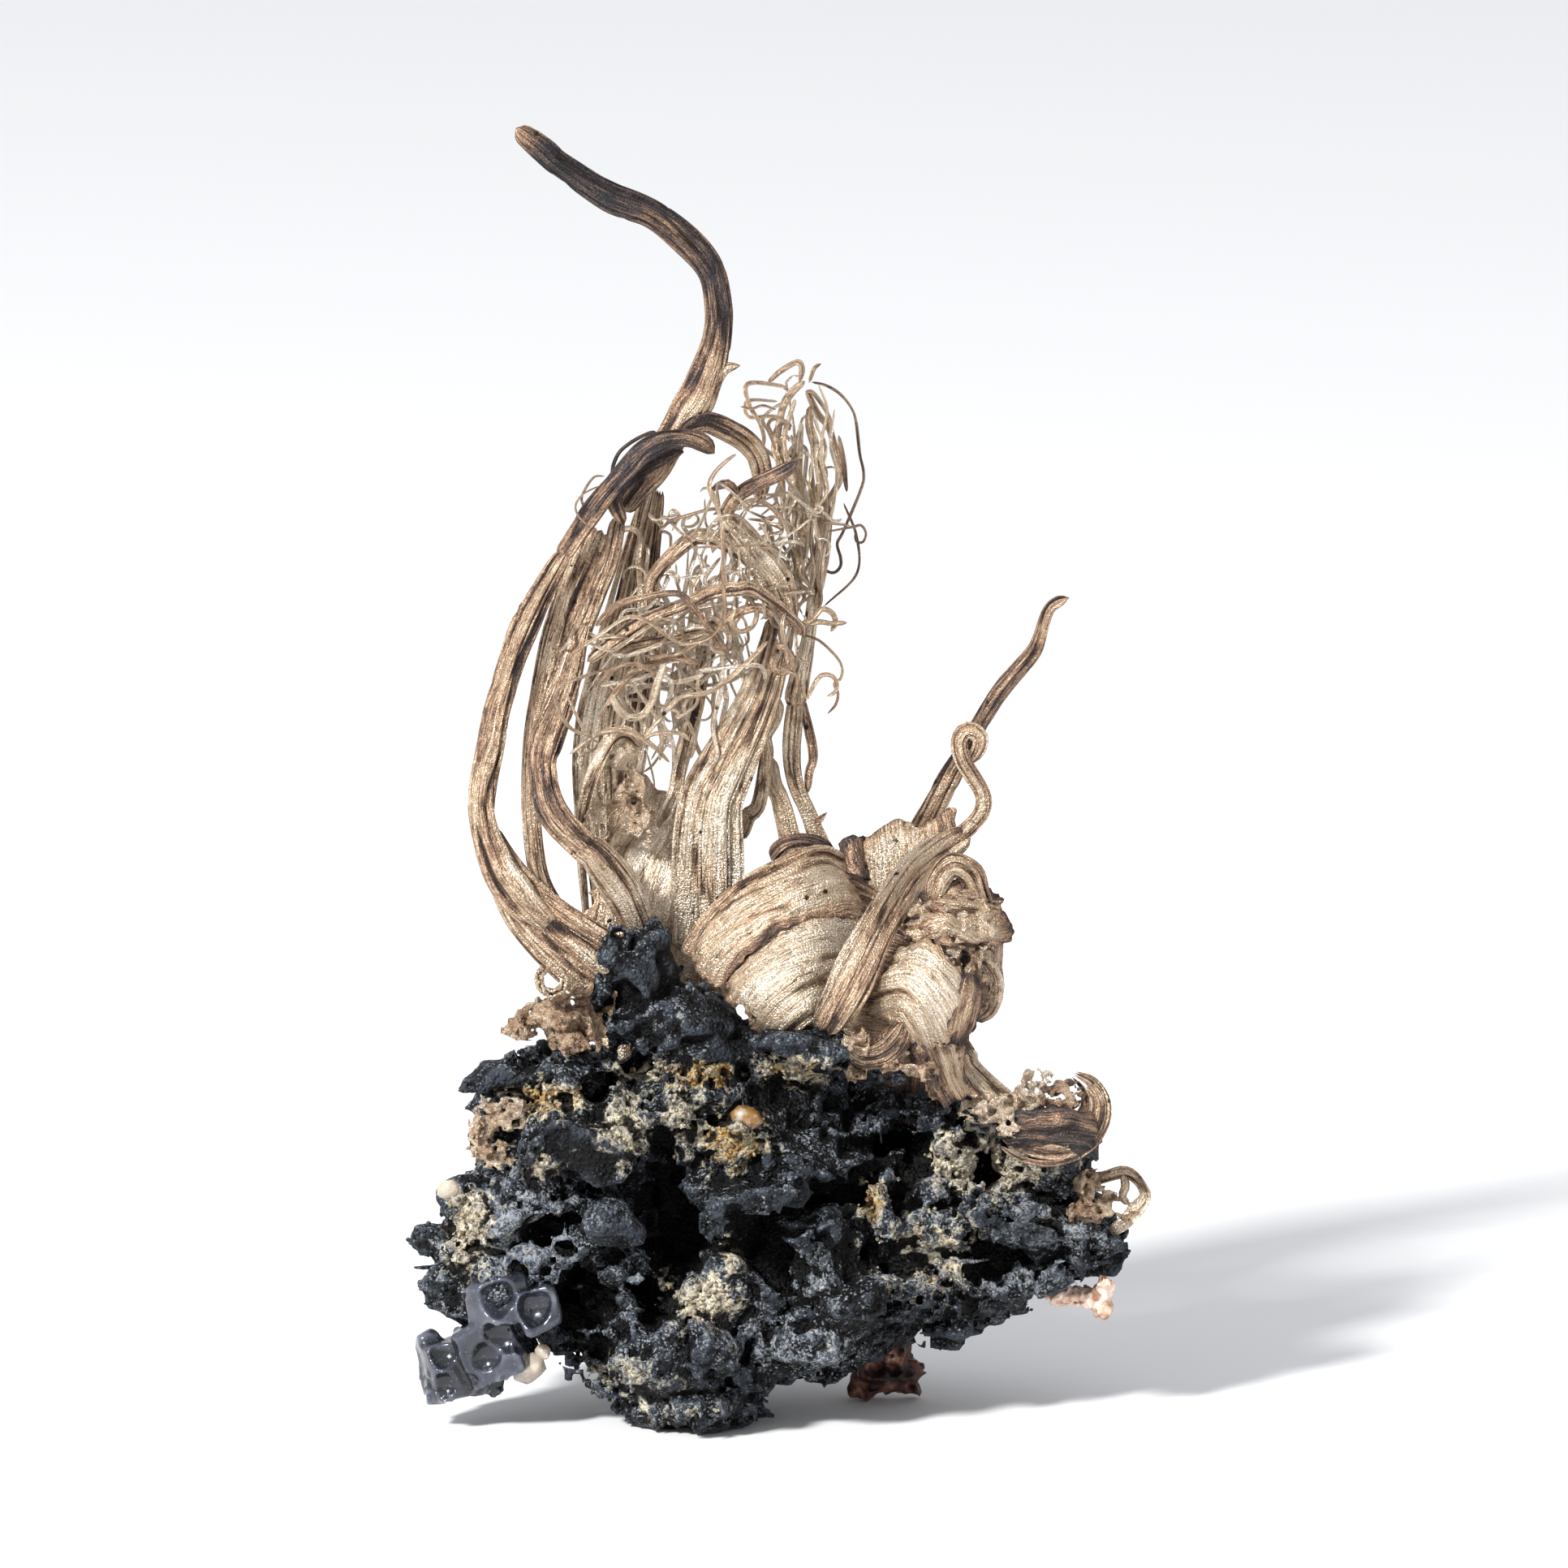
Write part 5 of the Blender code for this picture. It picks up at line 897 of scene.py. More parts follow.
# Bundles. name: (number of strips, seed, settings, rows as above).
BUNDLES = {
    "grey_fan": (4, 41, dict(flat=0.4, part_wide=1.5), (
        (-2.85, 57.4, 1.1, 1.1, 0.4), (-2.2, 56.8, 1.2, 1.5, 0.28), (-0.6, 55, 1.4, 2, 0.2),
        (0.7, 53, 1.6, 1.8, 0.28), (1.2, 50.6, 1.9, 1, 0.4),
    )),
    "central_sheaf": (7, 42, dict(flat=0.5, part_wide=1.7, around=30), (
        (-4, 30.5, 2.2, 4.6, 0.22), (-4, 37, 2.2, 4.3, 0.1), (-3.8, 39.7, 2.3, 3.8, 0.14),
        (-3.2, 41.3, 2.4, 3.5, 0.22), (-0.8, 46.2, 2.7, 2.5, 0.46), (0.3, 49.5, 2.7, 2, 0.5),
        (0.6, 51.2, 2.7, 1.7, 0.46),
    )),
    "left_strap": (7, 43, dict(flat=0.7, part_wide=1.7, around=28), (
        (-17.5, 38, 0.2, 1.4, 0.42), (-16.7, 35.8, 0.1, 2.4, 0.42), (-15.2, 33.4, -0.2, 3.8, 0.45),
        (-13.4, 31.6, -0.6, 4.7, 0.45), (-11.6, 30.2, -0.8, 5, 0.42), (-10, 28.8, -0.6, 5, 0.4),
        (-8.8, 27.2, 0, 4.6, 0.44),
    )),
    "left_bundle": (5, 44, dict(flat=0.55, part_wide=1.7, around=30), (
        (-10, 57.8, 3.3, 2.3, 0.42), (-11.2, 55, 3.3, 2.9, 0.3), (-13, 50, 3, 2.7, 0.34),
        (-14.9, 43, 2.4, 1.3, 0.36), (-14.6, 36, 1.6, 1.2, 0.34), (-13.2, 32.4, 0.9, 1.4, 0.3),
    )),
    "back_sheaf": (8, 45, dict(flat=0.5, part_wide=1.45, wobble=0.6), (
        (-7, 60.4, 4.6, 0.9, 0.5), (-7.5, 58.2, 5.2, 1.7, 0.46), (-8.7, 52, 5.8, 2.9, 0.36),
        (-10, 46, 6, 3.8, 0.28), (-10.4, 43, 6.2, 3.8, 0.26), (-10.4, 40, 6.4, 3.6, 0.24),
        (-10.2, 36.4, 6.5, 3.6, 0.24), (-9.8, 31.4, 6.2, 3.6, 0.28), (-9.2, 19.6, 4.2, 3, 0.5),
    )),
    "back_strand": (2, 46, dict(flat=0.6, part_wide=1.4), (
        (-6.9, 52.2, 4.6, 0.8, 0.4), (-7.5, 47, 4.6, 1.1, 0.3), (-8.5, 41.9, 4.8, 1.3, 0.2),
        (-8.8, 39.4, 4.9, 1.3, 0.15),
    )),
    "leaf_diagonal": (4, 47, dict(flat=0.45, part_wide=1.9, around=36, splay=0.5), (
        (3.2, 25.6, -5, 2, 0.4), (4.3, 27.6, -5.2, 2.3, 0.38), (5.1, 29.2, -4.9, 2.4, 0.36),
        (6.7, 32.4, -3.2, 2, 0.32), (8.8, 35.4, 0.2, 1.9, 0.34), (10, 36.5, 1.8, 1.8, 0.38),
        (11.2, 37.4, 2.6, 1.6, 0.42), (12.2, 38, 2.7, 1.2, 0.45),
    )),
    "curl_arch": (4, 48, dict(flat=0.6, part_wide=1.6, deepen=0.5), (
        (10.1, 33.6, -2.2, 0.9, 0.5), (10.4, 34.8, -2, 1.3, 0.48), (11, 35.7, -1.9, 1.5, 0.46),
        (11.8, 35.8, -1.8, 1.5, 0.46), (12.5, 35.1, -1.6, 1.5, 0.46), (13.3, 33, -1.2, 1, 0.46),
    )),
    "rim_curl": (8, 49, dict(flat=0.45, part_wide=1.5, wobble=0.7, deepen=0.5), (
        (14.4, 19, -2.4, 1.2, 0.55), (16, 18.4, -3.2, 1.9, 0.55), (17.8, 18.4, -3.6, 2.3, 0.55),
        (19.2, 19, -3.4, 2.4, 0.52), (20.1, 20.2, -2.8, 2.2, 0.52), (20.2, 21.4, -2, 1.8, 0.48),
        (19.6, 22.4, -1.2, 1.3, 0.42), (18.8, 22.9, -0.8, 0.6, 0.36),
    )),
    "neck_root": (5, 50, dict(flat=0.5, part_wide=1.4, wobble=0.7, deepen=0.6), (
        (8.2, 26.2, -4.6, 1.2, 0.4), (7.6, 25.2, -5, 1.9, 0.44), (6.6, 24.4, -5.3, 2, 0.46),
        (5.5, 24.3, -5.5, 1.5, 0.42), (4.6, 24.9, -5.7, 0.8, 0.36),
    )),
}
# Tarnish over the rows of the back leaf. Its higher values on the right of the upper rows are painted shadow
# cast by the spike wire.
LEAF_BACK_TARNISH_AND_SHADOW = (
    (0.7, 0.42, 0.3, 0.3, 0.4), (0.6, 0.3, 0.16, 0.4, 0.6), (0.5, 0.22, 0.4, 0.62, 0.5),
    (0.4, 0.36, 0.6, 0.62, 0.6), (0.6, 0.7, 0.7, 0.7, 0.7), (0.7, 0.7, 0.7, 0.7, 0.7),
    (0.8, 0.8, 0.8, 0.8, 0.8),
)
# Plates. name: (settings, rows of (across, up, back) points).
SHEETS = {
    "leaf_front_fold": (dict(seed=61, ridge=0.22, tarnish=0.31, ragged=0.3, fine=0.15), (
        ((-5.2, 30.4, -0.4), (-4, 32.5, -0.9), (-2.2, 34.4, -1),
         (0.6, 36, -0.5), (2.9, 36.7, 0.4), (4.5, 36.2, 1.4)),
        ((-4.9, 29.9, -1.2), (-3.2, 31.8, -2), (-1.2, 33.7, -2.3),
         (1.4, 35, -1.8), (3.4, 35.5, -0.8), (5, 34.8, 0.4)),
        ((-4.2, 29.2, -1.9), (-2.4, 30.9, -2.7), (-0.4, 32.6, -3),
         (2, 33.8, -2.5), (4, 34.1, -1.4), (5.6, 33.4, -0.4)),
        ((-3.4, 28.5, -2.2), (-1.6, 30, -3.1), (0.4, 31.6, -3.4),
         (2.4, 32.5, -2.9), (4.3, 32.7, -1.9), (6, 32.3, -0.8)),
    )),
    "leaf_front": (dict(seed=62, ridge=0.22, tarnish=0.29, ragged=0.5, fine=0.15), (
        ((-3, 29, -1.7), (-1.4, 30.7, -2.4), (0.6, 32.2, -2.7),
         (2.6, 33, -2.2), (4.4, 33.1, -1.2), (6, 32.6, -0.2)),
        ((-2.8, 28, -2.7), (-1, 29.4, -3.7), (1, 30.7, -4),
         (2.8, 31.4, -3.5), (4.4, 31.5, -2.4), (6.1, 31.2, -1.2)),
        ((-2.2, 27.2, -3.2), (-0.6, 28.2, -4.3), (1.2, 29.2, -4.6),
         (2.8, 29.7, -4.1), (4.2, 29.8, -3.1), (5.7, 29.8, -1.9)),
        ((-1.6, 26.4, -3.4), (-0.2, 27, -4.3), (1.3, 27.7, -4.6),
         (2.6, 28.1, -4.2), (3.7, 28.2, -3.5), (4.9, 28.4, -2.6)),
        ((-0.9, 25.6, -3.2), (0.3, 25.7, -3.8), (1.5, 26, -4),
         (2.4, 26.4, -3.8), (3.2, 26.7, -3.3), (4, 27, -2.8)),
        ((-0.4, 23.8, -1.8), (0.6, 23.8, -2), (1.5, 24, -2),
         (2.3, 24.4, -1.8), (3, 24.8, -1.4), (3.8, 25.2, -1)),
    )),
    # This sheet lies in shade behind the leaf and the diagonal ribbon: its high tarnish is partly brown
    # tarnish and partly painted shade.
    "leaf_front_shade": (dict(seed=75, ridge=0.16, tarnish=0.56, fold=0.4, ragged=0.4), (
        ((4.4, 35.2, 2.2), (5.4, 34.8, 2.6), (6.6, 34.2, 2.8), (7.8, 33.6, 2.6)),
        ((5, 32.8, 0.8), (6, 32.4, 0.8), (7.2, 32, 0.8), (8.6, 31.6, 0.4)),
        ((4.8, 30.2, -0.6), (6, 30.2, -0.6), (7.2, 30, -0.8), (8.8, 29.6, -1.2)),
        ((4, 28.2, -1.6), (5.4, 28, -1.6), (7, 27.6, -2), (8.8, 27.2, -2.6)),
        ((3.4, 25, -1.8), (5, 24.6, -2), (6.8, 24, -2.4), (8.8, 23.4, -3)),
    )),
    "leaf_back": (dict(seed=63, ridge=0.14, tarnish=LEAF_BACK_TARNISH_AND_SHADOW, lines="down", ragged=0.5,
     fold=0.35), (
        ((4.7, 37.1, 5), (6.1, 37.8, 5.3), (7.8, 38.4, 5.2), (9.4, 38.8, 4.6), (11.2, 39.2, 3.8)),
        ((4.9, 36, 4.6), (6.2, 36.5, 4.8), (7.6, 37, 4.7), (9.2, 37.4, 4.2), (11.4, 37.9, 3.6)),
        ((5.2, 34.9, 4.2), (6.3, 35, 4.3), (7.4, 35.4, 4.3), (8.8, 35.9, 4), (11.2, 36.2, 3.6)),
        ((5.8, 33.6, 3.4), (6.6, 33.5, 3.6), (7.6, 33.6, 3.8), (8.8, 34, 3.8), (10.8, 34.2, 3.6)),
        ((6.4, 31.8, 2.6), (7.2, 31.6, 2.6), (8.2, 31.6, 2.8), (9.4, 31.8, 3), (11, 32, 3.2)),
        ((6.6, 26.4, 2.4), (7.8, 26.2, 2.4), (9.2, 26, 2.4), (10.8, 26, 2.8), (12.4, 26.2, 3)),
        ((6.2, 20.6, 1.6), (7.6, 20, 1.6), (9.2, 19.6, 1.6), (10.8, 19.4, 2), (12.6, 20, 2.2)),
    )),
    "leaf_back_fold": (dict(seed=64, tarnish=0.62, lines="down", ragged=0.4), (
        ((4.5, 37.1, 5.1), (4.8, 37.5, 4.6), (5.6, 37.6, 5.1)),
        ((4.6, 36.3, 4.8), (5, 36.4, 4.3), (5.8, 36.6, 4.8)),
        ((4.9, 35.4, 4.5), (5.3, 35.4, 4), (6.1, 35.6, 4.5)),
        ((5.2, 34.6, 4.1), (5.6, 34.6, 3.7), (6.3, 34.8, 4.2)),
    )),
    "sheet_right": (dict(seed=65, ridge=0.2, tarnish=0.26, ragged=0.5, fine=0.15), (
        ((7.8, 31, -2.8), (9.6, 31.3, -4), (11, 30.5, -4.8), (12, 29.4, -4.8), (12.6, 28.2, -4.2)),
        ((7.3, 30, -3.6), (9.1, 30.2, -4.9), (10.4, 29.3, -5.6), (11.3, 28.1, -5.6), (11.8, 26.9, -5.2)),
        ((6.9, 28.9, -3.9), (8.6, 28.9, -5.2), (9.8, 28, -5.9), (10.6, 26.8, -5.9), (11.1, 25.7, -5.4)),
        ((6.6, 27.7, -3.8), (8.1, 27.6, -5), (9.1, 26.8, -5.5), (9.8, 25.8, -5.4), (10.3, 24.9, -5)),
        ((6.4, 26.5, -3.4), (7.6, 26.3, -4.3), (8.4, 25.6, -4.6), (9, 24.9, -4.5), (9.5, 24.2, -4.2)),
    )),
    "sheet_right_top": (dict(seed=66, ridge=0.25, tarnish=0.5, ragged=0.9, fold=0.6, curl=0.8, fine=0.16), (
        ((10.3, 35.2, -0.6), (11.4, 35.2, -1.2), (12.6, 34.8, -1), (13.4, 34, -0.2)),
        ((9.4, 33.8, -1.4), (10.8, 33.8, -2.2), (12.4, 33.4, -2), (13.9, 32.8, -0.8)),
        ((8.6, 32.4, -2.2), (10.4, 32.5, -3), (12.4, 32.2, -2.8), (14.4, 31.9, -1)),
        ((8.2, 31, -2.4), (10.2, 30.9, -3.2), (12.2, 30.7, -3), (14.3, 30.8, -1.2)),
    )),
    "sheet_right_crumple": (dict(seed=76, ridge=0.25, tarnish=0.36, ragged=1, fold=0.7, curl=0.9,
                                 fine=0.16), (
        ((9.6, 32.9, -3.2), (10.8, 33.3, -3.6), (12, 33, -3), (13.2, 33.2, -2)),
        ((9.4, 32, -3.6), (10.8, 32.2, -4.2), (12.4, 31.8, -3.6), (14, 32.4, -2)),
        ((9.6, 31, -3.6), (11.2, 31, -4.2), (12.8, 30.6, -3.6), (14.2, 31.2, -2)),
    )),
    "sheet_right_side": (dict(seed=67, ridge=0.15, tarnish=0.6, ragged=0.6, fold=0.4, curl=0.6,
                              lines="down"), (
        ((12.4, 31.4, -2.6), (13.2, 31.6, -1.8), (14, 31.4, -0.6), (14.2, 31, 0.6)),
        ((12.3, 30.2, -2.8), (13.1, 30.4, -2), (13.8, 30, -0.6), (14, 29.8, 0.6)),
        ((12.4, 28.8, -2.4), (13.2, 28.8, -1.6), (13.9, 28.6, -0.4), (13.9, 28.4, 0.6)),
        ((12.4, 27.4, -2), (13.1, 27.2, -1.4), (13.8, 27.1, -0.4), (13.6, 27.2, 0.6)),
        ((12.2, 26.2, -2), (12.7, 26, -1.4), (13.1, 26, -0.6), (12.9, 26.2, 0.6)),
    )),
    "sheet_right_end": (dict(seed=68, ridge=0.2, thick=0.6, tarnish=0.72, ragged=0.2, fine=0.16,
                             lines="down"), (
        ((11.7, 29, -5.2), (12.2, 29.2, -5), (12.6, 29, -4.3), (12.9, 28.6, -3.2)),
        ((11.2, 27.6, -5.8), (11.9, 27.8, -5.6), (12.6, 27.6, -4.7), (13, 27.4, -3.4)),
        ((10.6, 26.3, -5.8), (11.4, 26.4, -5.5), (12.2, 26.3, -4.7), (12.8, 26.2, -3.6)),
        ((10, 25.1, -5.1), (10.9, 24.9, -5), (11.7, 25, -4.4), (12.3, 25.2, -3.6)),
    )),
    "rim_curl_back": (dict(seed=69, ridge=0.2, thick=0.8, tarnish=0.7, ragged=0.4, fine=0.2), (
        ((14.8, 18.6, -3), (16.8, 18.6, -3.6), (18.6, 18.2, -3.6), (20.2, 17.4, -2.2)),
        ((15, 19.6, -3.3), (17, 19.8, -4), (18.9, 20, -3.9), (20.5, 19.4, -2.4)),
        ((15.2, 20.6, -3), (16.8, 20.8, -3.5), (19, 20.9, -3.4), (20.5, 20.6, -2)),
    )),
    "wall_sheet": (dict(seed=72, ridge=0.34, tarnish=0.24, lines="down", fold=0.7, ragged=0.8, fine=0.18), (
        ((-9.4, 40.2, 4.4), (-7.6, 41, 4.5), (-5.4, 40.4, 4.6), (-3, 40.8, 4.6)),
        ((-10.6, 36.8, 4), (-7.8, 37, 4), (-5.2, 36.8, 4.2), (-2.6, 36.8, 4.4)),
        ((-11.6, 33.4, 3.2), (-8.6, 33.2, 2.8), (-5.4, 32.8, 3.2), (-2.4, 33, 4)),
        ((-11.8, 29, 2.6), (-8.8, 27.4, 2.6), (-5.6, 25.6, 2.8), (-2.4, 25, 3.4)),
    )),
    "root_sheet": (dict(seed=73, ridge=0.12, tarnish=0.45, lines="down", ragged=0.5), (
        ((-0.4, 35, 4.9), (0.9, 36, 5.2), (2.3, 36.6, 5.5), (3.6, 36.2, 5.6)),
        ((-0.8, 32.4, 4.2), (0.6, 33, 4.4), (2.2, 33.2, 4.6), (4, 32.8, 4.6)),
        ((-1.2, 28.6, 3.4), (0.6, 28.6, 3.4), (2.4, 28.6, 3.4), (4.4, 28.2, 3.4)),
        ((-1.4, 22, 3.6), (0.6, 22, 3.6), (2.6, 22, 3.6), (4.6, 22, 3.6)),
    )),
    "neck_fan": (dict(seed=74, ridge=0.22, tarnish=0.5, lines="down", ragged=0.5, fold=0.3, fine=0.2), (
        ((8.6, 24.6, -4.4), (9.8, 25, -4.6), (11.2, 24.9, -3.6), (12.2, 24.4, -2.2)),
        ((9, 23.4, -4.2), (10, 23.8, -4.4), (11.2, 23.8, -3.6), (12, 23.4, -2.2)),
        ((9.2, 22.2, -3.8), (10.2, 22.4, -4), (11.2, 22.6, -3.4), (12.4, 22.4, -2.2)),
        ((9.6, 20.8, -3.4), (10.8, 21, -3.6), (12, 21.4, -3.2), (13.4, 21.2, -2.2)),
    )),
}
# Crumpled foil. name: (step, seed, width of the creases, granular share, tarnish, lumps).
FOILS = {
    "crumpled_knot": (0.15, 901, 1.3, 0.15, 0.36, (
        (-10.9, 39.4, 0.9, 1.3, 1.7, 1.1, 20), (-9, 40.4, 1.2, 1.4, 1.5, 1.1, -20),
        (-10.6, 42.6, 0.9, 1.4, 1.6, 1, 0), (-8.9, 43.6, 1.2, 1.3, 1.1, 0.9, 30),
        (-9.6, 44.8, 1.4, 1.1, 0.6, 0.7, -30), (-8.2, 38.4, 1.5, 1.2, 1.4, 0.9, 0),
    )),
    "left_crumple": (0.15, 911, 1.5, 0.15, 0.52, (
        (-14.6, 26.4, -2.6, 1.6, 1, 1.6, 30), (-13, 26.9, -3, 1.5, 1.7, 1.4, -20),
        (-11.4, 26.2, -2.6, 1.2, 1.8, 1.4, 10), (-15.7, 25.8, -2.2, 1.2, 0.7, 1.1, 0),
        (-12.4, 25, -2.4, 1.8, 0.9, 1.6, 0), (-10.6, 27.6, -2, 1, 1.2, 1, 0),
    )),
    "dome_crumple": (0.14, 917, 0.9, 0.3, 0.36, (
        (11.5, 30.4, -3, 1.1, 1.3, 1.3, 0), (12.8, 30.2, -2.4, 1.1, 1.6, 1.3, -10),
        (12.9, 32.2, -1.9, 1.2, 1, 1.2, 0), (13.1, 28.4, -1.6, 0.8, 1.4, 0.9, 0),
        (11.2, 32.6, -3, 1.7, 0.9, 1.1, 12), (9.5, 32.6, -2.7, 1.2, 0.9, 0.9, 30),
        (11.9, 34.2, -2, 1.3, 0.8, 0.9, -20),
    )),
    "neck_crumple": (0.14, 919, 1.1, 0.18, 0.5, (
        (6.6, 24, -4.7, 1.5, 0.7, 0.9, -10), (8.2, 24.2, -4.4, 1.3, 0.9, 1, 20),
        (5.3, 24.9, -5.2, 1, 0.9, 0.9, 50), (9.4, 23.2, -4.2, 1, 1.3, 1, 0),
        (5.7, 23.2, -4.2, 1.3, 0.6, 0.9, 10),
    )),
    "left_crust": (0.14, 921, 0.9, 0.24, 0.36, (
        (-17.6, 20.2, -2.8, 1.1, 0.9, 1.5, 20), (-16.2, 20.5, -3.4, 1.2, 0.9, 1.3, -10),
        (-17.9, 18.6, -2.6, 0.9, 1.3, 1.4, 0), (-16.8, 17.9, -3.6, 1, 0.9, 1.1, 0),
    )),
    "rim_fan": (0.14, 971, 0.8, 0.2, 0.22, (
        (13.2, 20.8, -2, 1.7, 0.8, 1.5, 10), (14.8, 20.6, -2.2, 1.5, 0.9, 1.5, 0),
        (15.9, 21.3, -1.7, 1.1, 1.1, 1.3, 20), (16.2, 22.4, -1, 0.5, 0.9, 0.6, 10),
        (17.1, 22.4, -0.8, 0.45, 0.8, 0.6, -10), (15.2, 19.6, -2.8, 1.3, 0.8, 1, 0),
    )),
    "rim_sponge": (0.13, 981, 0.7, 0.26, 0.78, (
        (17.6, 20.9, -2.2, 1.3, 1.2, 1.4, 0), (18.4, 21.7, -1.6, 0.8, 0.8, 1.1, 0),
        (17, 19.8, -2.8, 1.2, 0.7, 1, 0),
    )),
    "rim_root_crust": (0.15, 931, 0.9, 0.2, 0.5, (
        (19.8, 16, 0.2, 0.9, 1, 1.2, 0), (20.6, 14.6, 0.6, 1.2, 0.8, 1.3, 20),
        (19.2, 14.2, -0.6, 1, 0.6, 1, 0), (22.4, 14.2, 1, 0.9, 0.6, 0.7, 40),
        (17.6, 16.2, -3, 0.9, 0.5, 0.7, 0), (7.9, 19.6, -4.2, 0.9, 0.9, 0.8, 40),
    )),
}
# Lumps of the crust on the right edge and of the foot nugget, in the form of the matrix's.
EDGE_CRUST_LUMPS = (
    (19.8, 8.9, 0.6, 1, 0.6, 1.4, -20), (20.7, 8.3, 0.4, 0.55, 0.6, 0.8, 40),
    (18.2, 9.1, 0.8, 1.2, 0.55, 1.2, 0), (20.7, 9.6, 0.2, 0.6, 0.7, 0.8, 30),
)
FOOT_LUMPS = (
    (6.4, 3.9, 6.6, 1.4, 1.3, 1.5, 0), (8.4, 3.9, 6.8, 1.2, 1.1, 1.4, 0),
    (7.5, 5.6, 6.4, 1.3, 1.1, 1.4, 20), (5.9, 3, 6.2, 1, 0.8, 1.1, 0), (8.2, 6.8, 6, 0.7, 1.4, 0.8, 0),
    (8.9, 3.1, 6.6, 0.7, 0.6, 0.8, 0), (6.2, 4.9, 6, 0.8, 0.6, 0.8, 0), (7.2, 3.4, 6, 0.8, 0.5, 0.8, 0),
)
# Rounded cubes of the glassy crystals: (across, up, back, half side, turn, lean in degrees), and
# balls scooped out of them: (across, up, back, radius).
GLASSY_CUBES = (
    (-19.9, 4.7, -1.8, 1.75, 24, 8), (-17.2, 6, -2.6, 1.95, -20, 24), (-17, 8.8, -4, 1.5, 35, 12),
    (-14.7, 8.4, -3.8, 1.4, 15, 24), (-18.4, 5, 0.6, 1.7, 10, -12), (-21.3, 6.3, -1.6, 0.7, 20, 30),
    (-21, 3.2, -2.2, 0.7, 10, 6), (-19.2, 8.4, -1.6, 0.7, 10, 20),
)
GLASSY_SCOOPS = (
    (-20.6, 5.7, -4.1, 1.1), (-20.5, 3.5, -4.4, 1.1), (-18.9, 3.7, -4.4, 0.8), (-18, 5.2, -5, 1.2),
    (-16.9, 6.3, -5.3, 1.25), (-17, 8.9, -6, 1.3), (-14.6, 8.5, -5.6, 1.3), (-22.9, 4.9, -2.2, 1.4),
    (-20.8, 7.8, -2.2, 1.1), (-19.5, 1.8, -2.6, 1.2), (-17, 3.1, -3.8, 0.9), (-15.6, 6, -4.8, 0.7),
    (-18.9, 10.4, -3.6, 0.9),
)
# Traced wires: width, tarnish and back, then across and up of each point.
HEAD_WIRES = (
    (0.5, 0.5, 3.2, 2.08, 65.9, 1.2, 65.1, 0.67, 64.1, 0.25, 61.8, 0.5, 60.8, 0.4, 59.6),
    (0.32, 0.45, 2.6, 1.5, 64.8, 0.8, 62.2, 1.3, 59.4, 1.1, 57.4),
    (0.38, 0.5, 3.9, -0.2, 65.85, 0.5, 66.5, 1.35, 67, 1.75, 67.05, 1.9, 66.6, 1.75, 65.9),
    (0.24, 0.5, 3.6, 3.1, 67, 2.7, 66.7, 2.5, 66.2, 2.35, 65.8),
    (0.24, 0.45, 5.2, 2.1, 65.3, 2.64, 65.2, 3.56, 63.8, 3.7, 62.9),
    (0.44, 0.62, 5.6, 2.2, 65.4, 2.9, 63.9, 3.5, 63.2, 3.85, 62.2, 4.26, 60.4, 4.2, 59.6, 3.5, 58.3,
     3.3, 56.3, 2.9, 55.75),
    (0.3, 0.7, 5.4, 4.2, 62.6, 4.5, 61, 4.6, 59.85, 4.7, 59.1),
    (0.5, 0.5, 4.7, 2.4, 64.4, 2.4, 62.95, 3, 61, 3.3, 60.1, 3, 59.3, 3.07, 56.6, 2.8, 54),
    (0.46, 0.34, 4, 1.87, 63.4, 1.7, 59.85, 1.8, 58.4, 1.94, 57.3, 1.7, 53.6),
    (0.18, 0.7, 5, 2.5, 65.9, 3.35, 65.7, 4.2, 65.2, 4.9, 64.4, 5.25, 63.5, 5.5, 61.5, 5.75, 60.3,
     5.6, 59.3, 4.5, 56.7, 4.1, 55.9, 4.3, 55.05, 4.3, 54.5, 3.9, 54.1, 3.35, 54.3, 3.07, 55.05),
    (0.16, 0.7, 4.4, 4.5, 58.4, 5.3, 56.3, 5.3, 54, 3.3, 52),
    (0.16, 0.75, 3.8, 3.4, 56.6, 5.04, 56.9, 5.6, 57, 5.9, 56.5, 5.7, 55.97, 5.3, 56.04, 5.2, 56.6),
    (0.2, 0.6, 3.6, 2.6, 57.3, 3.6, 57.15, 4.9, 57),
    (0.26, 0.5, 1.8, 1, 65.3, 0.5, 65.6, -1.45, 65.7, -1.3, 64.36, -0.75, 63.4, -0.46, 62.5, -0.5, 61.7),
    (0.22, 0.5, 2.2, 0.4, 64.64, -1.3, 64.7, -1.6, 64.2, -1.3, 63.65, 0.25, 63.7, 1.2, 63.2),
    (0.22, 0.45, 2.4, 0.8, 64.6, 0, 64.1, -0.5, 63.5, -0.1, 62.7, 0.3, 61.6),
    (0.18, 0.6, 1.6, 0.3, 64.1, -0.5, 64.35, -1.2, 64.15, -1.9, 64.3),
    (0.22, 0.85, 1.4, -7, 62.4, -7.3, 62.7, -8.3, 62.3, -9.3, 61.6, -9.75, 60.8, -9.9, 60),
    (0.16, 0.7, 1.2, -10.3, 60, -11, 59.9, -11.7, 58.8, -11.6, 58.1, -11.2, 57.4),
    (0.14, 0.5, 1, -10.6, 59.4, -11.6, 58.9, -12.1, 58.2, -11.9, 57.5, -11.4, 57),
)
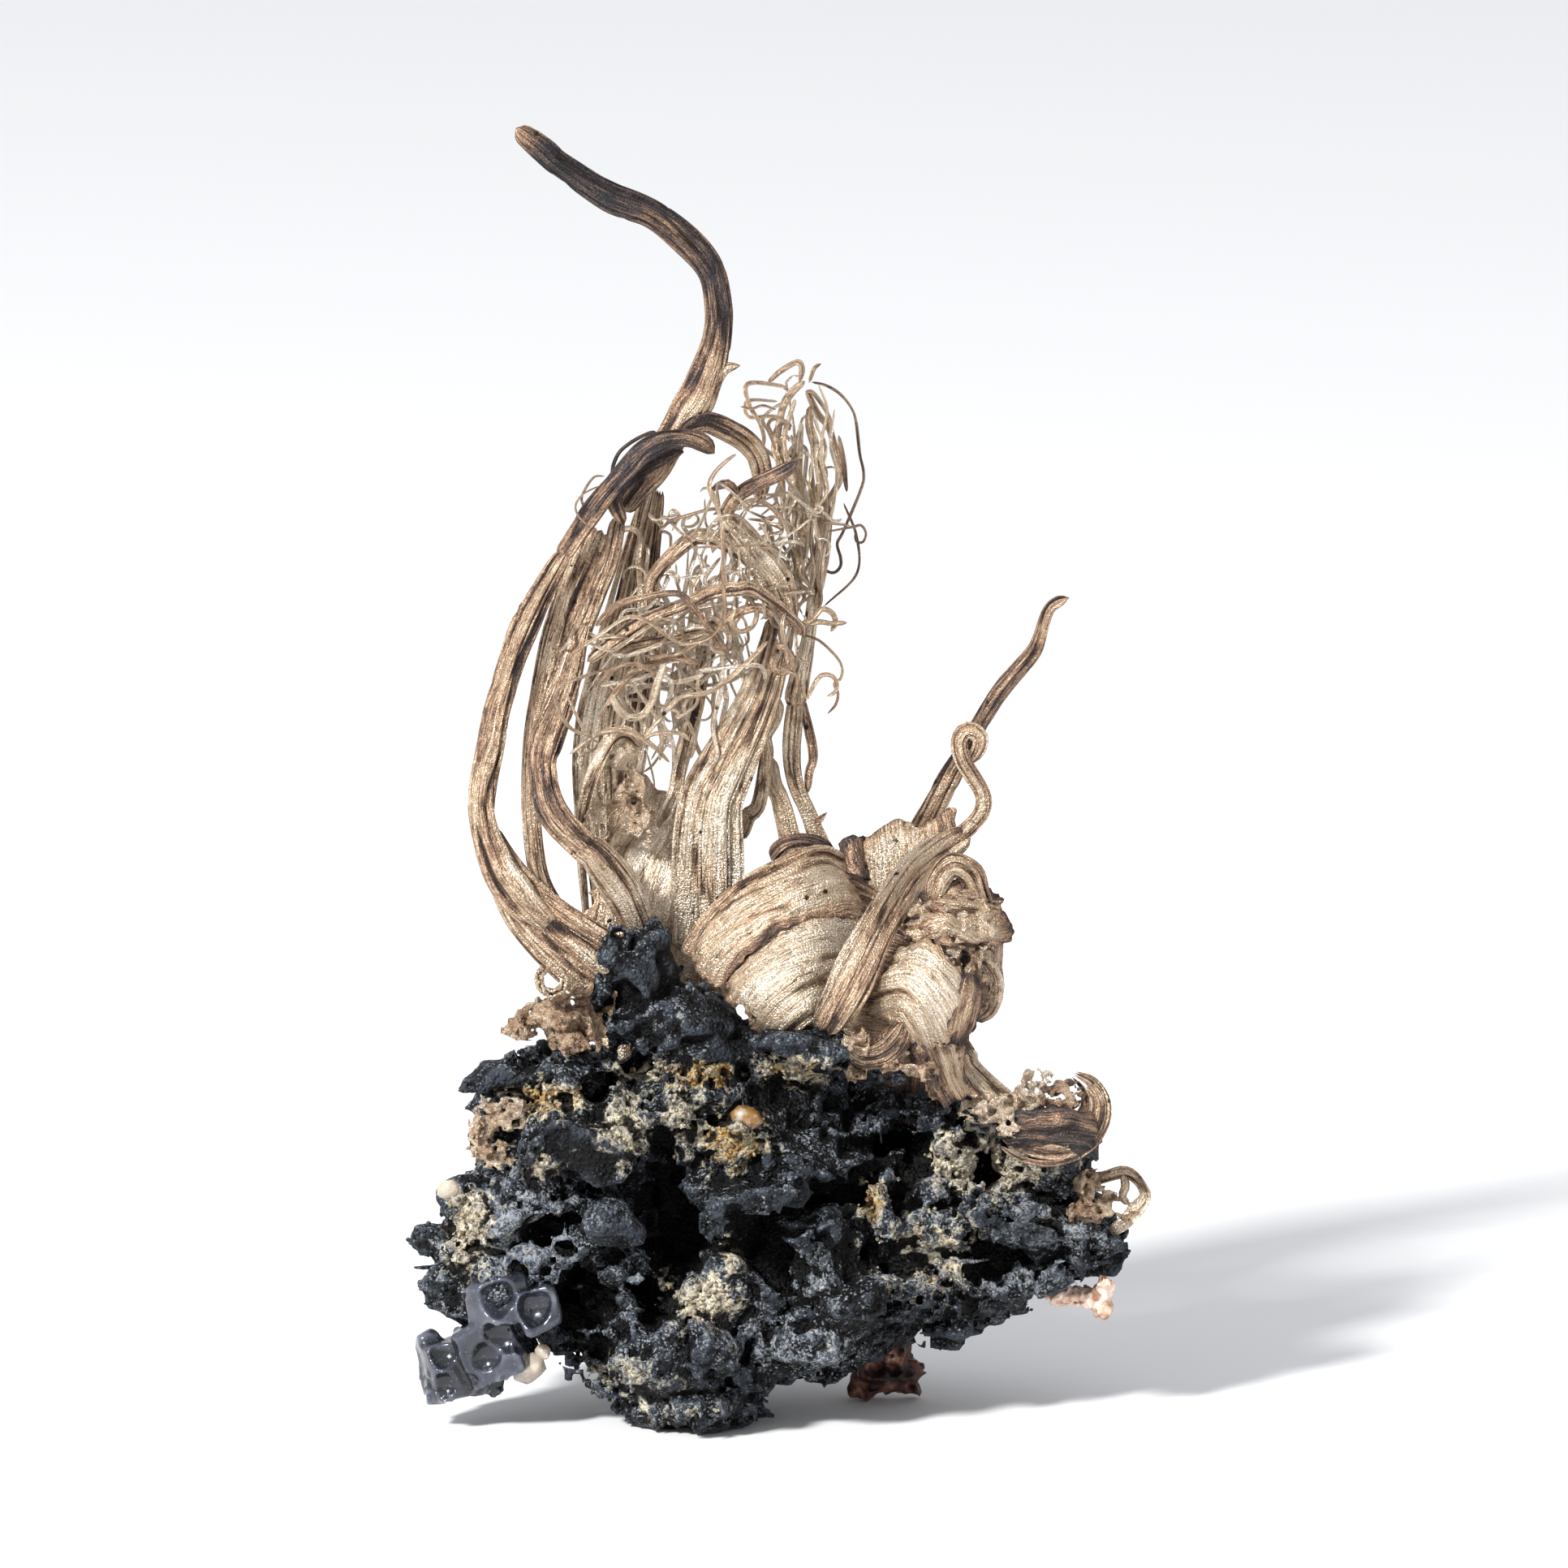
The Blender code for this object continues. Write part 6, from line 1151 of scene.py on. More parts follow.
TANGLE_WIRES = (
    (0.44, 0.66, -1.2, -10.85, 50.7, -10.15, 51.5, -9.1, 52.2, -6.5, 52.7, -5.5, 52.6, -4.9, 52,
     -3.7, 50.5, -3.2, 49.7, -2.6, 49),
    (0.24, 0.5, -1.8, -12.6, 48.6, -12.15, 49.15, -11.1, 49.8, -9.1, 51.15, -8.15, 51.2, -7.4, 50.85,
     -6, 49.85, -5.2, 49.6, -4, 49.9, -3.2, 50.6, -2.9, 51.5, -2.9, 52.9, -3.08, 57.1, -3.8, 59.1,
     -3.6, 60, -2.86, 60.8, -2.15, 61.3),
    (0.3, 0.45, 0.4, -7.85, 48.9, -6.8, 48.85, -5.5, 49.15, -3.4, 50.4),
    (0.24, 0.5, -1.8, -9.85, 48.15, -12.15, 47.4, -12.9, 47.1, -13.4, 46.3, -12.6, 44.6, -11.4, 43.9),
    (0.2, 0.4, -1.6, -12.7, 46.6, -11.9, 44.9, -11.4, 44.1, -10.6, 43.4),
    (0.46, 0.25, -1, -9.85, 46.5, -9.5, 45.7, -8.9, 45.1, -8, 45.2, -7.4, 46, -7.1, 47.1, -6.6, 48.4),
    (0.32, 0.42, -0.4, -7.9, 43.85, -6.15, 45.85, -5.4, 46.4, -3.7, 46.7, -1.85, 48.15, -0.2, 49.8),
    (0.26, 0.42, -0.8, -7.9, 43.8, -7.1, 44.1, -5.7, 44.1, -5, 43.6),
    (0.3, 0.4, -0.2, -12.5, 42.8, -11, 43.9, -9.8, 44.3, -8.4, 44, -7.2, 43.2, -6.3, 42.3),
    (0.34, 0.5, 1.8, 1.6, 50.2, 1.9, 50.8, 2.6, 51.2, 3.2, 51.8, 3.85, 51.5, 4, 50.9, 3.7, 50.4),
    (0.34, 0.55, 2, 1.8, 50.7, 2.9, 51, 3.8, 50.9, 4.7, 50.95),
    (0.18, 0.5, 2.8, 1.6, 50.3, 2.9, 49.9, 4, 48.9, 4.4, 48.15, 4.3, 47.5, 3.9, 47.15, 4.15, 46.6, 4, 45.9,
     3.5, 45.3),
    (0.24, 0.45, 1, -6.5, 57.2, -4, 57.9, -3.2, 57.9, -2.2, 57.4),
    (0.22, 0.4, 1.2, -6.4, 57.5, -6.1, 57.9, -5.7, 57.6, -5.9, 57.1, -6.3, 57.2, -6.9, 56.6),
    (0.2, 0.4, 1.6, -5.2, 57.3, -4.8, 57.7, -4.5, 57.3, -4.9, 56.9, -5.6, 56.9),
    (0.26, 0.5, -0.6, -10.9, 46.9, -10.2, 47.7, -9.2, 48.3, -8.2, 48.3, -7.3, 47.8, -6.6, 47),
    (0.22, 0.4, -1, -11.6, 49.9, -10.6, 49.4, -9.6, 49.3, -7.7, 50.6, -6.4, 51),
    (0.4, 0.5, 0.2, -10.6, 45.1, -9.8, 46.4, -8.8, 47.6, -7.4, 48.4, -6, 48.7, -4.4, 48.4),
    (0.3, 0.35, 0.6, -8.8, 47.4, -7.2, 45.2, -6.8, 43.8, -6.9, 42.4),
    (0.34, 0.5, -0.5, -3.9, 51.4, -3.1, 50.9, -2.6, 50, -2.9, 49.2, -3.6, 49.3, -3.7, 50),
    (0.3, 0.55, 0.3, -1.4, 52.6, -0.9, 51.6, -1.2, 50.7, -2, 50.4, -2.5, 51, -2.2, 51.8),
    (0.3, 0.4, 0.9, 1.2, 56.2, 0.6, 57.4, -0.2, 58.2, -1.2, 58.5, -2, 58.1),
    (0.2, 0.4, 0.9, 0.4, 55, -1.6, 57.2, -2.7, 57.6, -3.7, 57, -4.2, 55.8),
)
# The solids that the traced wires stand for.
WIRE_SOLIDS = {
    "head": ("head_wire_1", "head_wire_2", "head_wire_3", "head_wire_4", "head_wire_5", "outer_arc_wire",
             "head_loop_wire", "top_hook_wire"),
    "tangle": ("tangle_wire_grey", "tangle_wire_long", "hanging_loop_wire", "low_tangle_wire",
               "right_curl_wire", "curly_wire"),
}
# Families of wires that fill a region: how many, seed, then low and high (across, up, back) of
# the first point, of the drift to the last, how far they stray, width and tarnish spans.
WIRE_FAMILIES = {
    "sweeping_wires": (13, 5, (-12.6, 44.6, -0.8), (-9.0, 49.8, 2.6), (5.0, 0.4, -0.6), (11.5, 4.6, 0.9),
                       1.3, (0.14, 0.3), (0.08, 0.38)),
    "rising_wires": (34, 9, (-9.4, 40.0, 2.6), (-2.0, 46.5, 5.2), (-1.2, 7.0, -0.6), (1.8, 12.5, 0.8),
                     0.7, (0.14, 0.38), (0.05, 0.35)),
    "hanging_wires": (18, 14, (-6.5, 51.0, 0.6), (1.6, 57.0, 3.6), (-1.6, -6.5, -0.8), (1.8, -3.0, 0.9),
                      1.1, (0.14, 0.28), (0.15, 0.42)),
    "head_fill_wires": (24, 21, (1.2, 51.0, 2.6), (3.2, 55.5, 6.0), (-1.3, 6.5, -0.5), (1.1, 11.5, 0.5),
                        0.5, (0.14, 0.32), (0.18, 0.5)),
    "mid_loop_wires": (18, 33, (-6.0, 53.5, 0.8), (1.0, 58.0, 3.4), (0.8, -1.8, -0.8), (4.6, 2.2, 1.0),
                       1.2, (0.12, 0.24), (0.12, 0.4)),
}
# Quartz. name: (place, way it points, radius, length).
QUARTZ_FORMS = {
    "quartz_crystal_left": ((-20.1, 15.7, -1.2), (-0.75, -0.35, 0.25), 0.62, 1.5),
    "quartz_crystal_front": ((-15.1, 4.6, -3.2), (-0.75, -0.6, -0.35), 0.95, 2.3),
    "quartz_grain_golden": ((-1.5, 20.3, -6.0), (0.95, -0.25, -0.1), 0.65, 2.1),
    "quartz_grain_foot": ((-14.2, 5.6, -3.4), (0.6, -0.5, -0.5), 0.5, 1.1),
}


def wild_wires(family, settings):
    """Wires of one family. Each starts at a random place, drifts to another, and strays from the
    straight line by smooth random steps, and about half of them curl over at the end."""
    count, seed, low, high, drift_low, drift_high, stray, widths, tarnishes = family
    random = np.random.default_rng(seed + settings.seed)
    parts = []
    for index in range(max(1, int(count * settings.density))):
        start = random.uniform(low, high)
        drift = random.uniform(drift_low, drift_high)
        steps = random.integers(6, 10)
        share = np.linspace(0, 1, steps)[:, None]
        bow = np.sin(share * math.pi) * random.normal(size=3) * stray
        sway = random.normal(size=(steps, 3)) * stray * 0.42
        places = start + drift * share + bow + sway * np.array([1, 1, 0.8])
        if random.random() < 0.55:
            turn = random.uniform(1.5, 4.5) * random.choice([-1, 1])
            bend = np.linspace(0, turn, 6)[1:, None]
            ahead = unit(places[-1] - places[-2])
            beside = np.array([-ahead[1], ahead[0], 0.25])
            radius = random.uniform(0.25, 0.8)
            curl = radius * (np.sin(np.abs(bend)) * ahead + np.sign(turn) * (1 - np.cos(bend)) * beside)
            places = np.vstack([places, places[-1] + curl])
        parts.append(wire(with_width(places, random.uniform(*widths) * settings.thickness,
                                     random.uniform(*tarnishes)), 7, 0.2, seed * 50 + index))
    return stack_parts(parts)


def with_width(places, width, stain):
    """Places with a width and a tarnish beside them, thinner at both ends."""
    rows = np.column_stack([places, np.full((len(places), 2), (width, stain))])
    rows[[0, -1], 3] *= 0.7
    return rows


def traced_wires(rows, seed, settings):
    """The named round wires of a table, each held near its own depth by a slow wave."""
    parts = []
    for index, (width, stain, back, *places) in enumerate(rows):
        places = np.reshape(places, (-1, 2))
        wave = 0.35 * np.sin(np.arange(len(places)) * 0.9 + index)
        rows = with_width(np.column_stack([places, back + wave]), width * settings.thickness, stain)
        parts.append(wire(rows, 10, 0.13, seed + index))
    return stack_parts(parts)


def crumpled_foil(step, seed, size, granular, tarnish, lumps):
    """Foil crumpled inside a lumpy envelope: the sheets where a warped noise is within 0.13 of
    nothing, kept where they lie inside, with granular relief on them."""
    def relief(points, inside):
        foil = np.abs(noise(warped(points, 1.1, 0.5, seed), size, seed + 3)) - 0.13
        grain = granular * (noise(points, 0.42, seed + 4) + 0.7 * noise(points, 0.24, seed + 5))
        return np.maximum(inside, melt(foil * size * 0.9, inside + 0.75, 0.3)) - inside - grain

    def wear_and_shade(points):
        low, speck = noise(points, 1.4, seed + 6), noise(points, 0.3, seed + 7)
        return stacked(tarnish + 0.22 * (low + speck), -1.3 * noise(points, 0.42, seed + 4))

    return lump_part(lumps, step, relief, wear_and_shade, 0.5)


def granular_lump(lumps, step, seed, heights, sizes, tarnish, spread):
    """A nuggety mass: ellipsoids melted together under two billowed noises."""
    def relief(points, _):
        return (heights[0] * (np.abs(noise(points, sizes[0], seed)) * 2 - 0.5)
                + heights[1] * noise(points, sizes[1], seed + 1))

    def wear_and_shade(points):
        return stacked(tarnish + spread * noise(points, 0.9, seed + 2), 0)

    return lump_part(lumps, step, relief, wear_and_shade, 0.25)


def spiral_part():
    """A rolled ribbon: a band whose middle line turns 1.7 times inwards, seen end on."""
    spin = np.linspace(0, 3.4 * math.pi, 150)[:, None]
    wide = np.linspace(-0.75, 0.75, 14)
    reach = 1.06 - 0.52 * spin / spin[-1] + 0.05 * np.sin(spin * 7 + wide * 4) + 0.04 * np.sin(spin * 23)
    base = stacked(-13.5 + np.cos(spin + 2.2) * reach, 28.8 + np.sin(spin + 2.2) * reach,
                   -4.6 + wide + 0.12 * np.sin(spin * 3))
    normal = unit(np.cross(np.gradient(base, axis=1), np.gradient(base, axis=0)))
    front = base + normal * (0.08 + 0.05 * noise(base, 0.4, 941))[..., None]
    return plate(front, base - normal * 0.08, stacked(0.42 + 0.15 * noise(base, 0.8, 942), 0), base)


def cube_distance(points, cube):
    """How far each point is outside a rounded cube, turned about the upright and then leaned."""
    turn, lean = np.radians(cube[4:])
    along = np.array([math.cos(turn) * math.cos(lean), math.sin(turn), math.sin(lean)])
    rise = np.array([-math.sin(lean), 0, math.cos(lean)])
    along = unit(along)
    rise = unit(rise - along * (along @ rise))
    ways = np.stack([along, np.cross(rise, along), rise], -1)
    return box_distance(np.abs((points - at(cube[:3])) @ ways) - cube[3] + 0.4) - 0.4


def glassy_part(step=0.13):
    """Glassy crystals: rounded cubes melted at the joints, less scooped balls that leave thin
    ridges between their hollows. The paint is painted shade and highlight, high in hollows and
    low on ridges."""
    low = (-19.2, -6.6, 0.6)
    grid = grid_between(low, (-8.6, 3.4, 12.4), step)
    bent = warped(grid, 2.4, 0.22, 501)
    values = melted(bent, GLASSY_CUBES, cube_distance, 0.3)
    for scoop in GLASSY_SCOOPS:
        values = -melt(-values, np.linalg.norm(bent - at(scoop[:3]), axis=-1) - scoop[3], 0.1)
    knobs = ease(0.45, 0.75, np.abs(noise(grid, 0.5, 510))) * ease(0.5, -0.5, grid[..., 2] - 4)
    points, faces = closed_form(values - 0.05 * noise(grid, 0.9, 509) - 0.12 * knobs, low, step)
    # Painted shade in the hollows and painted highlight on the ridges, from how far each point lies under its
    # neighbours.
    hollow = 0.5 + shadowing(points, faces) / 0.3
    return {"points": points, "faces": [faces], "wear_and_shade": stacked(hollow, 0), "flow": points}


def quartz_part(place, way, radius, length, seed):
    """A quartz grain: a six-sided prism that narrows at each end, its rings pushed a little out
    of true."""
    random = np.random.default_rng(seed)
    heights = np.array([-0.5, -0.34, -0.12, 0.1, 0.26, 0.5]) * length
    widths = np.array([0.12, 0.86, 1.0, 0.97, 0.88, 0.1]) * radius
    angle = (np.arange(6) / 6 * 2 * math.pi + 0.3)[:, None]
    ahead = unit(np.asarray(way, float))
    side = unit(np.cross(ahead, (0.1, 0.3, 1.0)))
    reach = widths[:, None] * (1 + random.uniform(-0.12, 0.12, (1, 6)) + random.uniform(-0.04, 0.04, (6, 6)))
    points = (np.array(place) + heights[:, None, None] * ahead
              + reach[..., None] * (np.cos(angle) * side + np.sin(angle) * np.cross(ahead, side)))
    return tube(points, np.full((6, 6, 2), 0.5), points)


# ---------------------------------------------------------------- finishes

SMOOTH = {"interpolation_type": "SMOOTHSTEP"}
COLOURS = {"data_type": "RGBA"}


def linear(code):
    """Linear red, green, blue and 1 of an sRGB hex colour such as #C0A080."""
    parts = [int(code[k:k + 2], 16) / 255 for k in (1, 3, 5)]
    return (*[c / 12.92 if c <= 0.04045 else ((c + 0.055) / 1.055) ** 2.4 for c in parts], 1.0)


class Look:
    """A new material with its shader and its place on the piece in metres."""
    def __init__(self, name):
        self.material = bpy.data.materials.new(name)
        self.material.use_nodes = True
        self.tree = self.material.node_tree
        self.shader = self.tree.nodes["Principled BSDF"]
        self.place = self.add("TexCoord").node.outputs["Object"]

    def feed(self, sockets, values):
        """Gives each socket its value or link."""
        for socket, value in zip(sockets, values):
            if isinstance(value, bpy.types.NodeSocket):
                self.tree.links.new(value, socket)
            else:
                socket.default_value = value

    def add(self, kind, *values, stops=(), **settings):
        """Adds a node with its settings and the stops of its colour ramp, feeds the inputs that it
        shows in turn, and gives back its first output."""
        node = self.tree.nodes.new("ShaderNode" + kind)
        for key, value in settings.items():
            setattr(node, key, value)
        for _ in stops[2:]:
            node.color_ramp.elements.new(0.5)
        for index, stop in enumerate(stops):
            node.color_ramp.elements[index].position, node.color_ramp.elements[index].color = stop
        self.feed([socket for socket in node.inputs if socket.enabled], values)
        return next(socket for socket in node.outputs if socket.enabled)

    def sums(self, start, *terms):
        """A number plus the sum of (output, weight) pairs."""
        for output, weight in terms:
            start = self.add("Math", output, weight, start, operation="MULTIPLY_ADD")
        return start

    def finish(self, relief, height, strength=1.0, **inputs):
        """Feeds the shader its inputs, where _ stands for a space, over a bump of so many
        millimetres."""
        bump = self.add("Bump").node
        self.feed([bump.inputs[name] for name in ("Strength", "Distance", "Height")],
                  (strength, relief * MM, height))
        inputs["Normal"] = bump.outputs[0]
        self.feed([self.shader.inputs[name.replace("_", " ")] for name in inputs], inputs.values())
        return self.material


# Values are fed in the order in which a node shows its inputs. A noise texture takes its place,
# waves a metre, octaves and roughness, and a map range takes a value, its span and the span it
# goes to. The fibre noises read an attribute in millimetres, so theirs are waves a millimetre.
def silver_material(look, settings):
    """Native silver, drawn out fibrous in its host rock and tarnished in air. To the eye it is a
    pale warm metal that goes tan, brown and grey-black with tarnish, darkest in its grooves,
    with a sheen that runs in hairlines along the fibres."""
    add, place = look.add, look.place
    # The first paint column is tarnish, with painted shadow on the back leaf and painted shade on the shaded
    # sheet; the second marks the grooves, where dark tarnish lies.
    wear_and_shade = add("SeparateColor", add("Attribute", attribute_name="wear_and_shade")).node.outputs
    flow = add("Attribute", attribute_name="flow").node.outputs["Vector"]
    # Fibres 0.25 mm and hairlines 0.07 mm apart, twenty times as long, and a mottle 1 mm wide.
    fibre, hair = add("TexNoise", flow, 4.2, 3.0, 0.7), add("TexNoise", flow, 15.0, 2.0, 0.6)
    mottle, grain = add("TexNoise", place, 1000.0, 3.0, 0.6), add("TexNoise", place, 8000.0, 1.0, 0.6)
    tarnish = look.sums(-1.27, (wear_and_shade[0], 1.0), (fibre, 0.75), (hair, 0.95), (mottle, 0.3), (grain, 0.35))
    colour = add("ValToRGB", tarnish, stops=(
        (0.0, settings.pale), (0.22, settings.beige), (0.46, settings.tan), (0.64, settings.brown),
        (0.82, settings.mauve), (1.0, settings.dark)))
    # Soot lies in the modelled grooves and along hair-thin cracks, where the fibre noise passes
    # its middle, and goes where the mottle is thin.
    from_middle = add("Math", look.sums(-0.5, (fibre, 1.0)), operation="ABSOLUTE")
    crack = add("MapRange", from_middle, 0.014, 0.002, **SMOOTH)
    soot = add("MapRange", look.sums(-0.5, (crack, 0.5), (wear_and_shade[1], 0.5), (mottle, 0.9)),
               0.05, 0.7, 0.0, 0.9, **SMOOTH)
    colour = add("Mix", soot, colour, settings.crevice, **COLOURS)
    # Pinholes, in one out of eight or so of the cells of a pattern 1.1 mm wide.
    cells = add("TexVoronoi", place, 900.0).node.outputs
    near = add("MapRange", look.sums(0.0, (cells["Distance"], 1.0), (grain, 0.3)), 0.34, 0.26, **SMOOTH)
    chosen = add("MapRange", add("SeparateColor", cells["Color"]), 0.86, 0.9, **SMOOTH)
    hole = add("Math", near, chosen, operation="MULTIPLY")
    shine = add("MapRange", tarnish, 0.0, 1.0, 0.27, 0.5, **SMOOTH)
    return look.finish(
        0.16, look.sums(0.0, (fibre, 1.0), (hair, 0.7), (grain, 0.7), (mottle, 0.3), (crack, -0.3)),
        Base_Color=add("Mix", hole, colour, settings.crevice, **COLOURS),
        Metallic=add("MapRange", tarnish, 0.0, 0.8, 0.88, 0.5, **SMOOTH),
        Roughness=look.sums(-0.1, (shine, 1.0), (grain, 0.25)))


def acanthite_material(look, settings):
    """Acanthite rock with crusts. To the eye it is a blue-black sooty mass made of small grains,
    each with its own tone, with pale specks that are partly grains and partly painted glints,
    dusted grey in places, the dust partly a painted highlight on faces turned to the key light,
    under granular cream, ochre and rust-brown crusts. Painted shade turns its clefts black, and
    its knobs are paler, partly as wear and partly as a painted highlight."""
    add, place = look.add, look.place
    # The crust paint: cream, ochre and dust, the dust partly a painted highlight on faces turned to the key
    # light, and in its fourth column painted shade, high in clefts and low on knobs.
    paint = add("Attribute", attribute_name="crust").node.outputs
    crust, painted_shade_and_knob_light = add("SeparateColor", paint["Color"]).node.outputs, paint["Alpha"]
    broad, middle = add("TexNoise", place, 250.0, 2.0, 0.6), add("TexNoise", place, 900.0, 3.0, 0.6)
    sand = add("TexNoise", place, 6000.0, 2.0, 0.7)
    # Grains a third of a millimetre wide, each with three numbers of its own.
    cells = add("TexVoronoi", place, 3000.0).node.outputs
    own = add("SeparateColor", cells["Color"]).node.outputs
    knob = add("MapRange", cells["Distance"], 0.1, 0.6, 1.0, 0.0, **SMOOTH)
    tone = look.sums(-1.5, (middle, 0.9), (broad, 0.9), (own[0], 0.5), (sand, 0.8), (knob, 0.16))
    stone = add("ValToRGB", tone, stops=(
        (0.0, settings.dark_stone_and_shade), (0.26, settings.stone), (0.52, settings.stone_light),
        (0.80, settings.dust)))
    dusty = add("ValToRGB", look.sums(-0.1, (own[2], 0.6), (sand, 0.6)), stops=(
        (0.15, settings.stone), (0.4, settings.dust), (0.8, settings.pale_dust_and_glints)))
    dust = look.sums(-1.05, (crust[2], 1.0), (middle, 1.1), (own[1], 0.45))
    stone = add("Mix", add("MapRange", dust, 0.10, 0.6, 0.0, 0.9, **SMOOTH), stone, dusty, **COLOURS)
    # Pale specks an eighth of a millimetre wide, one grain in ten or so, and more of them where dust lies:
    # partly pale grains and partly painted glints.
    chance = add("SeparateColor", add("TexVoronoi", place, 8000.0).node.outputs["Color"])
    bright = look.sums(0.0, (chance, 1.0), (crust[2], 0.3), (middle, 0.8), (broad, 0.5))
    bright = add("Math", add("MapRange", bright, 1.48, 1.72, **SMOOTH),
                 add("MapRange", crust[2], 0.0, 0.4, 0.08, 0.75, **SMOOTH), operation="MULTIPLY")
    stone = add("Mix", bright, stone, settings.pale_dust_and_glints, **COLOURS)
    cream = add("ValToRGB", look.sums(-0.1, (own[1], 0.55), (sand, 0.7)), stops=(
        (0.2, settings.cream_dark), (0.55, settings.cream), (0.95, settings.cream_light)))
    ochre = add("ValToRGB", look.sums(0.0, (own[1], 0.5), (sand, 0.6)), stops=(
        (0.25, settings.rust), (0.5, settings.ochre), (0.8, settings.cream)))
    stain = look.sums(-0.85, (crust[1], 1.3), (middle, 0.9), (own[2], 0.3))
    crusts = add("Mix", add("MapRange", stain, 0.1, 0.5, **SMOOTH), cream, ochre, **COLOURS)
    cover = look.sums(-1.42, (crust[0], 1.15), (middle, 1.8), (own[0], 0.4))
    cover = add("MapRange", cover, 0.12, 0.45, **SMOOTH)
    colour = add("Mix", cover, stone, crusts, **COLOURS)
    # Painted shade: clefts and hollows go towards the darkest stone, and knobs towards dust, partly as wear
    # and partly as a painted highlight.
    knob_wear_and_highlight, black = (add("MapRange", painted_shade_and_knob_light, *ends, 0.0, most, **SMOOTH)
                   for *ends, most in ((0.42, 0.05, 0.35), (0.47, 0.70, 0.97)))
    colour = add("Mix", knob_wear_and_highlight, colour, settings.dust, **COLOURS)
    glint = add("MapRange", own[0], 0.9, 0.97, 0.62, 0.25, **SMOOTH)
    return look.finish(0.4, look.sums(0.0, (knob, 0.8), (sand, 0.7), (middle, 1.2)),
                       Base_Color=add("Mix", black, colour, settings.dark_stone_and_shade, **COLOURS),
                       Specular_IOR_Level=0.22, Roughness=look.sums(0.0, (glint, 1.0), (cover, 0.2)))


def glassy_material(look, settings):
    """Acanthite crystals with fused-looking faces. To the eye they are smoky dark grey and wet,
    with painted shade that turns the deepest scoops olive-black, partly an olive tint of their
    own, and painted highlights in narrow bright lines along the ridges where the hollows meet."""
    add, place = look.add, look.place
    cloud, specks = add("TexNoise", place, 450.0, 2.0, 0.6), add("TexNoise", place, 6000.0, 1.0, 0.6)
    # The first paint column is painted shade in the scoops and painted highlight on the ridges; the ramp runs
    # from the dust colour on ridges to the darkest smoke in the scoops.
    hollow = add("SeparateColor", add("Attribute", attribute_name="wear_and_shade"))
    colour = add("ValToRGB", look.sums(-0.4, (hollow, 1.0), (cloud, 0.8)), stops=(
        (0.1, settings.dust), (0.3, settings.smoke_light), (0.55, settings.smoke),
        (0.85, settings.smoke_dark_and_shade)))
    grain = add("MapRange", specks, 0.66, 0.72, 0.0, 0.6, **SMOOTH)
    return look.finish(0.08, cloud, 0.25, Metallic=0.35, Coat_Weight=0.5, Coat_Roughness=0.08,
                       Base_Color=add("Mix", grain, colour, settings.dust, **COLOURS),
                       Roughness=add("MapRange", specks, 0.35, 0.7, 0.16, 0.34, **SMOOTH))


def quartz_material(look, tint):
    """Quartz grains, grown in the cavity and etched. To the eye they are milky clear, warm where
    iron has stained them."""
    cloud = look.add("TexNoise", look.place, 1400.0, 2.0, 0.6)
    milk = look.add("MapRange", cloud, 0.4, 0.7, 0.0, 0.6, **SMOOTH)
    return look.finish(0.1, cloud, 0.3, Transmission_Weight=0.55, IOR=1.544,
                       Base_Color=look.add("Mix", milk, tint, linear("#F4EEE2"), **COLOURS),
                       Roughness=look.add("MapRange", cloud, 0.3, 0.7, 0.12, 0.4, **SMOOTH))


def crust_material(look, *codes):
    """Copper-brown crust, grown as tiny nuggets. To the eye it runs from paler knobs to dark
    red-brown between them, with a few wet glints."""
    wear_and_shade = look.add("SeparateColor", look.add("Attribute", attribute_name="wear_and_shade"))
    grain = look.add("TexNoise", look.place, 3600.0, 3.0, 0.6)
    colour = look.add("ValToRGB", look.sums(-0.35, (wear_and_shade, 1.0), (grain, 0.7)),
                      stops=tuple(zip((0.1, 0.4, 0.66, 0.93), map(linear, codes))))
    return look.finish(0.12, grain, 0.7, Metallic=0.35, Base_Color=colour,
                       Roughness=look.add("MapRange", grain, 0.35, 0.7, 0.6, 0.28, **SMOOTH))


# ---------------------------------------------------------------- settings

def colour(name, description, code):
    """A colour setting."""
    return FloatVectorProperty(name=name, description=description, subtype="COLOR", size=4, min=0.0, max=1.0,
                               default=linear(code))


def share(name, description, most=3.0):
    """A setting that scales something, 1 as it stands."""
    return FloatProperty(name=name, description=description, subtype="FACTOR", default=1.0, min=0.0, max=most)


class RockSettings(bpy.types.PropertyGroup):
    step: FloatProperty(name="Grain of mesh", default=0.35, min=0.2, max=1.5,
                        description="Distance between the points of the matrix, in millimetres")
    relief: share("Relief", "Height of lumps, clefts and grains, as a share", 2.0)
    crumbs: IntProperty(name="Crumbs", description="Number of loose-looking grains on the crusts",
                        default=5200, min=0, max=9000)
    stone: colour("Stone", "Acanthite", "#090B10")
    # Also the colour of the painted shade in clefts and hollows.
    dark_stone_and_shade: colour("Stone, dark", "Acanthite in pits", "#030304")
    stone_light: colour("Stone, light", "Acanthite on worn knobs", "#1C2029")
    # Also the colour towards which knobs are lightened, partly as a painted highlight.
    dust: colour("Dust", "Grey dust and bright grains", "#575F6A")
    # Also the colour of the specks that are partly painted glints.
    pale_dust_and_glints: colour("Dust, light", "Palest dust grains", "#A4A8AC")
    cream: colour("Cream crust", "Granular cream crust", "#C9BDA0")
    cream_light: colour("Cream crust, light", "Tops of the cream grains", "#EBE4D2")
    cream_dark: colour("Cream crust, dark", "Between the cream grains", "#6E6257")
    ochre: colour("Ochre crust", "Iron-stained crust", "#B8934F")
    rust: colour("Rust", "Deepest iron stain", "#77501F")


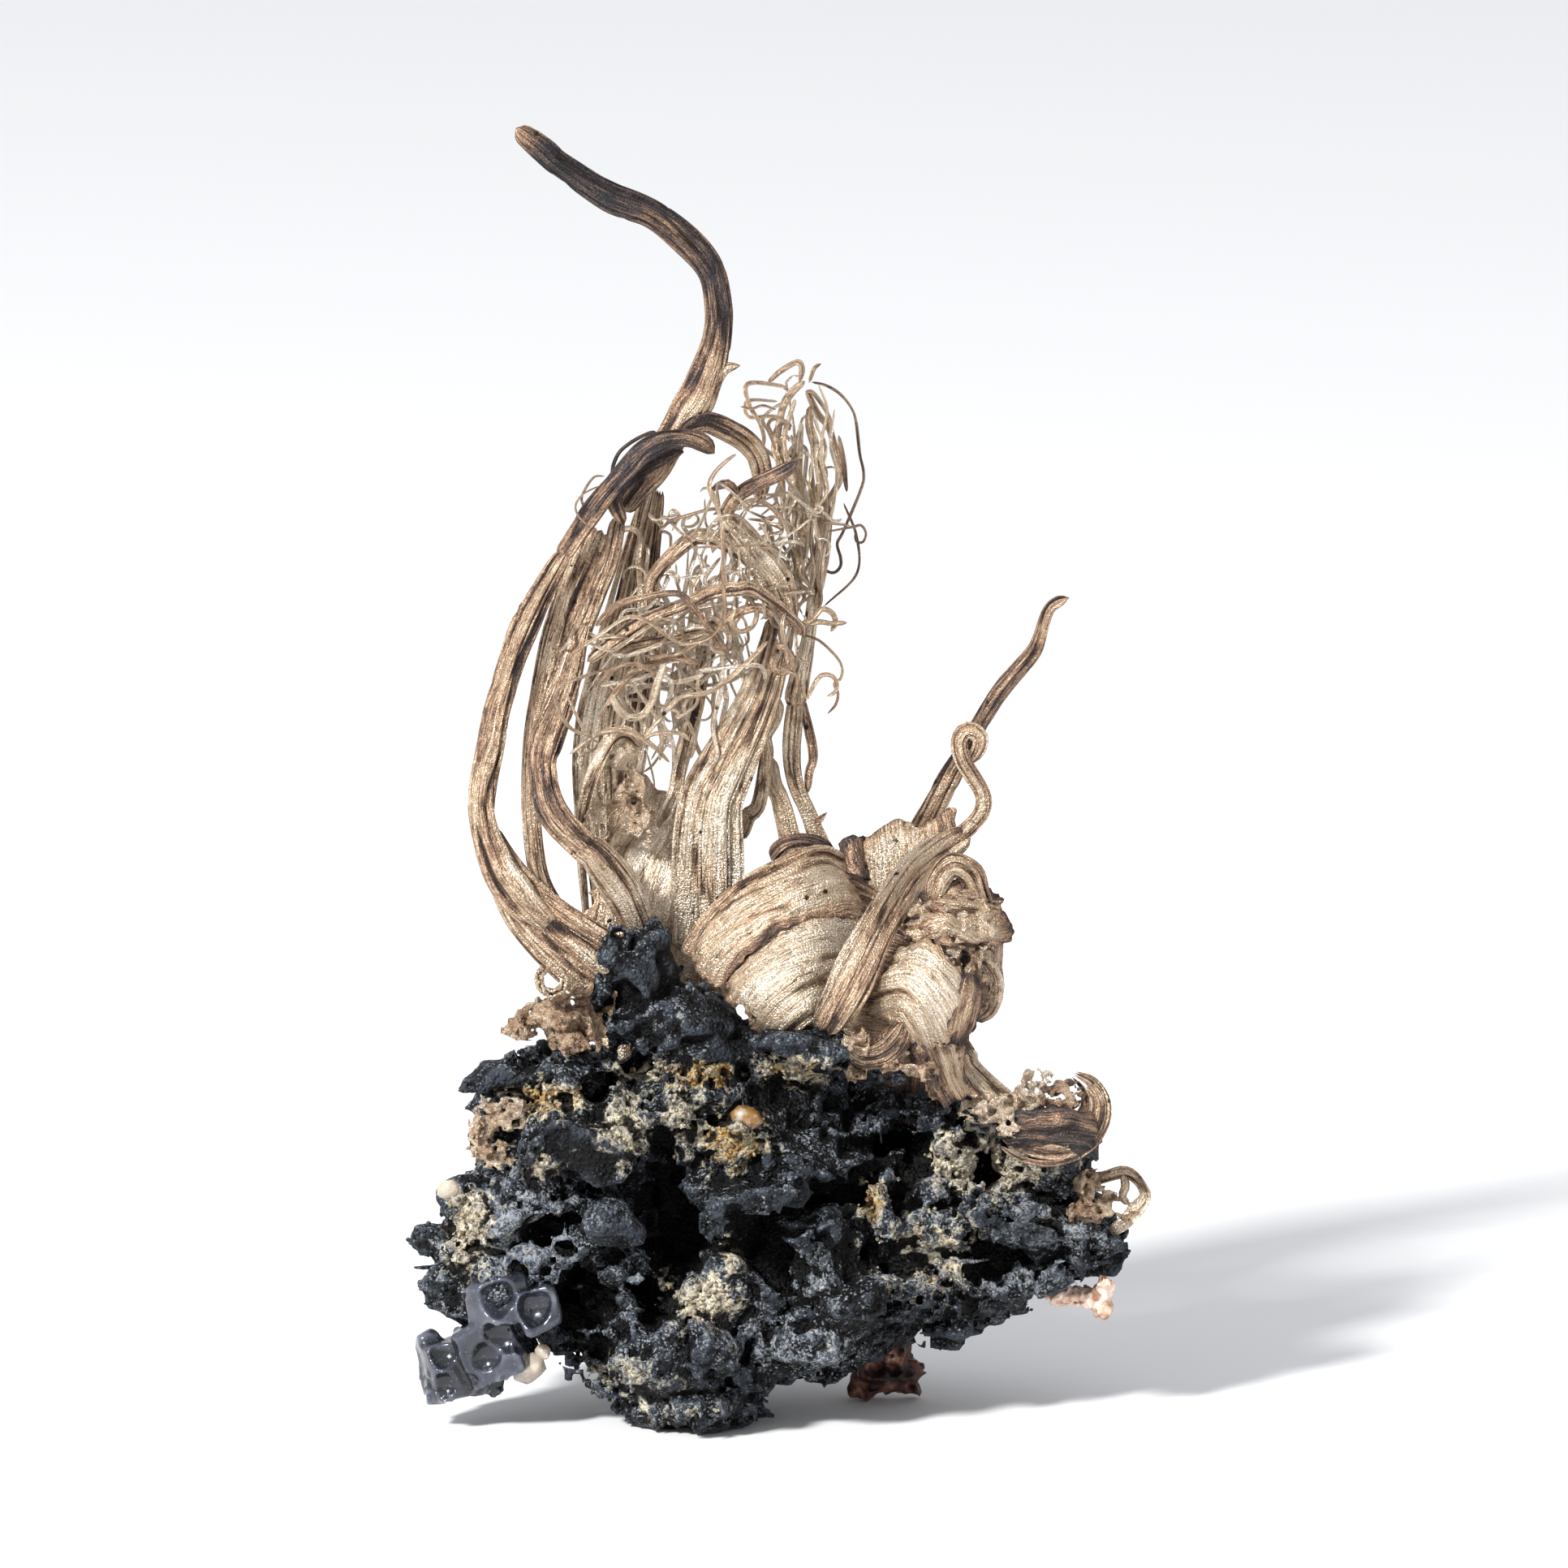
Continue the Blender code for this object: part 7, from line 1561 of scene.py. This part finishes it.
class SilverSettings(bpy.types.PropertyGroup):
    groove: share("Groove depth", "Depth of the grooves along single strips, as a share")
    pale: colour("Pale silver", "Clean metal", "#EFE0CD")
    beige: colour("Beige silver", "Thin tarnish", "#D7C3A8")
    tan: colour("Tan silver", "Warm tarnish", "#B6987D")
    brown: colour("Brown silver", "Thick tarnish", "#806450")
    mauve: colour("Mauve-brown silver", "Thicker tarnish", "#4A4242")
    dark: colour("Black silver", "Heaviest tarnish", "#232529")
    crevice: colour("Grooves", "Soot in grooves and pinholes", "#2E2018")


class WireSettings(bpy.types.PropertyGroup):
    density: share("Density", "Number of fine wires, as a share", 2.0)
    thickness: share("Thickness", "Width of the fine wires, as a share", 2.0)
    seed: IntProperty(name="Seed", description="Changes how the fine wires fall", default=0, min=0, max=999)


class CrystalSettings(bpy.types.PropertyGroup):
    smoke: colour("Smoke", "Glassy acanthite", "#25282F")
    # Also the colour of the painted shade in the deepest scoops.
    smoke_dark_and_shade: colour("Smoke, dark", "Glassy acanthite, deep", "#15150E")
    smoke_light: colour("Smoke, light", "Glassy acanthite, cloudy", "#4A4D58")
    # Also the colour of the painted highlight along the ridges.
    dust: colour("Dust", "Grains on the glassy faces", "#6E737C")
    quartz: colour("Quartz", "Milky quartz", "#E9D9C6")
    golden: colour("Golden quartz", "Iron-stained quartz", "#B07F3E")


class StageSettings(bpy.types.PropertyGroup):
    floor: colour("Floor", "Plain floor", "#F2F2F2")
    key: FloatProperty(name="Key light", description="Power of the large light", unit="POWER", default=20.0,
                       min=0.0, max=200.0)
    fill: FloatProperty(name="Fill light", description="Strength of the even light round the object",
                        default=0.75, min=0.0, max=3.0)


class SpecimenSettings(bpy.types.PropertyGroup):
    rock: PointerProperty(type=RockSettings)
    silver: PointerProperty(type=SilverSettings)
    wires: PointerProperty(type=WireSettings)
    crystals: PointerProperty(type=CrystalSettings)
    stage: PointerProperty(type=StageSettings)


# ---------------------------------------------------------------- pieces

def settings_of(context):
    """All the settings, which the scene holds."""
    return context.scene.native_silver


def finish(name, make, *inputs):
    """The material of that name, made the first time it is asked for."""
    return bpy.data.materials.get(name) or make(Look(name), *inputs)


def place_part(name, part, material, solids, smooth=True):
    """Puts a part into the scene with its paint and material, standing for the solids named."""
    piece = put_mesh(name, part["points"], part["faces"], smooth)
    paint(piece, "wear_and_shade", part["wear_and_shade"])
    flow = piece.data.attributes.new("flow", "FLOAT_VECTOR", "POINT")
    flow.data.foreach_set("vector", np.ascontiguousarray(part["flow"], np.float32).ravel())
    piece.data.materials.append(material)
    if solids:
        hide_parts(*solids)


def place_silver(context, key, kind, part):
    """Places a silver part, which stands for the solid of its own name if there is one."""
    place_part(f"{key}_{kind}", part,
               finish("tarnished_native_silver", silver_material, settings_of(context).silver),
               [key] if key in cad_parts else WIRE_SOLIDS.get(key))


class SPECIMEN_OT_rock(bpy.types.Operator):
    """Lumpy acanthite matrix with its crusts and crumbs"""
    bl_idname = "specimen.rock"
    bl_label = "Matrix"

    def execute(self, context):
        settings = settings_of(context).rock
        points, faces, depth = rock_surface(settings.step, settings.relief)
        cream, ochre, dust = crust_paint(points)
        # The fourth paint column is painted shade: high in pits, clefts and deep hollows under the open face,
        # low on knobs.
        tone = np.clip(0.5 + shadowing(points, faces) / 0.45 + 0.6 * ease(0.7, 2.7, depth), 0, 1)
        normals = point_normals(points, faces)
        # Pale dust on faces turned up and towards the key light at the front left, less in painted shade:
        # partly dust on top faces, partly a painted highlight of the lit side.
        dust = dust + 0.35 * ease(0.2, 0.9, normals @ np.array([-0.45, -0.35, 0.82])) * (1 - tone)
        colours = np.clip(stacked(cream, ochre, dust, tone), 0, 1)
        stone = finish("acanthite_rock", acanthite_material, settings)
        piece = put_mesh("acanthite_matrix", points, [faces])
        # The crust paint holds cream, ochre, dust with its painted highlight, and the painted shade in its
        # fourth column.
        paint(piece, "crust", colours)
        piece.data.materials.append(stone)
        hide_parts("matrix")
        random = np.random.default_rng(88)
        weight = np.clip(cream + 0.25 * ochre + 0.06, 0, 1) * (points[:, 2] > 0.6)
        chosen = random.choice(len(points), settings.crumbs, replace=False, p=weight / weight.sum())
        sizes = 0.06 + 0.16 * random.uniform(0, 1, len(chosen)) ** 2
        crumb_points, crumb_faces = crumbs(points[chosen], normals[chosen], sizes, 89)
        loose = put_mesh("crust_crumbs", crumb_points, [crumb_faces], smooth=False)
        # Each crumb takes the paint of its point, with more cream and four fifths of its painted shade.
        paint(loose, "crust", np.repeat(colours[chosen] * np.array([1.2, 1, 1, 0.8]), len(CRUMB), axis=0))
        loose.data.materials.append(stone)
        return {"FINISHED"}


class SPECIMEN_OT_strips(bpy.types.Operator):
    """Grooved strips of silver, single and in bundles"""
    bl_idname = "specimen.strips"
    bl_label = "Strips and Bundles"

    def execute(self, context):
        deeper = settings_of(context).silver.groove
        for key, (flat, around, seed, groove, turn, rows) in STRIPS.items():
            place_silver(context, key, "strip", strand(rows, flat, around, seed, groove * deeper, turn))
        for key, (count, seed, shape, rows) in BUNDLES.items():
            place_silver(context, key, "strips", bundle(rows, count, seed, **shape))
        return {"FINISHED"}


class SPECIMEN_OT_sheets(bpy.types.Operator):
    """Torn, fibrous leaves and sheets of silver"""
    bl_idname = "specimen.sheets"
    bl_label = "Leaves and Sheets"

    def execute(self, context):
        for key, (shape, rows) in SHEETS.items():
            place_silver(context, key, "plate", sheet(rows, **shape))
        return {"FINISHED"}


class SPECIMEN_OT_wires(bpy.types.Operator):
    """Fine round wires of the head and the tangle"""
    bl_idname = "specimen.wires"
    bl_label = "Fine Wires"

    def execute(self, context):
        settings = settings_of(context).wires
        place_silver(context, "head", "wires", traced_wires(HEAD_WIRES, 700, settings))
        place_silver(context, "tangle", "wires", traced_wires(TANGLE_WIRES, 800, settings))
        for key, family in WIRE_FAMILIES.items():
            place_silver(context, key, "fill", wild_wires(family, settings))
        return {"FINISHED"}


class SPECIMEN_OT_crumples(bpy.types.Operator):
    """Crumpled foil, the rolled spiral and the granular crusts"""
    bl_idname = "specimen.crumples"
    bl_label = "Crumples and Crusts"

    def execute(self, context):
        for key, settings in FOILS.items():
            place_silver(context, key, "foil", crumpled_foil(*settings))
        place_silver(context, "spiral_curl", "roll", spiral_part())
        pink = finish("pink_crust", crust_material, "#F7E3D3", "#D9B49C", "#8C5F4C", "#3A221B")
        grains = granular_lump(EDGE_CRUST_LUMPS, 0.12, 951, (0.3, 0.2), (0.6, 0.3), 0.3, 0.3)
        place_part("edge_crust_grains", grains, pink, ["edge_crust_right"])
        return {"FINISHED"}


class SPECIMEN_OT_nugget(bpy.types.Operator):
    """Dark red-brown nugget that the specimen leans on at the back"""
    bl_idname = "specimen.nugget"
    bl_label = "Foot Nugget"

    def execute(self, context):
        brown = finish("copper_brown_crust", crust_material, "#C79A80", "#6A4234", "#2C1C1A", "#120D0E")
        mass = granular_lump(FOOT_LUMPS, 0.14, 961, (0.34, 0.16), (1.1, 0.4), 0.5, 0.4)
        place_part("foot_nugget_mass", mass, brown, ["foot_nugget"])
        return {"FINISHED"}


class SPECIMEN_OT_crystals(bpy.types.Operator):
    """Glassy acanthite crystals and quartz grains"""
    bl_idname = "specimen.crystals"
    bl_label = "Crystals"

    def execute(self, context):
        settings = settings_of(context).crystals
        place_part("glassy_crystal_cluster", glassy_part(),
                   finish("acanthite_crystal", glassy_material, settings), ["acanthite_crystals"])
        milky = finish("milky_quartz", quartz_material, settings.quartz)
        golden = finish("golden_quartz", quartz_material, settings.golden)
        for number, (key, shape) in enumerate(QUARTZ_FORMS.items()):
            place_part(key + "_grain", quartz_part(*shape, 970 + number),
                       golden if "golden" in key else milky, [key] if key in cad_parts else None, False)
        return {"FINISHED"}


# The stage in metres: half the width of the floor, the width of the view at the front contact
# and its middle as (across, up, back) in millimetres, and where the large light stands and looks.
FLOOR_REACH = 2.5
VIEW_WIDTH = 0.0966
VIEW_MIDDLE = (0.8, 40.95, FRONT_CONTACT_BACK)
LIGHT_WAY = (-0.60, -0.78, 0.66)
LIGHT_DISTANCE = 1.1
LIGHT_AIM = (0.003, 0.0, 0.035)


class SPECIMEN_OT_stage(bpy.types.Operator):
    """Plain floor, soft lights and the camera"""
    bl_idname = "specimen.stage"
    bl_label = "Stage"

    def execute(self, context):
        scene = context.scene
        settings = settings_of(context).stage
        mesh = bpy.data.meshes.new("floor")
        corners = [(x * FLOOR_REACH, y * FLOOR_REACH, 0) for x, y in ((-1, -1), (1, -1), (1, 1), (-1, 1))]
        mesh.from_pydata(corners, [], [(0, 1, 2, 3)])
        floor = bpy.data.objects.new("floor", mesh)
        look = Look("matt_floor_paint")
        look.feed([look.shader.inputs[name] for name in ("Base Color", "Roughness")], (settings.floor, 0.9))
        mesh.materials.append(look.material)
        world = bpy.data.worlds.new("even_light")
        world.use_nodes = True
        look.feed(world.node_tree.nodes["Background"].inputs, (linear("#F4F6FA"), settings.fill))
        scene.world = world
        key_from = Vector(LIGHT_WAY).normalized()
        light = bpy.data.lights.new("key_light", "AREA")
        light.shape = "DISK"
        light.size = 0.16
        light.energy = settings.key
        key = bpy.data.objects.new("key_light", light)
        key.location = Vector(LIGHT_AIM) + key_from * LIGHT_DISTANCE
        key.rotation_euler = key_from.to_track_quat("Z", "Y").to_euler()
        lens = bpy.data.cameras.new("camera")
        lens.lens = 400.0
        lens.sensor_width = 36.0
        lens.clip_end = 20.0
        camera = bpy.data.objects.new("camera", lens)
        back_off = VIEW_WIDTH * lens.lens / lens.sensor_width
        camera.location = (Vector(at(VIEW_MIDDLE)) * MM
                           + Vector((0, -math.cos(SIGHT_FALL), math.sin(SIGHT_FALL))) * back_off)
        camera.rotation_euler = (math.pi / 2 - SIGHT_FALL, 0, 0)
        for thing in (floor, key, camera):
            scene.collection.objects.link(thing)
        scene.camera = camera
        scene.view_settings.view_transform = "Standard"
        return {"FINISHED"}


OPERATORS = (SPECIMEN_OT_stage, SPECIMEN_OT_rock, SPECIMEN_OT_strips, SPECIMEN_OT_sheets, SPECIMEN_OT_wires,
             SPECIMEN_OT_crumples, SPECIMEN_OT_nugget, SPECIMEN_OT_crystals)


class SPECIMEN_PT_panel(bpy.types.Panel):
    bl_idname = "SPECIMEN_PT_panel"
    bl_label = "Native Silver Specimen"
    bl_space_type = "VIEW_3D"
    bl_region_type = "UI"
    bl_category = "Specimen"

    def draw(self, context):
        settings = settings_of(context)
        for group in settings.__annotations__:
            box = self.layout.box()
            box.label(text=group.capitalize())
            values = getattr(settings, group)
            for name in values.__annotations__:
                box.prop(values, name)
        for operator in OPERATORS:
            self.layout.operator(operator.bl_idname)


CLASSES = (RockSettings, SilverSettings, WireSettings, CrystalSettings, StageSettings, SpecimenSettings,
           *OPERATORS, SPECIMEN_PT_panel)


def register():
    for kind in CLASSES:
        bpy.utils.register_class(kind)
    bpy.types.Scene.native_silver = PointerProperty(type=SpecimenSettings)


def unregister():
    del bpy.types.Scene.native_silver
    for kind in reversed(CLASSES):
        bpy.utils.unregister_class(kind)


def main():
    register()
    for operator in OPERATORS:
        group, name = operator.bl_idname.split(".")
        getattr(getattr(bpy.ops, group), name)()


if __name__ == "__main__":
    main()
